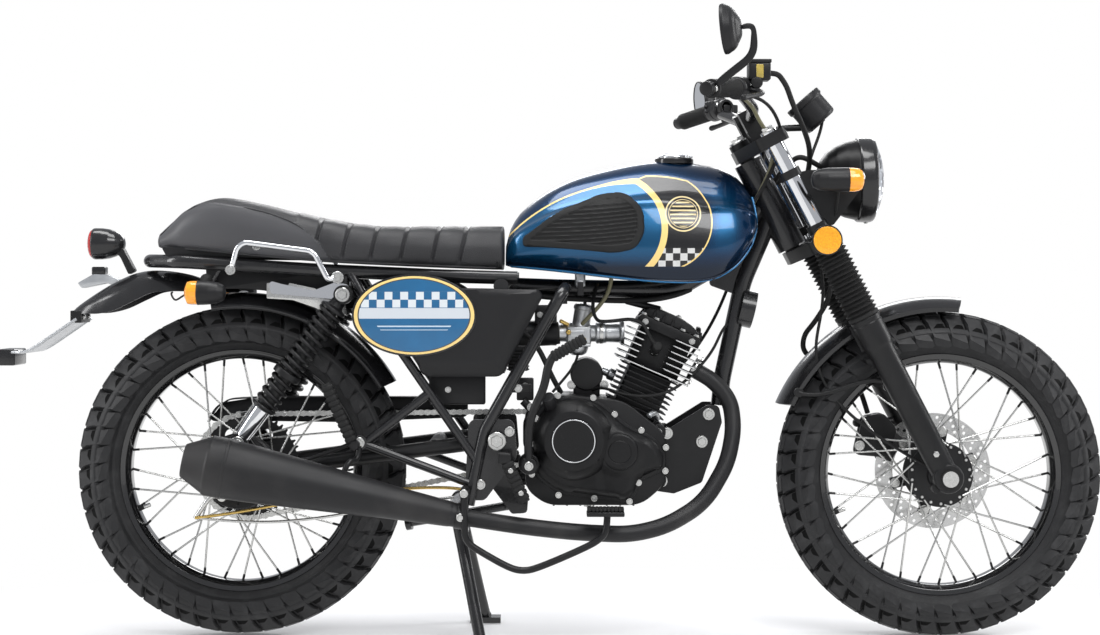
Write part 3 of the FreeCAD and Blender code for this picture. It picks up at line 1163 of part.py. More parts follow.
side_tip = Vector(-278, 156, 197)
prop_knee = Vector(-250, 152, 202)
prop_boss = rod("prop_boss", on_prop(-10), on_prop(8), 16.0)
prop_leg = tube("prop_leg", [on_prop(-6), (-88, 140, 231), prop_knee, side_tip], 9.0, 30)
tip_way = (side_tip - prop_knee).normalize()
prop_foot = rod("prop_foot", side_tip - tip_way * 3, side_tip + tip_way * 8, 15.0)
prop_bore = rod("prop_bore", on_prop(-40), on_prop(40), PROP_PIN + dims.running_gap)
node("side_stand", cut("side_stand", fuse("side_stand_solid", [prop_boss, prop_leg, prop_foot]), prop_bore))

# ---------------------------------------------------------------------------
# Check every object and write one file for each sub-part
# ---------------------------------------------------------------------------
doc.recompute()
faults = []
for item in doc.Objects:
    if "Invalid" in item.State or "Error" in item.State:
        faults.append(f"{item.Name} ({item.Label}): {item.State}")
for item in NODES:
    if item.Shape.isNull() or not item.Shape.isValid() or not item.Shape.Solids:
        faults.append(f"{item.Label} has no valid solid")
if faults:
    raise RuntimeError("; ".join(faults))
os.makedirs("parts", exist_ok=True)
for item in NODES:
    item.Shape.exportStep(f"parts/{item.Label}.step")
    print(f"{item.Label}: {len(item.Shape.Solids)} solids, {item.Shape.Volume / 1e6:.3f} litres")
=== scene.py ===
import json
import math

import bmesh
import bpy
from bpy.props import FloatProperty, FloatVectorProperty, IntProperty, PointerProperty
from mathutils import Matrix, Vector
from mathutils.bvhtree import BVHTree
from mathutils.geometry import delaunay_2d_cdt


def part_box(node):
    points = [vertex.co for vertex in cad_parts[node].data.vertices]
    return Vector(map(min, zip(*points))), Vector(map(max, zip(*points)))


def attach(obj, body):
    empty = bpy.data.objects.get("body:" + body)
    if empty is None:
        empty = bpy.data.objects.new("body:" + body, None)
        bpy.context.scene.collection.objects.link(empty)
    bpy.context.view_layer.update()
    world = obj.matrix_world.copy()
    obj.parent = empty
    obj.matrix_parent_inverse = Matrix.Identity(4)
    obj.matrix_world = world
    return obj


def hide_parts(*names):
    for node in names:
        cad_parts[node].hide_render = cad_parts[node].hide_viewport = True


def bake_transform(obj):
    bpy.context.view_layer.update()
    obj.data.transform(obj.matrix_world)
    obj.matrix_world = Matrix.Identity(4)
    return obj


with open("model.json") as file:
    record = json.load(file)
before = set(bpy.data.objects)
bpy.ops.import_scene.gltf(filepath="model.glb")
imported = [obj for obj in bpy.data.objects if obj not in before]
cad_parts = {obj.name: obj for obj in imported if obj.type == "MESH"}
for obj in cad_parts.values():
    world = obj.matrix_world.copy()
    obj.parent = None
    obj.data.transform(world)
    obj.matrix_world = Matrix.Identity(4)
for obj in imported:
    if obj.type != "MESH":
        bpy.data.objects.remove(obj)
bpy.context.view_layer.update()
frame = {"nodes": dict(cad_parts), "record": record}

bl_info = {"name": "Cafe racer motorcycle", "version": (1, 0, 0), "blender": (4, 5, 0),
    "location": "3D View > Sidebar > Motorcycle",
    "description": "Builds the visible pieces of a light cafe racer motorcycle round its packed frame",
    "category": "Object"}

MM = 0.001
QUARTER = math.pi / 2
CAMERA_X = 0.001
CAMERA_SHIFT = -0.0295  # share of the sensor's width
SENSOR = 36  # millimetres


def node_middle(name):
    low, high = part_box(name)
    return (Vector(low) + Vector(high)) / 2


def node_size(name):
    low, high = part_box(name)
    return Vector(high) - Vector(low)


# Driving places, read from the frame.
FRONT_AXLE = node_middle("front_tyre")
REAR_AXLE = node_middle("rear_tyre")
FRONT_TYRE_R = node_size("front_tyre").z / 2
REAR_TYRE_R = node_size("rear_tyre").z / 2
FRONT_TYRE_W = node_size("front_tyre").y
REAR_TYRE_W = node_size("rear_tyre").y
JOINTS = {joint["name"]: joint for joint in frame["record"]["behaviour"]["joints"]}
UP_HEAD = Vector(JOINTS["steering"]["axis"]).normalized()
FORWARD_HEAD = Vector((UP_HEAD.z, 0, -UP_HEAD.x))
HEAD_AT = Vector(JOINTS["steering"]["pos_m"])
HEAD_FOOT = HEAD_AT - UP_HEAD * (HEAD_AT.z / UP_HEAD.z)
AXLE_ALONG = (FRONT_AXLE - HEAD_FOOT).dot(UP_HEAD)
FORK_OFFSET = (FRONT_AXLE - HEAD_FOOT).dot(FORWARD_HEAD)
FORK_HALF = 0.095  # from the middle plane to a fork leg's line


def angles(count, start=0.0):
    """Even angles round a full turn; start is a share of one step."""
    return [2 * math.pi * (step + start) / count for step in range(count)]


def round_way(angle):
    """The direction at an angle in the machine's side view, from ahead towards up."""
    return Vector((math.cos(angle), 0, math.sin(angle)))


def on_head(forward, side, along):
    """A point on the steering assembly: ahead of its axis, to the left, and up along it, in metres."""
    return HEAD_FOOT + FORWARD_HEAD * forward + Vector((0, side, 0)) + UP_HEAD * along


# ---------------------------------------------------------------------------
# Settings
# ---------------------------------------------------------------------------
class WheelSettings(bpy.types.PropertyGroup):
    """Sizes of the wheels' fine detail."""

    tread_depth: FloatProperty(name="Tread depth", description="Height of a tread block", default=0.0075,
        unit="LENGTH")
    front_pitches: IntProperty(name="Front pitches", description="Tread patterns round the front tyre",
        default=48)
    rear_pitches: IntProperty(name="Rear pitches", description="Tread patterns round the rear tyre",
        default=48)
    spoke_radius: FloatProperty(name="Spoke radius", description="Half the thickness of a spoke",
        default=0.00175, unit="LENGTH")


class PaintSettings(bpy.types.PropertyGroup):
    """Colours of the bodywork."""

    tank_blue: FloatVectorProperty(name="Tank blue", description="Metallic blue of the tank", subtype="COLOR",
        default=(0.0012, 0.021, 0.064), min=0, max=1)
    patch_blue: FloatVectorProperty(name="Patch blue", description="Lighter blue round the knee pad",
        subtype="COLOR", default=(0.004, 0.080, 0.188), min=0, max=1)
    gold: FloatVectorProperty(name="Gold", description="Pinstripe gold", subtype="COLOR",
        default=(0.86, 0.62, 0.22), min=0, max=1)
    black: FloatVectorProperty(name="Black", description="Enamel black", subtype="COLOR",
        default=(0.011, 0.011, 0.012), min=0, max=1)
    amber: FloatVectorProperty(name="Amber", description="Indicator lens", subtype="COLOR",
        default=(0.93, 0.30, 0.008), min=0, max=1)


class SeatSettings(bpy.types.PropertyGroup):
    """Upholstery of the seat."""

    seam_depth: FloatProperty(name="Seam depth", description="How far a sewn channel sinks", default=0.0045,
        unit="LENGTH")
    stitch_pitch: FloatProperty(name="Stitch pitch", description="Distance from stitch to stitch",
        default=0.0055, unit="LENGTH")


class StageSettings(bpy.types.PropertyGroup):
    """Camera and light."""

    camera_distance: FloatProperty(name="Camera distance", description="Camera from the middle plane",
        default=4.0, unit="LENGTH")
    camera_height: FloatProperty(name="Camera height", description="Camera above the floor", default=0.67,
        unit="LENGTH")
    lens: FloatProperty(name="Lens", description="Focal length in millimetres", default=68.2)


# ---------------------------------------------------------------------------
# Shader maths
# ---------------------------------------------------------------------------
def new_node(tree, kind, settings):
    """A node in a tree, with the settings given."""
    made = tree.nodes.new(kind)
    for name, value in (settings or {}).items():
        setattr(made, name, value)
    return made


class Wire:
    """A shader socket that adds, multiplies and compares like a number."""

    def __init__(self, recipe, socket):
        self.recipe = recipe
        self.socket = socket

    def _math(self, operation, first, second=None):
        inputs = {0: first}
        if second is not None:
            inputs[1] = second
        return self.recipe.add("ShaderNodeMath", {"operation": operation}, inputs)

    def __add__(self, other):
        return self._math("ADD", self, other)

    def __radd__(self, other):
        return self._math("ADD", other, self)

    def __sub__(self, other):
        return self._math("SUBTRACT", self, other)

    def __rsub__(self, other):
        return self._math("SUBTRACT", other, self)

    def __mul__(self, other):
        return self._math("MULTIPLY", self, other)

    def __rmul__(self, other):
        return self._math("MULTIPLY", other, self)

    def __truediv__(self, other):
        return self._math("DIVIDE", self, other)

    def __abs__(self):
        return self._math("ABSOLUTE", self)

    def __gt__(self, other):
        return self._math("GREATER_THAN", self, other)

    def __lt__(self, other):
        return self._math("LESS_THAN", self, other)

    def most(self, other):
        return self._math("MAXIMUM", self, other)

    def root(self):
        return self._math("SQRT", self)

    def wrap(self, period):
        return self._math("FLOORED_MODULO", self, period)

    def whole(self):
        return self._math("FLOOR", self)

    def sine(self):
        return self._math("SINE", self)

    def blend(self, low, high):
        """0 below low, 1 above high, smooth between."""
        inputs = {"Value": self, "From Min": low, "From Max": high}
        return self.recipe.add("ShaderNodeMapRange", {"interpolation_type": "SMOOTHSTEP"}, inputs)


class Recipe:
    """One material with a Principled shader, and a short way to add nodes to it."""

    def __init__(self, name, colour, roughness, metallic=0.0, **constants):
        self.material = bpy.data.materials.new(name)
        self.material.use_nodes = True
        self.tree = self.material.node_tree
        self.shader = self.tree.nodes["Principled BSDF"]
        self.shader.inputs["Base Color"].default_value = (*colour, 1)
        self.shader.inputs["Roughness"].default_value = roughness
        self.shader.inputs["Metallic"].default_value = metallic
        for label, value in constants.items():
            self.shader.inputs[label.replace("_", " ")].default_value = value
        self.material.diffuse_color = (*colour, 1)

    def add(self, kind, settings=None, inputs=None, output=0):
        made = new_node(self.tree, kind, settings)
        for name, value in (inputs or {}).items():
            if isinstance(value, Wire):
                self.tree.links.new(value.socket, made.inputs[name])
            else:
                made.inputs[name].default_value = value
        return Wire(self, made.outputs[output])

    def feed(self, label, wire):
        self.tree.links.new(wire.socket, self.shader.inputs[label])

    def place(self):
        return self.add("ShaderNodeTexCoord", output="Object")

    def axes(self):
        split = self.add("ShaderNodeSeparateXYZ", inputs={0: self.place()})
        outputs = split.socket.node.outputs
        return [Wire(self, outputs[number]) for number in range(3)]

    def noise(self, scale, detail=3.0, roughness=0.55, place=None):
        inputs = {"Vector": place or self.place(), "Scale": scale, "Detail": detail, "Roughness": roughness}
        return self.add("ShaderNodeTexNoise", inputs=inputs)

    def cells(self, scale, place=None):
        return self.add("ShaderNodeTexVoronoi", inputs={"Vector": place or self.place(), "Scale": scale})

    def mix(self, factor, first, second):
        """Colour from first to second; either may be a wire or three numbers."""
        inputs = {0: factor}
        for socket, value in ((6, first), (7, second)):
            inputs[socket] = value if isinstance(value, Wire) else (*value, 1)
        return self.add("ShaderNodeMix", {"data_type": "RGBA"}, inputs, output=2)

    def bump(self, height, depth, strength=1.0):
        inputs = {"Height": height, "Distance": depth, "Strength": strength}
        self.feed("Normal", self.add("ShaderNodeBump", inputs=inputs))

    def uneven(self, low, high, scale=9.0, detail=4.0):
        """Roughness that wanders between two values, as wiped and handled surfaces do."""
        self.feed("Roughness", self.noise(scale, detail) * (high - low) * 1.6 + (low - (high - low) * 0.3))


MATERIALS = {}


def finish(name):
    """A named finish, made once."""
    if name not in MATERIALS:
        MATERIALS[name] = FINISHES[name]().material
    return MATERIALS[name]


def settings():
    return bpy.context.scene


def enamel():
    """Gloss black frame enamel with a faint orange peel."""
    black = tuple(settings().motorcycle_paint.black)
    made = Recipe("black enamel", black, 0.24, Coat_Weight=0.35, Coat_Roughness=0.06, Specular_IOR_Level=0.4)
    made.uneven(0.18, 0.34, 14)
    made.bump(made.noise(260, 2), 0.00006)
    dust = made.noise(22, 5).blend(0.52, 0.78) * 0.5
    made.feed("Base Color", made.mix(dust, black, (0.022, 0.022, 0.023)))
    return made


def powder_coat():
    """Satin black powder coat: fine pebbled skin."""
    made = Recipe("satin powder coat", (0.014, 0.014, 0.015), 0.38, Specular_IOR_Level=0.32)
    made.uneven(0.32, 0.46, 18)
    made.bump(made.noise(900, 2), 0.00008)
    made.feed("Base Color", made.mix(made.noise(30, 4), (0.006, 0.006, 0.0065), (0.013, 0.013, 0.0135)))
    return made


def headlight_black():
    """Smooth satin lacquer of the lamp shell."""
    made = Recipe("headlight lacquer", (0.003, 0.003, 0.0034), 0.34, Specular_IOR_Level=0.2)
    made.uneven(0.30, 0.40, 9)
    return made


def cast_black():
    """Black enamel over sand-cast aluminium."""
    made = Recipe("black casting", (0.014, 0.014, 0.015), 0.4, Specular_IOR_Level=0.3)
    grain = made.noise(650, 3)
    made.bump(grain, 0.00022)
    made.uneven(0.30, 0.52, 24)
    worn = made.noise(60, 6, 0.7).blend(0.60, 0.74)
    made.feed("Base Color", made.mix(worn, (0.0065, 0.0065, 0.007), (0.018, 0.018, 0.019)))
    return made


def exhaust_black():
    """Heat-proof matt black, a little greyer where it gets hot."""
    made = Recipe("exhaust black", (0.018, 0.018, 0.019), 0.45, Specular_IOR_Level=0.3)
    made.uneven(0.38, 0.55, 12)
    made.bump(made.noise(1100, 2), 0.00007)
    made.feed("Base Color", made.mix(made.noise(7, 5).blend(0.45, 0.7), (0.014, 0.014, 0.015),
        (0.028, 0.027, 0.027)))
    return made


def machined_edge():
    """Bare aluminium where a fin's edge was machined through the black."""
    made = Recipe("machined fin edge", (0.82, 0.82, 0.82), 0.28, 1.0)
    made.uneven(0.20, 0.40, 60)
    return made


def chrome():
    made = Recipe("chrome", (0.80, 0.81, 0.83), 0.06, 1.0)
    made.uneven(0.03, 0.12, 16)
    return made


def zinc():
    """Bolt heads and washers."""
    made = Recipe("zinc plate", (0.66, 0.66, 0.64), 0.27, 1.0)
    made.uneven(0.18, 0.38, 120)
    made.feed("Base Color", made.mix(made.noise(200, 3), (0.50, 0.50, 0.49), (0.78, 0.78, 0.76)))
    return made


def alloy():
    """Cast and tumbled aluminium."""
    made = Recipe("tumbled alloy", (0.58, 0.60, 0.61), 0.36, 0.92)
    made.bump(made.noise(700, 3), 0.00025)
    made.uneven(0.28, 0.46, 40)
    made.feed("Base Color", made.mix(made.noise(45, 5), (0.42, 0.44, 0.46), (0.70, 0.71, 0.72)))
    return made


def disc_steel():
    """Brake disc: fine rings left by the pads."""
    made = Recipe("disc steel", (0.60, 0.60, 0.60), 0.24, 1.0)
    x, _, z = made.axes()
    x, z = x - FRONT_AXLE.x, z - FRONT_AXLE.z
    radius = (x * x + z * z).root()
    rings = made.add("ShaderNodeTexNoise", {"noise_dimensions": "1D"},
        {"W": radius, "Scale": 1400.0, "Detail": 2.0})
    made.bump(rings, 0.00005)
    made.feed("Base Color", made.mix(rings, (0.50, 0.50, 0.50), (0.74, 0.74, 0.73)))
    return made


def brass():
    made = Recipe("brass", (0.72, 0.50, 0.16), 0.26, 1.0)
    made.uneven(0.18, 0.36, 90)
    return made


def rubber():
    """Moulded black rubber."""
    made = Recipe("moulded rubber", (0.014, 0.014, 0.014), 0.62, Specular_IOR_Level=0.25)
    made.uneven(0.52, 0.74, 20)
    made.bump(made.noise(1500, 2), 0.00008)
    return made


def tyre_rubber():
    """Tyre rubber, dusty grey on the tread's edges."""
    made = Recipe("tyre rubber", (0.016, 0.016, 0.017), 0.6, Specular_IOR_Level=0.42)
    made.bump(made.noise(480, 4), 0.0003)
    made.uneven(0.46, 0.66, 15)
    dust = made.noise(28, 6, 0.65).blend(0.45, 0.75)
    made.feed("Base Color", made.mix(dust, (0.013, 0.013, 0.014), (0.030, 0.030, 0.031)))
    return made


def groove_shade_rubber():
    """Painted shade: darker, duller rubber given to the carcass between the tread blocks."""
    made = Recipe("groove rubber", (0.004, 0.004, 0.004), 0.85, Specular_IOR_Level=0.15)
    made.uneven(0.78, 0.92, 40)
    return made


def rim_enamel():
    """Deep gloss black of the rims."""
    made = Recipe("rim enamel", (0.006, 0.006, 0.0065), 0.16, Coat_Weight=0.9, Coat_Roughness=0.03,
        Specular_IOR_Level=0.5)
    made.uneven(0.12, 0.24, 12)
    return made


def vinyl():
    """Seat vinyl: leather grain of small cells with creases between them."""
    made = Recipe("seat vinyl", (0.016, 0.016, 0.017), 0.42, Specular_IOR_Level=0.34)
    grain = made.cells(620) * 0.75 + made.noise(240, 4) * 0.5
    made.bump(grain, 0.00035)
    made.uneven(0.36, 0.54, 11)
    made.feed("Base Color", made.mix(made.noise(9, 5), (0.022, 0.022, 0.0235), (0.040, 0.040, 0.0425)))
    return made


def cowl_vinyl():
    """The same vinyl stretched over the hump, finer and a little paler."""
    made = Recipe("stretched vinyl", (0.024, 0.024, 0.026), 0.36, Specular_IOR_Level=0.38)
    made.bump(made.cells(900) * 0.5 + made.noise(420, 3) * 0.4, 0.00018)
    made.uneven(0.30, 0.45, 9)
    made.feed("Base Color", made.mix(made.noise(6, 4), (0.056, 0.056, 0.060), (0.082, 0.082, 0.087)))
    return made


def moulded_plastic():
    made = Recipe("moulded plastic", (0.010, 0.010, 0.011), 0.4, Specular_IOR_Level=0.32)
    made.bump(made.noise(1300, 2), 0.00006)
    made.uneven(0.33, 0.50, 16)
    return made


def gloss_plastic():
    made = Recipe("gloss plastic", (0.012, 0.012, 0.013), 0.2, Coat_Weight=0.25, Coat_Roughness=0.05,
        Specular_IOR_Level=0.42)
    made.uneven(0.14, 0.30, 22)
    return made


def stitch_thread():
    made = Recipe("stitch thread", (0.05, 0.05, 0.052), 0.6)
    made.bump(made.noise(2500, 2), 0.0001)
    return made


def lens_ribs(made, axis_index):
    """Moulded flutes inside a lens."""
    across = made.axes()[axis_index]
    made.bump((across * 900.0).sine(), 0.0003, 0.6)


def amber_lens():
    amber = tuple(settings().motorcycle_paint.amber)
    made = Recipe("amber lens", amber, 0.12, Coat_Weight=0.6, Coat_Roughness=0.03)
    lens_ribs(made, 2)
    made.feed("Base Color", made.mix(made.noise(90, 2), amber, (1.0, 0.42, 0.03)))
    return made


def reflector_lens():
    """Amber reflector: a honeycomb of prisms under a clear face."""
    made = Recipe("reflector lens", (0.95, 0.42, 0.01), 0.15, Coat_Weight=0.8, Coat_Roughness=0.02)
    cells = made.cells(330)
    made.bump(cells, 0.0004, 0.5)
    made.feed("Base Color", made.mix(cells, (1.0, 0.46, 0.01), (0.80, 0.30, 0.005)))
    return made


def red_lens():
    made = Recipe("red lens", (0.42, 0.008, 0.006), 0.12, Coat_Weight=0.6, Coat_Roughness=0.03)
    lens_ribs(made, 2)
    return made


def clear_lens():
    return Recipe("clear lens", (0.97, 0.98, 1.0), 0.02, Transmission_Weight=1.0, IOR=1.45)


def mirror_glass():
    return Recipe("mirror glass", (0.86, 0.88, 0.90), 0.02, 1.0)


def fluid_window():
    made = Recipe("fluid window", (0.42, 0.30, 0.04), 0.12, Coat_Weight=0.5, Coat_Roughness=0.05)
    made.feed("Base Color", made.mix(made.noise(120, 2), (0.34, 0.25, 0.04), (0.55, 0.42, 0.10)))
    return made


def dial_face():
    made = Recipe("dial face", (0.012, 0.012, 0.013), 0.5)
    made.bump(made.noise(1500, 1), 0.00004)
    return made


def dial_white():
    return Recipe("dial print", (0.80, 0.80, 0.78), 0.5)


def red_paint():
    return Recipe("red paint", (0.62, 0.015, 0.01), 0.3)


def old_cable_green():
    """Aged clear sheath over a cable: olive grey."""
    made = Recipe("cable sheath", (0.17, 0.16, 0.09), 0.4)
    made.uneven(0.32, 0.5, 30)
    return made


def circle_edge(x, z, centre_x, centre_z, radius, open_rear=False):
    """Distance outside a circle on the tank's side, in metres; negative inside. It can run on rearwards."""
    dx, dz = x - centre_x, z - centre_z
    if open_rear:
        dx = dx.most(0.0)
    return (dx * dx + dz * dz).root() - radius


def band(distance, low, high, soft=0.00035):
    """1 where a distance lies between two values."""
    return distance.blend(low - soft, low + soft) * (1 - distance.blend(high - soft, high + soft))


# Stripe arcs on the tank's side: circle centres and radii, in metres.
PATCH_FRONT = (0.1094, 0.7764, 0.0990)
PATCH_TOP = (0.1588, 0.5310, 0.3295)
PANEL_FRONT = (0.2110, 0.7886, 0.0903)
PANEL_TOP = (0.1906, 0.6198, 0.2545)
EMBLEM_AT = (0.2489, 0.8030)
EMBLEM_R = 0.0338
CHECK = 0.0135
STRIPE_FOOT = 0.7045


def tank_paint():
    """Metallic blue with a lighter patch, a black panel, gold pinstripes, checks and a plain ring."""
    paint = settings().motorcycle_paint
    blue, patch_blue, gold = tuple(paint.tank_blue), tuple(paint.patch_blue), tuple(paint.gold)
    made = Recipe("tank paint", blue, 0.30, Coat_Weight=0.55, Coat_Roughness=0.04, Specular_IOR_Level=0.3)
    x, _, z = made.axes()
    patch = circle_edge(x, z, *PATCH_FRONT, open_rear=True).most(circle_edge(x, z, *PATCH_TOP))
    panel = circle_edge(x, z, *PANEL_FRONT).most(circle_edge(x, z, *PANEL_TOP))
    above_foot = z.blend(STRIPE_FOOT - 0.0004, STRIPE_FOOT + 0.0004)
    stripe_width = 0.003 + (x.blend(0.06, 0.19)) * 0.009
    stripe = band(patch, 0.0, stripe_width) * above_foot
    in_patch = (1 - patch.blend(-0.0004, 0.0004)) * above_foot
    in_panel = (1 - panel.blend(-0.0004, 0.0004)) * patch.blend(0.001, 0.002) * above_foot
    pinstripe = band(panel, 0.0, 0.0026) * patch.blend(0.0, 0.001) * above_foot
    checks = ((x / CHECK).whole() + (z / CHECK).whole()).wrap(2.0)
    check_rows = in_panel * (z < STRIPE_FOOT + 2 * CHECK + 0.007)
    emblem = circle_edge(x, z, *EMBLEM_AT, EMBLEM_R)
    ring = band(emblem, -0.0026, 0.0).most(band(emblem, -0.0075, -0.0064))
    bars = (1 - emblem.blend(-0.0095, -0.0090)) * (((z - EMBLEM_AT[1]) / 0.0076).wrap(1.0) > 0.62)
    flake = made.cells(2600)
    metallic_blue = made.mix(flake * 0.35, blue, tuple(min(1.0, value * 2.4) for value in blue))
    # The blue fades: the teal glow beside the panel is a painted reflection.
    teal = band(panel, 0.010, 0.052, 0.016) * z.blend(0.715, 0.76) * (1 - z.blend(0.80, 0.875))
    metallic_blue = made.mix(teal * 0.85, metallic_blue, patch_blue)
    # The blue goes nearly black along the foot; the darkening over the nose is a painted dark reflection.
    dark = (1 - z.blend(0.694, 0.742)).most(x.blend(0.20, 0.34) * z.blend(0.835, 0.88) * 0.75)
    metallic_blue = made.mix(dark * 0.85, metallic_blue, (0.0008, 0.0045, 0.0125))
    colour = made.mix(in_patch * z.blend(0.698, 0.742), metallic_blue, patch_blue)
    colour = made.mix(in_panel, colour, (0.008, 0.008, 0.009))
    colour = made.mix(check_rows * checks, colour, (0.62, 0.62, 0.60))
    colour = made.mix(stripe.most(pinstripe), colour, gold)
    colour = made.mix(ring.most(bars * 0.9) * in_panel, colour, (0.84, 0.68, 0.36))
    made.feed("Base Color", colour)
    plain = (1 - in_panel) * (1 - stripe) * (1 - pinstripe)
    made.feed("Metallic", plain * 0.62)
    made.feed("Roughness", made.noise(11, 3) * 0.08 + 0.20)
    made.bump(flake, 0.00002)
    return made


def lip_paint():
    """The tank's blue where it catches the light along the welded lip."""
    blue = tuple(settings().motorcycle_paint.patch_blue)
    made = Recipe("lip paint", blue, 0.25, 0.3, Coat_Weight=0.5, Coat_Roughness=0.05)
    made.feed("Base Color", made.mix(made.noise(20, 3), blue, tuple(value * 2.2 for value in blue)))
    return made


def plaque_paint():
    """Blue oval panel: gold border, two rows of checks and a silver band; no lettering."""
    paint = settings().motorcycle_paint
    made = Recipe("plaque paint", tuple(paint.patch_blue), 0.3, Coat_Weight=0.6, Coat_Roughness=0.05)
    x, _, z = made.axes()
    dx, dz = (x - PLAQUE_AT.x) / PLAQUE_HALF.x, (z - PLAQUE_AT.z) / PLAQUE_HALF.z
    edge = (dx * dx + dz * dz).root()
    checks = ((x / 0.0145).whole() + ((z - PLAQUE_AT.z) / 0.0145).whole()).wrap(2.0)
    check_rows = band(z - PLAQUE_AT.z, 0.0145, 0.0435, 0.0002)
    silver_band = band(z - PLAQUE_AT.z, -0.006, 0.0135, 0.0002)
    fine_lines = band(z - PLAQUE_AT.z, -0.0215, -0.0190, 0.0002).most(band(z - PLAQUE_AT.z, -0.0275, -0.0262,
        0.0002))
    blue = made.mix(made.noise(14, 4), tuple(paint.patch_blue),
        tuple(value * 1.7 for value in paint.patch_blue))
    colour = made.mix(check_rows * checks, blue, (0.66, 0.70, 0.72))
    colour = made.mix(silver_band, colour, (0.58, 0.62, 0.66))
    colour = made.mix(fine_lines * (edge < 0.66), colour, (0.50, 0.60, 0.68))
    inside = edge < 0.905
    colour = made.mix(inside, tuple(paint.gold), colour)
    colour = made.mix(band(edge, 0.905, 0.925, 0.002), colour, (0.02, 0.03, 0.05))
    made.feed("Base Color", colour)
    made.feed("Roughness", made.noise(30, 3) * 0.12 + 0.24)
    return made


FINISHES = {"enamel": enamel, "powder": powder_coat, "casting": cast_black, "headlight": headlight_black,
    "exhaust": exhaust_black, "fin edge": machined_edge, "chrome": chrome, "zinc": zinc, "alloy": alloy,
    "disc": disc_steel, "brass": brass, "rubber": rubber, "tyre": tyre_rubber, "groove": groove_shade_rubber,
    "rim": rim_enamel, "vinyl": vinyl, "cowl vinyl": cowl_vinyl, "plastic": moulded_plastic,
    "gloss plastic": gloss_plastic, "thread": stitch_thread, "amber": amber_lens, "reflector": reflector_lens,
    "red": red_lens, "clear": clear_lens, "mirror": mirror_glass, "fluid": fluid_window, "dial": dial_face,
    "dial white": dial_white, "red paint": red_paint, "sheath": old_cable_green, "tank": tank_paint,
    "lip": lip_paint, "plaque": plaque_paint}


# ---------------------------------------------------------------------------
# Mesh makers
# ---------------------------------------------------------------------------
def set_finishes(mesh, finishes):
    mesh.materials.clear()
    for item in finishes:
        mesh.materials.append(finish(item))


def to_object(name, mesh, *finishes, sharp=38.0):
    """An object from a finished mesh, smooth but for its sharp edges."""
    set_finishes(mesh, finishes)
    mesh.shade_smooth()
    mesh.set_sharp_from_angle(angle=math.radians(sharp))
    made = bpy.data.objects.new(name, mesh)
    bpy.context.scene.collection.objects.link(made)
    return made


def mesh_from(verts, faces, outward=True):
    mesh = bpy.data.meshes.new("mesh")
    mesh.from_pydata([tuple(vert) for vert in verts], [], faces)
    work = bmesh.new()
    work.from_mesh(mesh)
    bmesh.ops.remove_doubles(work, verts=work.verts, dist=1e-7)
    bmesh.ops.dissolve_degenerate(work, edges=work.edges, dist=1e-7)
    if outward:
        bmesh.ops.recalc_face_normals(work, faces=work.faces)
    work.to_mesh(mesh)
    work.free()
    return mesh


def plain_mesh(made):
    """The object's evaluated mesh with its modifiers applied."""
    return bpy.data.meshes.new_from_object(made.evaluated_get(bpy.context.evaluated_depsgraph_get()))


def applied(made):
    """Applies an object's modifiers and removes them."""
    bpy.context.view_layer.update()
    old, new = made.data, plain_mesh(made)
    made.modifiers.clear()
    made.data = new
    bpy.data.meshes.remove(old)
    return made


def bevelled(made, width, segments=3, angle=30.0):
    modifier = made.modifiers.new("Bevel", "BEVEL")
    modifier.width = width
    modifier.segments = segments
    modifier.limit_method = "ANGLE"
    modifier.angle_limit = math.radians(angle)
    modifier.harden_normals = False
    applied(made)
    made.data.shade_smooth()
    made.data.set_sharp_from_angle(angle=math.radians(38))
    return made


def rounded_profile(profile, radius, closed=False, steps=3):
    """A polyline with its corners rounded by short arcs; sizes in metres."""
    points = [Vector(point) for point in profile]
    count = len(points)
    result = []
    for index, here in enumerate(points):
        inner = closed or 0 < index < count - 1
        if not inner:
            result.append(here)
            continue
        before, after = points[index - 1], points[(index + 1) % count]
        back, ahead = before - here, after - here
        if back.length < 1e-9 or ahead.length < 1e-9:
            result.append(here)
            continue
        reach = min(radius, back.length * 0.42, ahead.length * 0.42)
        start, end = here + back.normalized() * reach, here + ahead.normalized() * reach
        for step in range(steps + 1):
            t = step / steps
            result.append(start * (1 - t) ** 2 + here * 2 * t * (1 - t) + end * t ** 2)
    return result


def turned(name, profile, centre, axis, *finishes, soft=0.0012, segments=72, closed=False, sharp=38.0):
    """A lathe piece: (radius, along) profile about an axis through a centre."""
    profile = rounded_profile(profile, soft, closed) if soft else [Vector(point) for point in profile]
    turn = Vector((0, 0, 1)).rotation_difference(Vector(axis).normalized())
    verts, faces = [], []
    for radius, along in profile:
        for step in range(segments):
            angle = 2 * math.pi * step / segments
            local = Vector((radius * math.cos(angle), radius * math.sin(angle), along))
            verts.append(Vector(centre) + turn @ local)
    rings = len(profile)
    for ring in range(rings if closed else rings - 1):
        lower, upper = ring * segments, ((ring + 1) % rings) * segments
        for step in range(segments):
            after = (step + 1) % segments
            faces.append((lower + step, lower + after, upper + after, upper + step))
    return to_object(name, mesh_from(verts, faces), *finishes, sharp=sharp)


def curve_mesh(name, curve):
    """The mesh that a curve with a bevel makes."""
    made = bpy.data.objects.new(name, curve)
    bpy.context.scene.collection.objects.link(made)
    bpy.context.view_layer.update()
    mesh = plain_mesh(made)
    bpy.data.objects.remove(made)
    return mesh


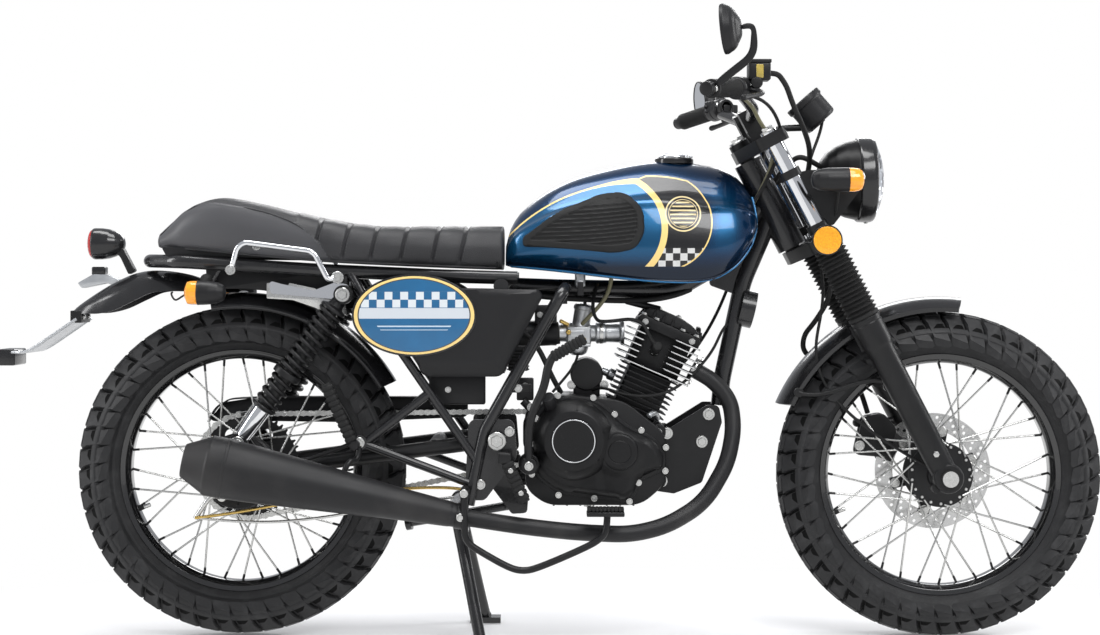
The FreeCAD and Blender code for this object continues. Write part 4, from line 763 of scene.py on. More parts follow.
def tube(name, points, radius, finish_name, resolution=6, order=3, sides=4, closed=False):
    """A round tube along a smooth path of control points."""
    curve = bpy.data.curves.new(name, "CURVE")
    curve.dimensions = "3D"
    curve.bevel_depth = radius
    curve.bevel_resolution = sides
    curve.use_fill_caps = not closed
    spline = curve.splines.new("NURBS")
    spline.points.add(len(points) - 1)
    for point, place in zip(spline.points, points):
        point.co = (*place, 1)
    spline.order_u = order
    spline.use_endpoint_u = not closed
    spline.use_cyclic_u = closed
    spline.resolution_u = resolution
    return to_object(name, curve_mesh(name, curve), finish_name, sharp=60)


def cutout(name, loops, low_y, high_y, *finishes, bevel=0.0008, place=None):
    """A flat piece from (x, z) loops, the first outside and the rest holes, between two y values."""
    curve = bpy.data.curves.new(name, "CURVE")
    curve.dimensions = "2D"
    curve.fill_mode = "BOTH"
    curve.extrude = abs(high_y - low_y) / 2 - bevel
    curve.bevel_depth = bevel
    curve.bevel_resolution = 1
    curve.offset = -bevel
    for loop in loops:
        spline = curve.splines.new("POLY")
        spline.points.add(len(loop) - 1)
        for point, (x, z) in zip(spline.points, loop):
            point.co = (x, z, 0, 1)
        spline.use_cyclic_u = True
    mesh = curve_mesh(name, curve)
    stand = place or Matrix.Translation((0, (low_y + high_y) / 2, 0)) @ Matrix.Rotation(QUARTER, 4, "X")
    mesh.transform(stand)
    work = bmesh.new()
    work.from_mesh(mesh)
    bmesh.ops.remove_doubles(work, verts=work.verts, dist=1e-6)
    bmesh.ops.recalc_face_normals(work, faces=work.faces)
    work.to_mesh(mesh)
    work.free()
    return to_object(name, mesh, *finishes)


def rounded_loop(corners, radius, steps=5):
    """A polygon in (x, z) with rounded corners, in metres."""
    return [tuple(point) for point in rounded_profile([Vector(c) for c in corners], radius, True, steps)]


def circle_loop(x, z, radius, steps=40):
    return [(x + radius * math.cos(angle), z + radius * math.sin(angle)) for angle in angles(steps)]


def metres(pairs):
    """Millimetre pairs or triples in metres."""
    return [tuple(value * MM for value in pair) for pair in pairs]


def slab(name, low, high, *finishes, bevel=0.002, turn=None, about=None):
    """A box with bevelled edges between two corners, turned about a point if asked."""
    (x0, y0, z0), (x1, y1, z1) = low, high
    verts = [Vector((x, y, z)) for x in (x0, x1) for y in (y0, y1) for z in (z0, z1)]
    if turn is not None:
        about = Vector(about)
        verts = [about + turn @ (vert - about) for vert in verts]
    faces = [(0, 1, 3, 2), (4, 6, 7, 5), (0, 4, 5, 1), (2, 3, 7, 6), (0, 2, 6, 4), (1, 5, 7, 3)]
    made = to_object(name, mesh_from(verts, faces), *finishes)
    return bevelled(made, bevel) if bevel else made


def rings_mesh(rings, caps=True):
    """A skin through rings of points that all have the same count."""
    count = len(rings[0])
    verts = [vert for ring in rings for vert in ring]
    faces = []
    for index in range(len(rings) - 1):
        for step in range(count):
            after = (step + 1) % count
            low, high = index * count, (index + 1) * count
            faces.append((low + step, low + after, high + after, high + step))
    if caps:
        faces.append(tuple(range(count)))
        faces.append(tuple(range((len(rings) - 1) * count, len(rings) * count)))
    return mesh_from(verts, faces)


def smoothed(made, levels=1):
    modifier = made.modifiers.new("Smooth", "SUBSURF")
    modifier.levels = levels
    modifier.render_levels = levels
    return applied(made)


def mirrored(made):
    """A copy of an object's mesh on the other side of the machine."""
    mesh = made.data.copy()
    mesh.transform(Matrix.Scale(-1, 4, (0, 1, 0)))
    mesh.flip_normals()
    twin = bpy.data.objects.new(made.name + "_left", mesh)
    bpy.context.scene.collection.objects.link(twin)
    return twin


def joined(name, items):
    """Several objects as one, keeping each one's materials."""
    items = [item for item in items if item]
    names = []
    for item in items:
        for material in item.data.materials:
            if material not in names:
                names.append(material)
    total = bmesh.new()
    for item in items:
        part = bmesh.new()
        part.from_mesh(item.data)
        order = [names.index(material) for material in item.data.materials]
        for face in part.faces:
            face.material_index = order[min(face.material_index, len(order) - 1)]
        holder = bpy.data.meshes.new("holder")
        part.to_mesh(holder)
        part.free()
        total.from_mesh(holder)
        bpy.data.meshes.remove(holder)
    mesh = bpy.data.meshes.new(name)
    total.to_mesh(mesh)
    total.free()
    for material in names:
        mesh.materials.append(material)
    made = bpy.data.objects.new(name, mesh)
    bpy.context.scene.collection.objects.link(made)
    for item in items:
        bpy.data.objects.remove(item)
    return made


def carry(made, body, slot, *nodes):
    """Hands a finished piece to its body and hides the nodes it stands for. The slot argument is not used."""
    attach(made, body)
    if nodes:
        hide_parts(*nodes)
    return made


def dress(node, *finishes):
    """A kept CAD node gets its finish."""
    set_finishes(frame["nodes"][node].data, finishes)


# ---------------------------------------------------------------------------
# Geometry Nodes
# ---------------------------------------------------------------------------
class Growth:
    """A geometry node tree with named inputs, and a short way to add nodes to it."""

    def __init__(self, name, **sockets):
        self.tree = bpy.data.node_groups.new(name, "GeometryNodeTree")
        self.tree.interface.new_socket("Geometry", in_out="INPUT", socket_type="NodeSocketGeometry")
        self.tree.interface.new_socket("Geometry", in_out="OUTPUT", socket_type="NodeSocketGeometry")
        for label, kind in sockets.items():
            self.tree.interface.new_socket(label, in_out="INPUT", socket_type="NodeSocket" + kind)
        self.source = self.tree.nodes.new("NodeGroupInput")
        self.sink = self.tree.nodes.new("NodeGroupOutput")

    def given(self, label):
        return self.source.outputs[label]

    def add(self, kind, settings=None, **inputs):
        made = new_node(self.tree, kind, settings)
        for name, value in inputs.items():
            socket = made.inputs[int(name[1:])] if name[0] == "i" and name[1:].isdigit() else made.inputs[
                name.replace("_", " ")]
            if isinstance(value, bpy.types.NodeSocket):
                self.tree.links.new(value, socket)
            else:
                socket.default_value = value
        return made

    def maths(self, operation, first, second):
        return self.add("ShaderNodeMath", {"operation": operation}, i0=first, i1=second).outputs[0]

    def close(self, instances):
        """Realizes the instances, sets the material and ends the tree."""
        real = self.add("GeometryNodeRealizeInstances", Geometry=instances)
        dressed = self.add("GeometryNodeSetMaterial", Geometry=real.outputs[0], Material=self.given("Finish"))
        self.tree.links.new(dressed.outputs[0], self.sink.inputs[0])
        return self.tree


def ring_growth():
    """Copies of a part round a wheel's axle: the part is turned about Y and keeps its place from the axle."""
    grow = Growth("ring of parts", Part="Object", Count="Int", Start="Float", Centre="Vector",
        Finish="Material")
    points = grow.add("GeometryNodePoints", Count=grow.given("Count"))
    index = grow.add("GeometryNodeInputIndex").outputs[0]
    share = grow.maths("DIVIDE", index, grow.given("Count"))
    angle = grow.maths("ADD", grow.maths("MULTIPLY", share, 2 * math.pi), grow.given("Start"))
    part = grow.add("GeometryNodeObjectInfo", Object=grow.given("Part"))
    turn = grow.add("ShaderNodeCombineXYZ", Y=angle)
    ring = grow.add("GeometryNodeInstanceOnPoints", Points=points.outputs[0],
        Instance=part.outputs["Geometry"], Rotation=turn.outputs[0])
    moved = grow.add("GeometryNodeTransform", Geometry=ring.outputs[0], Translation=grow.given("Centre"))
    return grow.close(moved.outputs[0])


def scatter_growth():
    """A copy of a part on every vertex of the carrier mesh, with Z along its "aim" and its own "size"."""
    grow = Growth("parts on points", Part="Object", Finish="Material")
    aim = grow.add("GeometryNodeInputNamedAttribute", {"data_type": "FLOAT_VECTOR"}, Name="aim")
    size = grow.add("GeometryNodeInputNamedAttribute", {"data_type": "FLOAT"}, Name="size")
    turn = grow.add("FunctionNodeAlignRotationToVector", {"axis": "Z"}, Vector=aim.outputs[0])
    part = grow.add("GeometryNodeObjectInfo", Object=grow.given("Part"))
    spread = grow.add("GeometryNodeInstanceOnPoints", Points=grow.given("Geometry"),
        Instance=part.outputs["Geometry"], Rotation=turn.outputs[0], Scale=size.outputs[0])
    return grow.close(spread.outputs[0])


def path_growth():
    """Copies of a part along the carrier's edges at an even pitch, X along the path and Y across it."""
    grow = Growth("parts on a path", Part="Object", Pitch="Float", Side="Vector", Finish="Material")
    curve = grow.add("GeometryNodeMeshToCurve", Mesh=grow.given("Geometry"))
    spaced = grow.add("GeometryNodeResampleCurve", {"mode": "LENGTH"}, Curve=curve.outputs[0],
        Length=grow.given("Pitch"))
    tangent = grow.add("GeometryNodeInputTangent").outputs[0]
    along = grow.add("FunctionNodeAlignRotationToVector", {"axis": "X"}, Vector=tangent)
    across = grow.add("FunctionNodeAlignRotationToVector", {"axis": "Y", "pivot_axis": "X"},
        Rotation=along.outputs[0], Vector=grow.given("Side"))
    part = grow.add("GeometryNodeObjectInfo", Object=grow.given("Part"))
    line = grow.add("GeometryNodeInstanceOnPoints", Points=spaced.outputs[0],
        Instance=part.outputs["Geometry"], Rotation=across.outputs[0])
    return grow.close(line.outputs[0])


GROWTHS = {}


def grown(name, growth, carrier=None, part=None, finish_name="zinc", sharp=38.0, keep_part=False, **values):
    """Runs a node tree and returns its result as a plain mesh object."""
    if growth not in GROWTHS:
        GROWTHS[growth] = growth()
    mesh = carrier or bpy.data.meshes.new("carrier")
    host = bpy.data.objects.new(name + "_host", mesh)
    bpy.context.scene.collection.objects.link(host)
    modifier = host.modifiers.new("Grow", "NODES")
    modifier.node_group = GROWTHS[growth]
    values.update({"Part": part, "Finish": finish(finish_name)})
    for item in GROWTHS[growth].interface.items_tree:
        if item.in_out == "INPUT" and item.name in values:
            modifier[item.identifier] = values[item.name]
    bpy.context.view_layer.update()
    result = plain_mesh(host)
    host.modifiers.clear()
    bpy.data.objects.remove(host)
    if part and not keep_part:
        bpy.data.objects.remove(part)
    return to_object(name, result, finish_name, sharp=sharp)


def carrier_mesh(places, aims=None, sizes=None, chain=False):
    """A mesh of loose vertices, or a chain of edges, that carries points for a node tree."""
    mesh = bpy.data.meshes.new("carrier")
    edges = [(index, index + 1) for index in range(len(places) - 1)] if chain else []
    mesh.from_pydata([tuple(place) for place in places], edges, [])
    if aims:
        data = mesh.attributes.new("aim", "FLOAT_VECTOR", "POINT").data
        for item, aim in zip(data, aims):
            item.vector = aim
        data = mesh.attributes.new("size", "FLOAT", "POINT").data
        for item, size in zip(data, sizes or [1.0] * len(places)):
            item.value = size
    return mesh


def bolt_part(radius=0.006, height=0.005, flange=0.0085):
    """A hexagon bolt head on its flange, standing along Z at the origin."""
    rings = []
    for size, z in ((flange, 0.0), (flange, 0.0012), (flange * 0.93, 0.0018)):
        rings.append([Vector((size * math.cos(2 * math.pi * k / 24), size * math.sin(2 * math.pi * k / 24),
            z)) for k in range(24)])
    hexes = []
    for scale, z in ((1.0, 0.0018), (1.0, height * 0.86), (0.93, height)):
        ring = []
        for k in range(24):
            angle = 2 * math.pi * k / 24
            corner = math.cos(math.pi / 6) / math.cos((angle + math.pi / 6) % (math.pi / 3) - math.pi / 6)
            ring.append(Vector((radius * scale * corner * math.cos(angle),
                radius * scale * corner * math.sin(angle), z)))
        hexes.append(ring)
    return to_object("bolt_part", rings_mesh(rings + hexes), "zinc", sharp=25)


def bolts(name, spots, finish_name="zinc", radius=0.006, height=0.005, flange=0.0085):
    """Bolt heads at (place, aim, size) spots."""
    carrier = carrier_mesh([spot[0] for spot in spots], [spot[1] for spot in spots],
        [spot[2] for spot in spots])
    part = bolt_part(radius, height, flange)
    return grown(name, scatter_growth, carrier, part, finish_name, sharp=25)


# ---------------------------------------------------------------------------
# Operators
# ---------------------------------------------------------------------------
OPERATORS = []


def piece_operator(label):
    """Registers a class as one of the motorcycle's build operators under a label."""
    def wrap(kind):
        kind.bl_label = label
        kind.bl_options = {"REGISTER", "UNDO"}
        OPERATORS.append(kind)
        return kind
    return wrap


@piece_operator("Stage, camera and lamps")
class MOTORCYCLE_OT_stage(bpy.types.Operator):
    """Sets the floor, the camera, the world and the lamps"""
    bl_idname = "motorcycle.stage"

    def execute(self, context):
        scene = context.scene
        stage = scene.motorcycle_stage
        scene.view_settings.view_transform = "Standard"
        camera = bpy.data.objects.new("camera", bpy.data.cameras.new("camera"))
        camera.data.sensor_width = SENSOR
        camera.data.lens = stage.lens
        camera.data.shift_y = CAMERA_SHIFT
        camera.location = (CAMERA_X, -stage.camera_distance, stage.camera_height)
        camera.rotation_euler = (QUARTER, 0, 0)
        scene.collection.objects.link(camera)
        scene.camera = camera

        floor_recipe = Recipe("studio floor", (0.86, 0.86, 0.87), 0.75, Emission_Color=(1, 1, 1, 1),
            Emission_Strength=0.10)
        white = floor_recipe.add("ShaderNodeEmission", inputs={"Color": (1, 1, 1, 1), "Strength": 1.0})
        path = floor_recipe.add("ShaderNodeLightPath")
        seen = {item.name: Wire(floor_recipe, item) for item in path.socket.node.outputs}
        lit = Wire(floor_recipe, floor_recipe.shader.outputs[0])
        x, y, _ = floor_recipe.axes()
        away = ((x * 0.62) * (x * 0.62) + y * y).root()
        # Under the machine the floor keeps its shadow; further out it is plain white.
        open_floor = seen["Is Camera Ray"] * away.blend(0.35, 0.95)
        mirrored_ray = seen["Is Glossy Ray"].most(seen["Is Transmission Ray"])
        mixed = floor_recipe.add("ShaderNodeMixShader", inputs={0: (mirrored_ray * 0.92).most(open_floor),
            1: lit, 2: white})
        output = floor_recipe.tree.nodes["Material Output"]
        floor_recipe.tree.links.new(mixed.socket, output.inputs["Surface"])
        mesh = bpy.data.meshes.new("floor")
        mesh.from_pydata([(-30, -12, 0), (30, -12, 0), (30, 30, 0), (-30, 30, 0)], [], [(0, 1, 2, 3)])
        mesh.materials.append(floor_recipe.material)
        floor = bpy.data.objects.new("floor", mesh)
        floor.location.z = -0.0005
        scene.collection.objects.link(floor)

        world = bpy.data.worlds.new("studio")
        scene.world = world
        world.use_nodes = True
        nodes, links = world.node_tree.nodes, world.node_tree.links
        sky = nodes["Background"]
        sky.inputs["Color"].default_value = (0.93, 0.95, 1.0, 1)
        sky.inputs["Strength"].default_value = 0.50
        backdrop = nodes.new("ShaderNodeBackground")
        backdrop.inputs["Color"].default_value = (1, 1, 1, 1)
        backdrop.inputs["Strength"].default_value = 1.0
        rays = nodes.new("ShaderNodeLightPath")
        either = nodes.new("ShaderNodeMath")
        either.operation = "MAXIMUM"
        links.new(rays.outputs["Is Camera Ray"], either.inputs[0])
        links.new(rays.outputs["Is Transmission Ray"], either.inputs[1])
        mixer = nodes.new("ShaderNodeMixShader")
        links.new(either.outputs[0], mixer.inputs[0])
        links.new(sky.outputs[0], mixer.inputs[1])
        links.new(backdrop.outputs[0], mixer.inputs[2])
        links.new(mixer.outputs[0], nodes["World Output"].inputs["Surface"])

        for name, place, size, power in (("key", (1.4, -3.0, 3.2), (2.4, 1.2), 84),
                ("top", (-0.3, -0.4, 3.6), (3.4, 0.9), 80), ("rim_front", (3.2, 0.6, 1.6), (0.5, 2.2), 38),
                ("rim_rear", (-3.2, -0.6, 1.5), (0.5, 2.2), 34), ("far_side", (0.5, 3.4, 2.4), (3.0, 1.2),
                64)):
            lamp = bpy.data.lights.new(name, "AREA")
            lamp.shape = "RECTANGLE"
            lamp.size, lamp.size_y = size
            lamp.energy = power
            holder = bpy.data.objects.new(name, lamp)
            holder.location = place
            aim = Vector((0, 0, 0.55)) - Vector(place)
            holder.rotation_euler = aim.to_track_quat("-Z", "Y").to_euler()
            scene.collection.objects.link(holder)
        return {"FINISHED"}


# ---------------------------------------------------------------------------
# Wheels
# ---------------------------------------------------------------------------
def crown(across, radius, width):
    """Radius of the tread at a distance from the tyre's middle plane."""
    half = width / 2
    t = min(1.0, abs(across) / half)
    return radius - 0.031 * t ** 2.6


def tread_pitch(radius, width, pitches, depth):
    """One pitch of blocks, centred at the top of the wheel: two middle rows and slanting shoulder lugs."""
    half = width / 2
    turn = 2 * math.pi / pitches
    # Corners are (share of the pitch, share of the half width, extra drop down the sidewall in metres).
    middle = [(-0.42, 0.03, 0), (0.34, 0.03, 0), (0.50, 0.18, 0), (0.40, 0.26, 0), (-0.30, 0.26, 0),
        (-0.48, 0.12, 0)]
    second = [(-0.40, 0.31, 0), (0.38, 0.31, 0), (0.52, 0.50, 0), (-0.26, 0.50, 0)]
    lug_foot = [(-0.44, 0.55, 0), (0.42, 0.55, 0), (0.62, 0.84, 0), (0.88, 1.0, 0.013), (1.02, 1.0, 0.0235),
        (0.86, 1.0, 0.0275), (0.10, 1.0, 0.0235), (-0.02, 1.0, 0.012), (-0.24, 0.84, 0)]
    lug_face = [(-0.41, 0.56, 0), (0.39, 0.56, 0), (0.58, 0.84, 0), (0.82, 1.0, 0.011), (0.93, 1.0, 0.0185),
        (0.88, 1.0, 0.0190), (0.08, 1.0, 0.0120), (0.00, 1.0, 0.010), (-0.20, 0.84, 0)]
    blocks = []
    for side, shift in ((1, 0.0), (-1, 0.5)):
        for foot, face in ((middle, None), (second, None), (lug_foot, lug_face)):
            rows = []
            for outline in (foot, face or foot):
                rows.append([Vector((share + shift, side * row * half, drop)) for share, row,
                    drop in outline])
            blocks.append((rows[0], rows[1], 0.90 if face is None else 1.0))
    verts, faces = [], []
    for foot, face, shrink in blocks:
        count = len(foot)
        base = len(verts)
        for line, lift, spread in ((foot, -0.003, 1.0), (face, depth * 0.84, (1 + shrink * 3) / 4),
                (face, depth, shrink * 0.985)):
            centre = sum(line, Vector()) / count
            for corner in line:
                share = centre.x + (corner.x - centre.x) * spread
                reach = centre.y + (corner.y - centre.y) * spread
                place = crown(reach, radius - depth, width) - corner.z
                on_side = min(1.0, max(0.0, (abs(reach) / half - 0.86) * 7))
                out = lift * (1 - on_side * 0.65)
                sideways = math.copysign(lift * 0.42 * on_side, reach)
                angle = share * turn
                verts.append(Vector(((place + out) * math.sin(angle), reach + sideways,
                    (place + out) * math.cos(angle))))
        for level in range(2):
            for step in range(count):
                after = (step + 1) % count
                low, high = base + level * count, base + (level + 1) * count
                faces.append((low + step, low + after, high + after, high + step))
        faces.append(tuple(base + 2 * count + step for step in range(count)))
        faces.append(tuple(base + step for step in range(count)))
    return to_object("tread_part", mesh_from(verts, faces), "tyre", sharp=24)


def build_tyre(which, centre, radius, width, pitches, depth):
    """Carcass with moulded sidewall ribs, and the blocks of its tread."""
    half = width / 2
    carcass = radius - depth
    profile = [(0.2245, 0.0252), (0.2305, 0.0297), (0.2325, 0.0318), (0.2395, 0.0372), (0.2420, 0.0384),
        (0.2440, 0.0398), (0.2480, half - 0.0125), (0.2620, half - 0.0050)]
    for t in (0.45, 0.62, 0.8, 1.0):
        profile.append((0.2620 + (carcass - 0.031 - 0.2620) * t,
            half - 0.0050 + 0.0042 * math.sin(t * QUARTER)))
    crown_points = [(crown(half * t, carcass, width), half * t) for t in (0.96, 0.88, 0.78, 0.66, 0.52, 0.36,
        0.18, 0.0)]
    side = profile + crown_points
    whole = side + [(r, -y) for r, y in reversed(side[:-1])] + [(0.2245, 0.0)]
    outline = [(r, -y) for r, y in whole]
    body = turned(f"{which}_carcass", outline, centre, (0, 1, 0), "tyre", soft=0.0007, segments=160,
        closed=True, sharp=50)
    # The carcass faces round the tread get the darker groove finish: painted shade between the tread blocks.
    body.data.materials.append(finish("groove"))
    for face in body.data.polygons:
        out = face.center - centre
        if abs(out.y) < half * 0.99 and math.hypot(out.x, out.z) > carcass - 0.024:
            face.material_index = 1
    blocks = grown(f"{which}_blocks", ring_growth, part=tread_pitch(radius, width, pitches, depth),
        finish_name="tyre", sharp=30, Count=pitches, Start=0.0, Centre=centre)
    return joined(f"{which}_tyre_visual", [body, blocks])


def spoke_part(hub_y, hub_r, rim_y, rim_r, swing, radius):
    """One laced spoke with its head through the flange; the rim end is at the top of the wheel."""
    hub_point = Vector((hub_r * math.sin(swing), hub_y, hub_r * math.cos(swing)))
    rim_point = Vector((0, rim_y, rim_r))
    outward = math.copysign(1, hub_y - rim_y)
    head = hub_point - Vector((0, outward * 0.006, 0))
    neck = hub_point + Vector((0, outward * 0.001, 0))
    verts, faces = [], []
    path = [head, neck, rim_point]
    count = 6
    for index, point in enumerate(path):
        way = (path[min(index + 1, 2)] - path[max(index - 1, 0)]).normalized()
        side = way.cross(Vector((0, 1, 0)))
        side = side.normalized() if side.length > 0.01 else Vector((1, 0, 0))
        up = way.cross(side).normalized()
        for step in range(count):
            angle = 2 * math.pi * step / count
            verts.append(point + (side * math.cos(angle) + up * math.sin(angle)) * radius)
    for index in range(2):
        for step in range(count):
            after = (step + 1) % count
            faces.append((index * count + step, index * count + after, (index + 1) * count + after,
                (index + 1) * count + step))
    faces += [tuple(range(count)), tuple(range(2 * count, 3 * count))]
    return to_object("spoke_part", mesh_from(verts, faces), "zinc", sharp=60)


def nipple_part(rim_y, rim_r, way):
    """A black spoke nipple standing in from the rim's bed."""
    start = Vector((0, rim_y, rim_r))
    profile = [(0.0028, -0.003), (0.0028, 0.002), (0.0024, 0.003), (0.0024, 0.0125), (0.0018, 0.014)]
    made = turned("nipple_part", profile, start, way, "powder", soft=0, segments=8)
    return made


def build_wheel(which, centre, wheel, spoke_radius):
    """Rim, spokes and nipples of one wheel."""
    half = 0.031
    bed = 0.212
    outline = [(bed + 0.0006, -0.014), (bed, -0.009), (bed, 0.009), (bed + 0.0006, 0.014),
        (bed + 0.008, half - 0.003), (0.2265, half - 0.0012), (0.2300, half), (0.2300, half - 0.0035),
        (0.2240, half - 0.0060), (bed + 0.012, half - 0.006), (bed + 0.005, 0.012), (bed + 0.005, -0.012),
        (bed + 0.012, 0.006 - half), (0.2240, 0.0060 - half), (0.2300, 0.0035 - half), (0.2300, -half),
        (0.2265, 0.0012 - half), (bed + 0.008, 0.003 - half)]
    rim = turned(f"{which}_rim_visual", outline, centre, (0, 1, 0), "rim", soft=0.0012, segments=160,
        closed=True)
    carry(rim, wheel, "black_rim", f"{which}_rim")
    wires, nipples = [], []
    lean = math.radians(54)
    groups = ((-1, 1, 0), (1, 1, 1), (-1, -1, 2), (1, -1, 3))
    for side, way, number in groups:
        start = 2 * math.pi * number / 36
        hub_y = side * (0.031 + way * 0.004)
        spoke = spoke_part(hub_y, 0.057, side * 0.006, 0.2140, way * lean, spoke_radius)
        wires.append(grown(f"{which}_spokes_{number}", ring_growth, part=spoke, finish_name="zinc", sharp=60,
            Count=9, Start=start, Centre=centre))
        hub_point = Vector((0.057 * math.sin(way * lean), hub_y, 0.057 * math.cos(way * lean)))
        aim = (hub_point - Vector((0, side * 0.006, 0.214))).normalized()
        nipples.append(grown(f"{which}_nipples_{number}", ring_growth,
            part=nipple_part(side * 0.006, 0.214, aim), finish_name="powder", Count=9, Start=start,
            Centre=centre))
    laced = joined(f"{which}_spokes_visual", wires)
    carry(laced, wheel, "steel", f"{which}_spokes")
    carry(joined(f"{which}_nipples", nipples), wheel, "black_rim")
    valve_at = centre + Vector((-0.196, 0, -0.075))
    way = (centre - valve_at).normalized()
    valve = joined(f"{which}_valve", [
        turned("valve_rubber", [(0.0, -0.012), (0.0055, -0.012), (0.004, 0.008), (0.0, 0.008)], valve_at, way,
            "rubber", soft=0.0005, segments=20),
        turned("valve_cap", [(0.0, 0.006), (0.0042, 0.006), (0.0042, 0.019), (0.0, 0.020)], valve_at, way,
            "zinc", soft=0.0005, segments=20)
    ])
    carry(valve, wheel, "rubber")


def build_hub(which, centre, wheel, right_y, left_y, drum, barrel_finish="powder"):
    """Hub shell with stepped flanges, and cooling steps on a drum."""
    flange, flange_y = 0.062, 0.031
    outline = [(0.0101, right_y), (0.019, right_y), (0.020, right_y + 0.003)]
    if drum > 0.05:
        outline += [(drum - 0.010, right_y + 0.001), (drum, right_y + 0.006), (drum, right_y + 0.012),
            (drum - 0.002, right_y + 0.013), (drum - 0.002, right_y + 0.017), (drum, right_y + 0.018),
            (drum, -flange_y - 0.0022)]
    else:
        outline += [(0.026, right_y + 0.004), (0.028, -flange_y - 0.006), (0.050, -flange_y - 0.0022)]
    outline += [(flange, -flange_y - 0.002), (flange, 0.002 - flange_y), (0.046, 0.004 - flange_y),
        (0.036, 0.014 - flange_y), (0.034, 0.022 - flange_y), (0.034, flange_y - 0.022),
        (0.036, flange_y - 0.014), (0.046, flange_y - 0.004), (flange, flange_y - 0.002),
        (flange, flange_y + 0.002), (0.046, flange_y + 0.0025), (0.038, flange_y + 0.005), (0.038, left_y),
        (0.0101, left_y)]
    outline = [(r, -y) for r, y in reversed([(r, y) for r, y in outline])]
    outline = [(r, -y) for r, y in outline]
    body = turned(f"{which}_hub_visual", outline, centre, (0, 1, 0), barrel_finish, soft=0.0015, segments=96,
        closed=True)
    carry(body, wheel, "black_alloy", f"{which}_hub")


@piece_operator("Tyres")
class MOTORCYCLE_OT_tyres(bpy.types.Operator):
    """Carcasses and block treads of both tyres"""
    bl_idname = "motorcycle.tyres"

    def execute(self, context):
        wheels = context.scene.motorcycle_wheels
        front = build_tyre("front", FRONT_AXLE, FRONT_TYRE_R, FRONT_TYRE_W, wheels.front_pitches,
            wheels.tread_depth)
        rear = build_tyre("rear", REAR_AXLE, REAR_TYRE_R, REAR_TYRE_W, wheels.rear_pitches,
            wheels.tread_depth)
        carry(front, "front_wheel", "tyre", "front_tyre")
        carry(rear, "rear_wheel", "tyre", "rear_tyre")
        return {"FINISHED"}


@piece_operator("Rims, spokes and hubs")
class MOTORCYCLE_OT_wheels(bpy.types.Operator):
    """Rims, laced spokes, nipples, valves and hubs"""
    bl_idname = "motorcycle.wheels"

    def execute(self, context):
        radius = context.scene.motorcycle_wheels.spoke_radius
        build_wheel("front", FRONT_AXLE, "front_wheel", radius)
        build_wheel("rear", REAR_AXLE, "rear_wheel", radius)
        build_hub("front", FRONT_AXLE, "front_wheel", -0.052, 0.054, 0.038)
        build_hub("rear", REAR_AXLE, "rear_wheel", -0.058, 0.0725, 0.072)
        for centre, wheel, name in ((FRONT_AXLE, "front_wheel", "front"), (REAR_AXLE, "rear_wheel", "rear")):
            spots = []
            for angle in angles(18, 0.5):
                for side in (-1, 1):
                    if name == "rear" and side < 0:
                        continue
                    place = centre + round_way(angle) * 0.0555 + Vector((0, side * 0.0331, 0))
                    spots.append((place, (0, side, 0), 0.62))
            heads = bolts(f"{name}_spoke_heads", spots, radius=0.004, height=0.0035, flange=0.0046)
            carry(heads, wheel, "steel")
        for name in ("front", "rear"):
            dress(f"{name}_axle", "zinc")
        return {"FINISHED"}


def disc_growth():
    """A flat ring of sheet with rows of holes, in its own XY plane."""
    grow = Growth("drilled ring", Outer="Float", Inner="Float", Hole="Float", Count="Int", Finish="Material")
    loops = []
    for label, points in (("Outer", 160), ("Inner", 96)):
        loops.append(grow.add("GeometryNodeCurvePrimitiveCircle", Resolution=points,
            Radius=grow.given(label)))
    span = grow.maths("SUBTRACT", grow.given("Outer"), grow.given("Inner"))
    hole = grow.add("GeometryNodeCurvePrimitiveCircle", Resolution=14, Radius=grow.given("Hole"))
    rows = []
    for share, offset in ((0.24, 0.0), (0.50, 0.33), (0.76, 0.66)):
        distance = grow.maths("ADD", grow.given("Inner"), grow.maths("MULTIPLY", span, share))
        points = grow.add("GeometryNodePoints", Count=grow.given("Count"))
        index = grow.add("GeometryNodeInputIndex").outputs[0]
        shifted = grow.maths("ADD", index, offset)
        angle = grow.maths("MULTIPLY", grow.maths("DIVIDE", shifted, grow.given("Count")), 2 * math.pi)
        place = grow.add("ShaderNodeCombineXYZ", X=grow.maths("MULTIPLY", distance,
            grow.maths("COSINE", angle, 0.0)), Y=grow.maths("MULTIPLY", distance,
            grow.maths("SINE", angle, 0.0)))
        placed = grow.add("GeometryNodeSetPosition", Geometry=points.outputs[0], Position=place.outputs[0])
        rows.append(grow.add("GeometryNodeInstanceOnPoints", Points=placed.outputs[0],
            Instance=hole.outputs[0]))
    join = grow.add("GeometryNodeJoinGeometry")
    for item in loops + rows:
        grow.tree.links.new(item.outputs[0], join.inputs[0])
    real = grow.add("GeometryNodeRealizeInstances", Geometry=join.outputs[0])
    sheet = grow.add("GeometryNodeFillCurve", Curve=real.outputs[0])
    return grow.close(sheet.outputs[0])


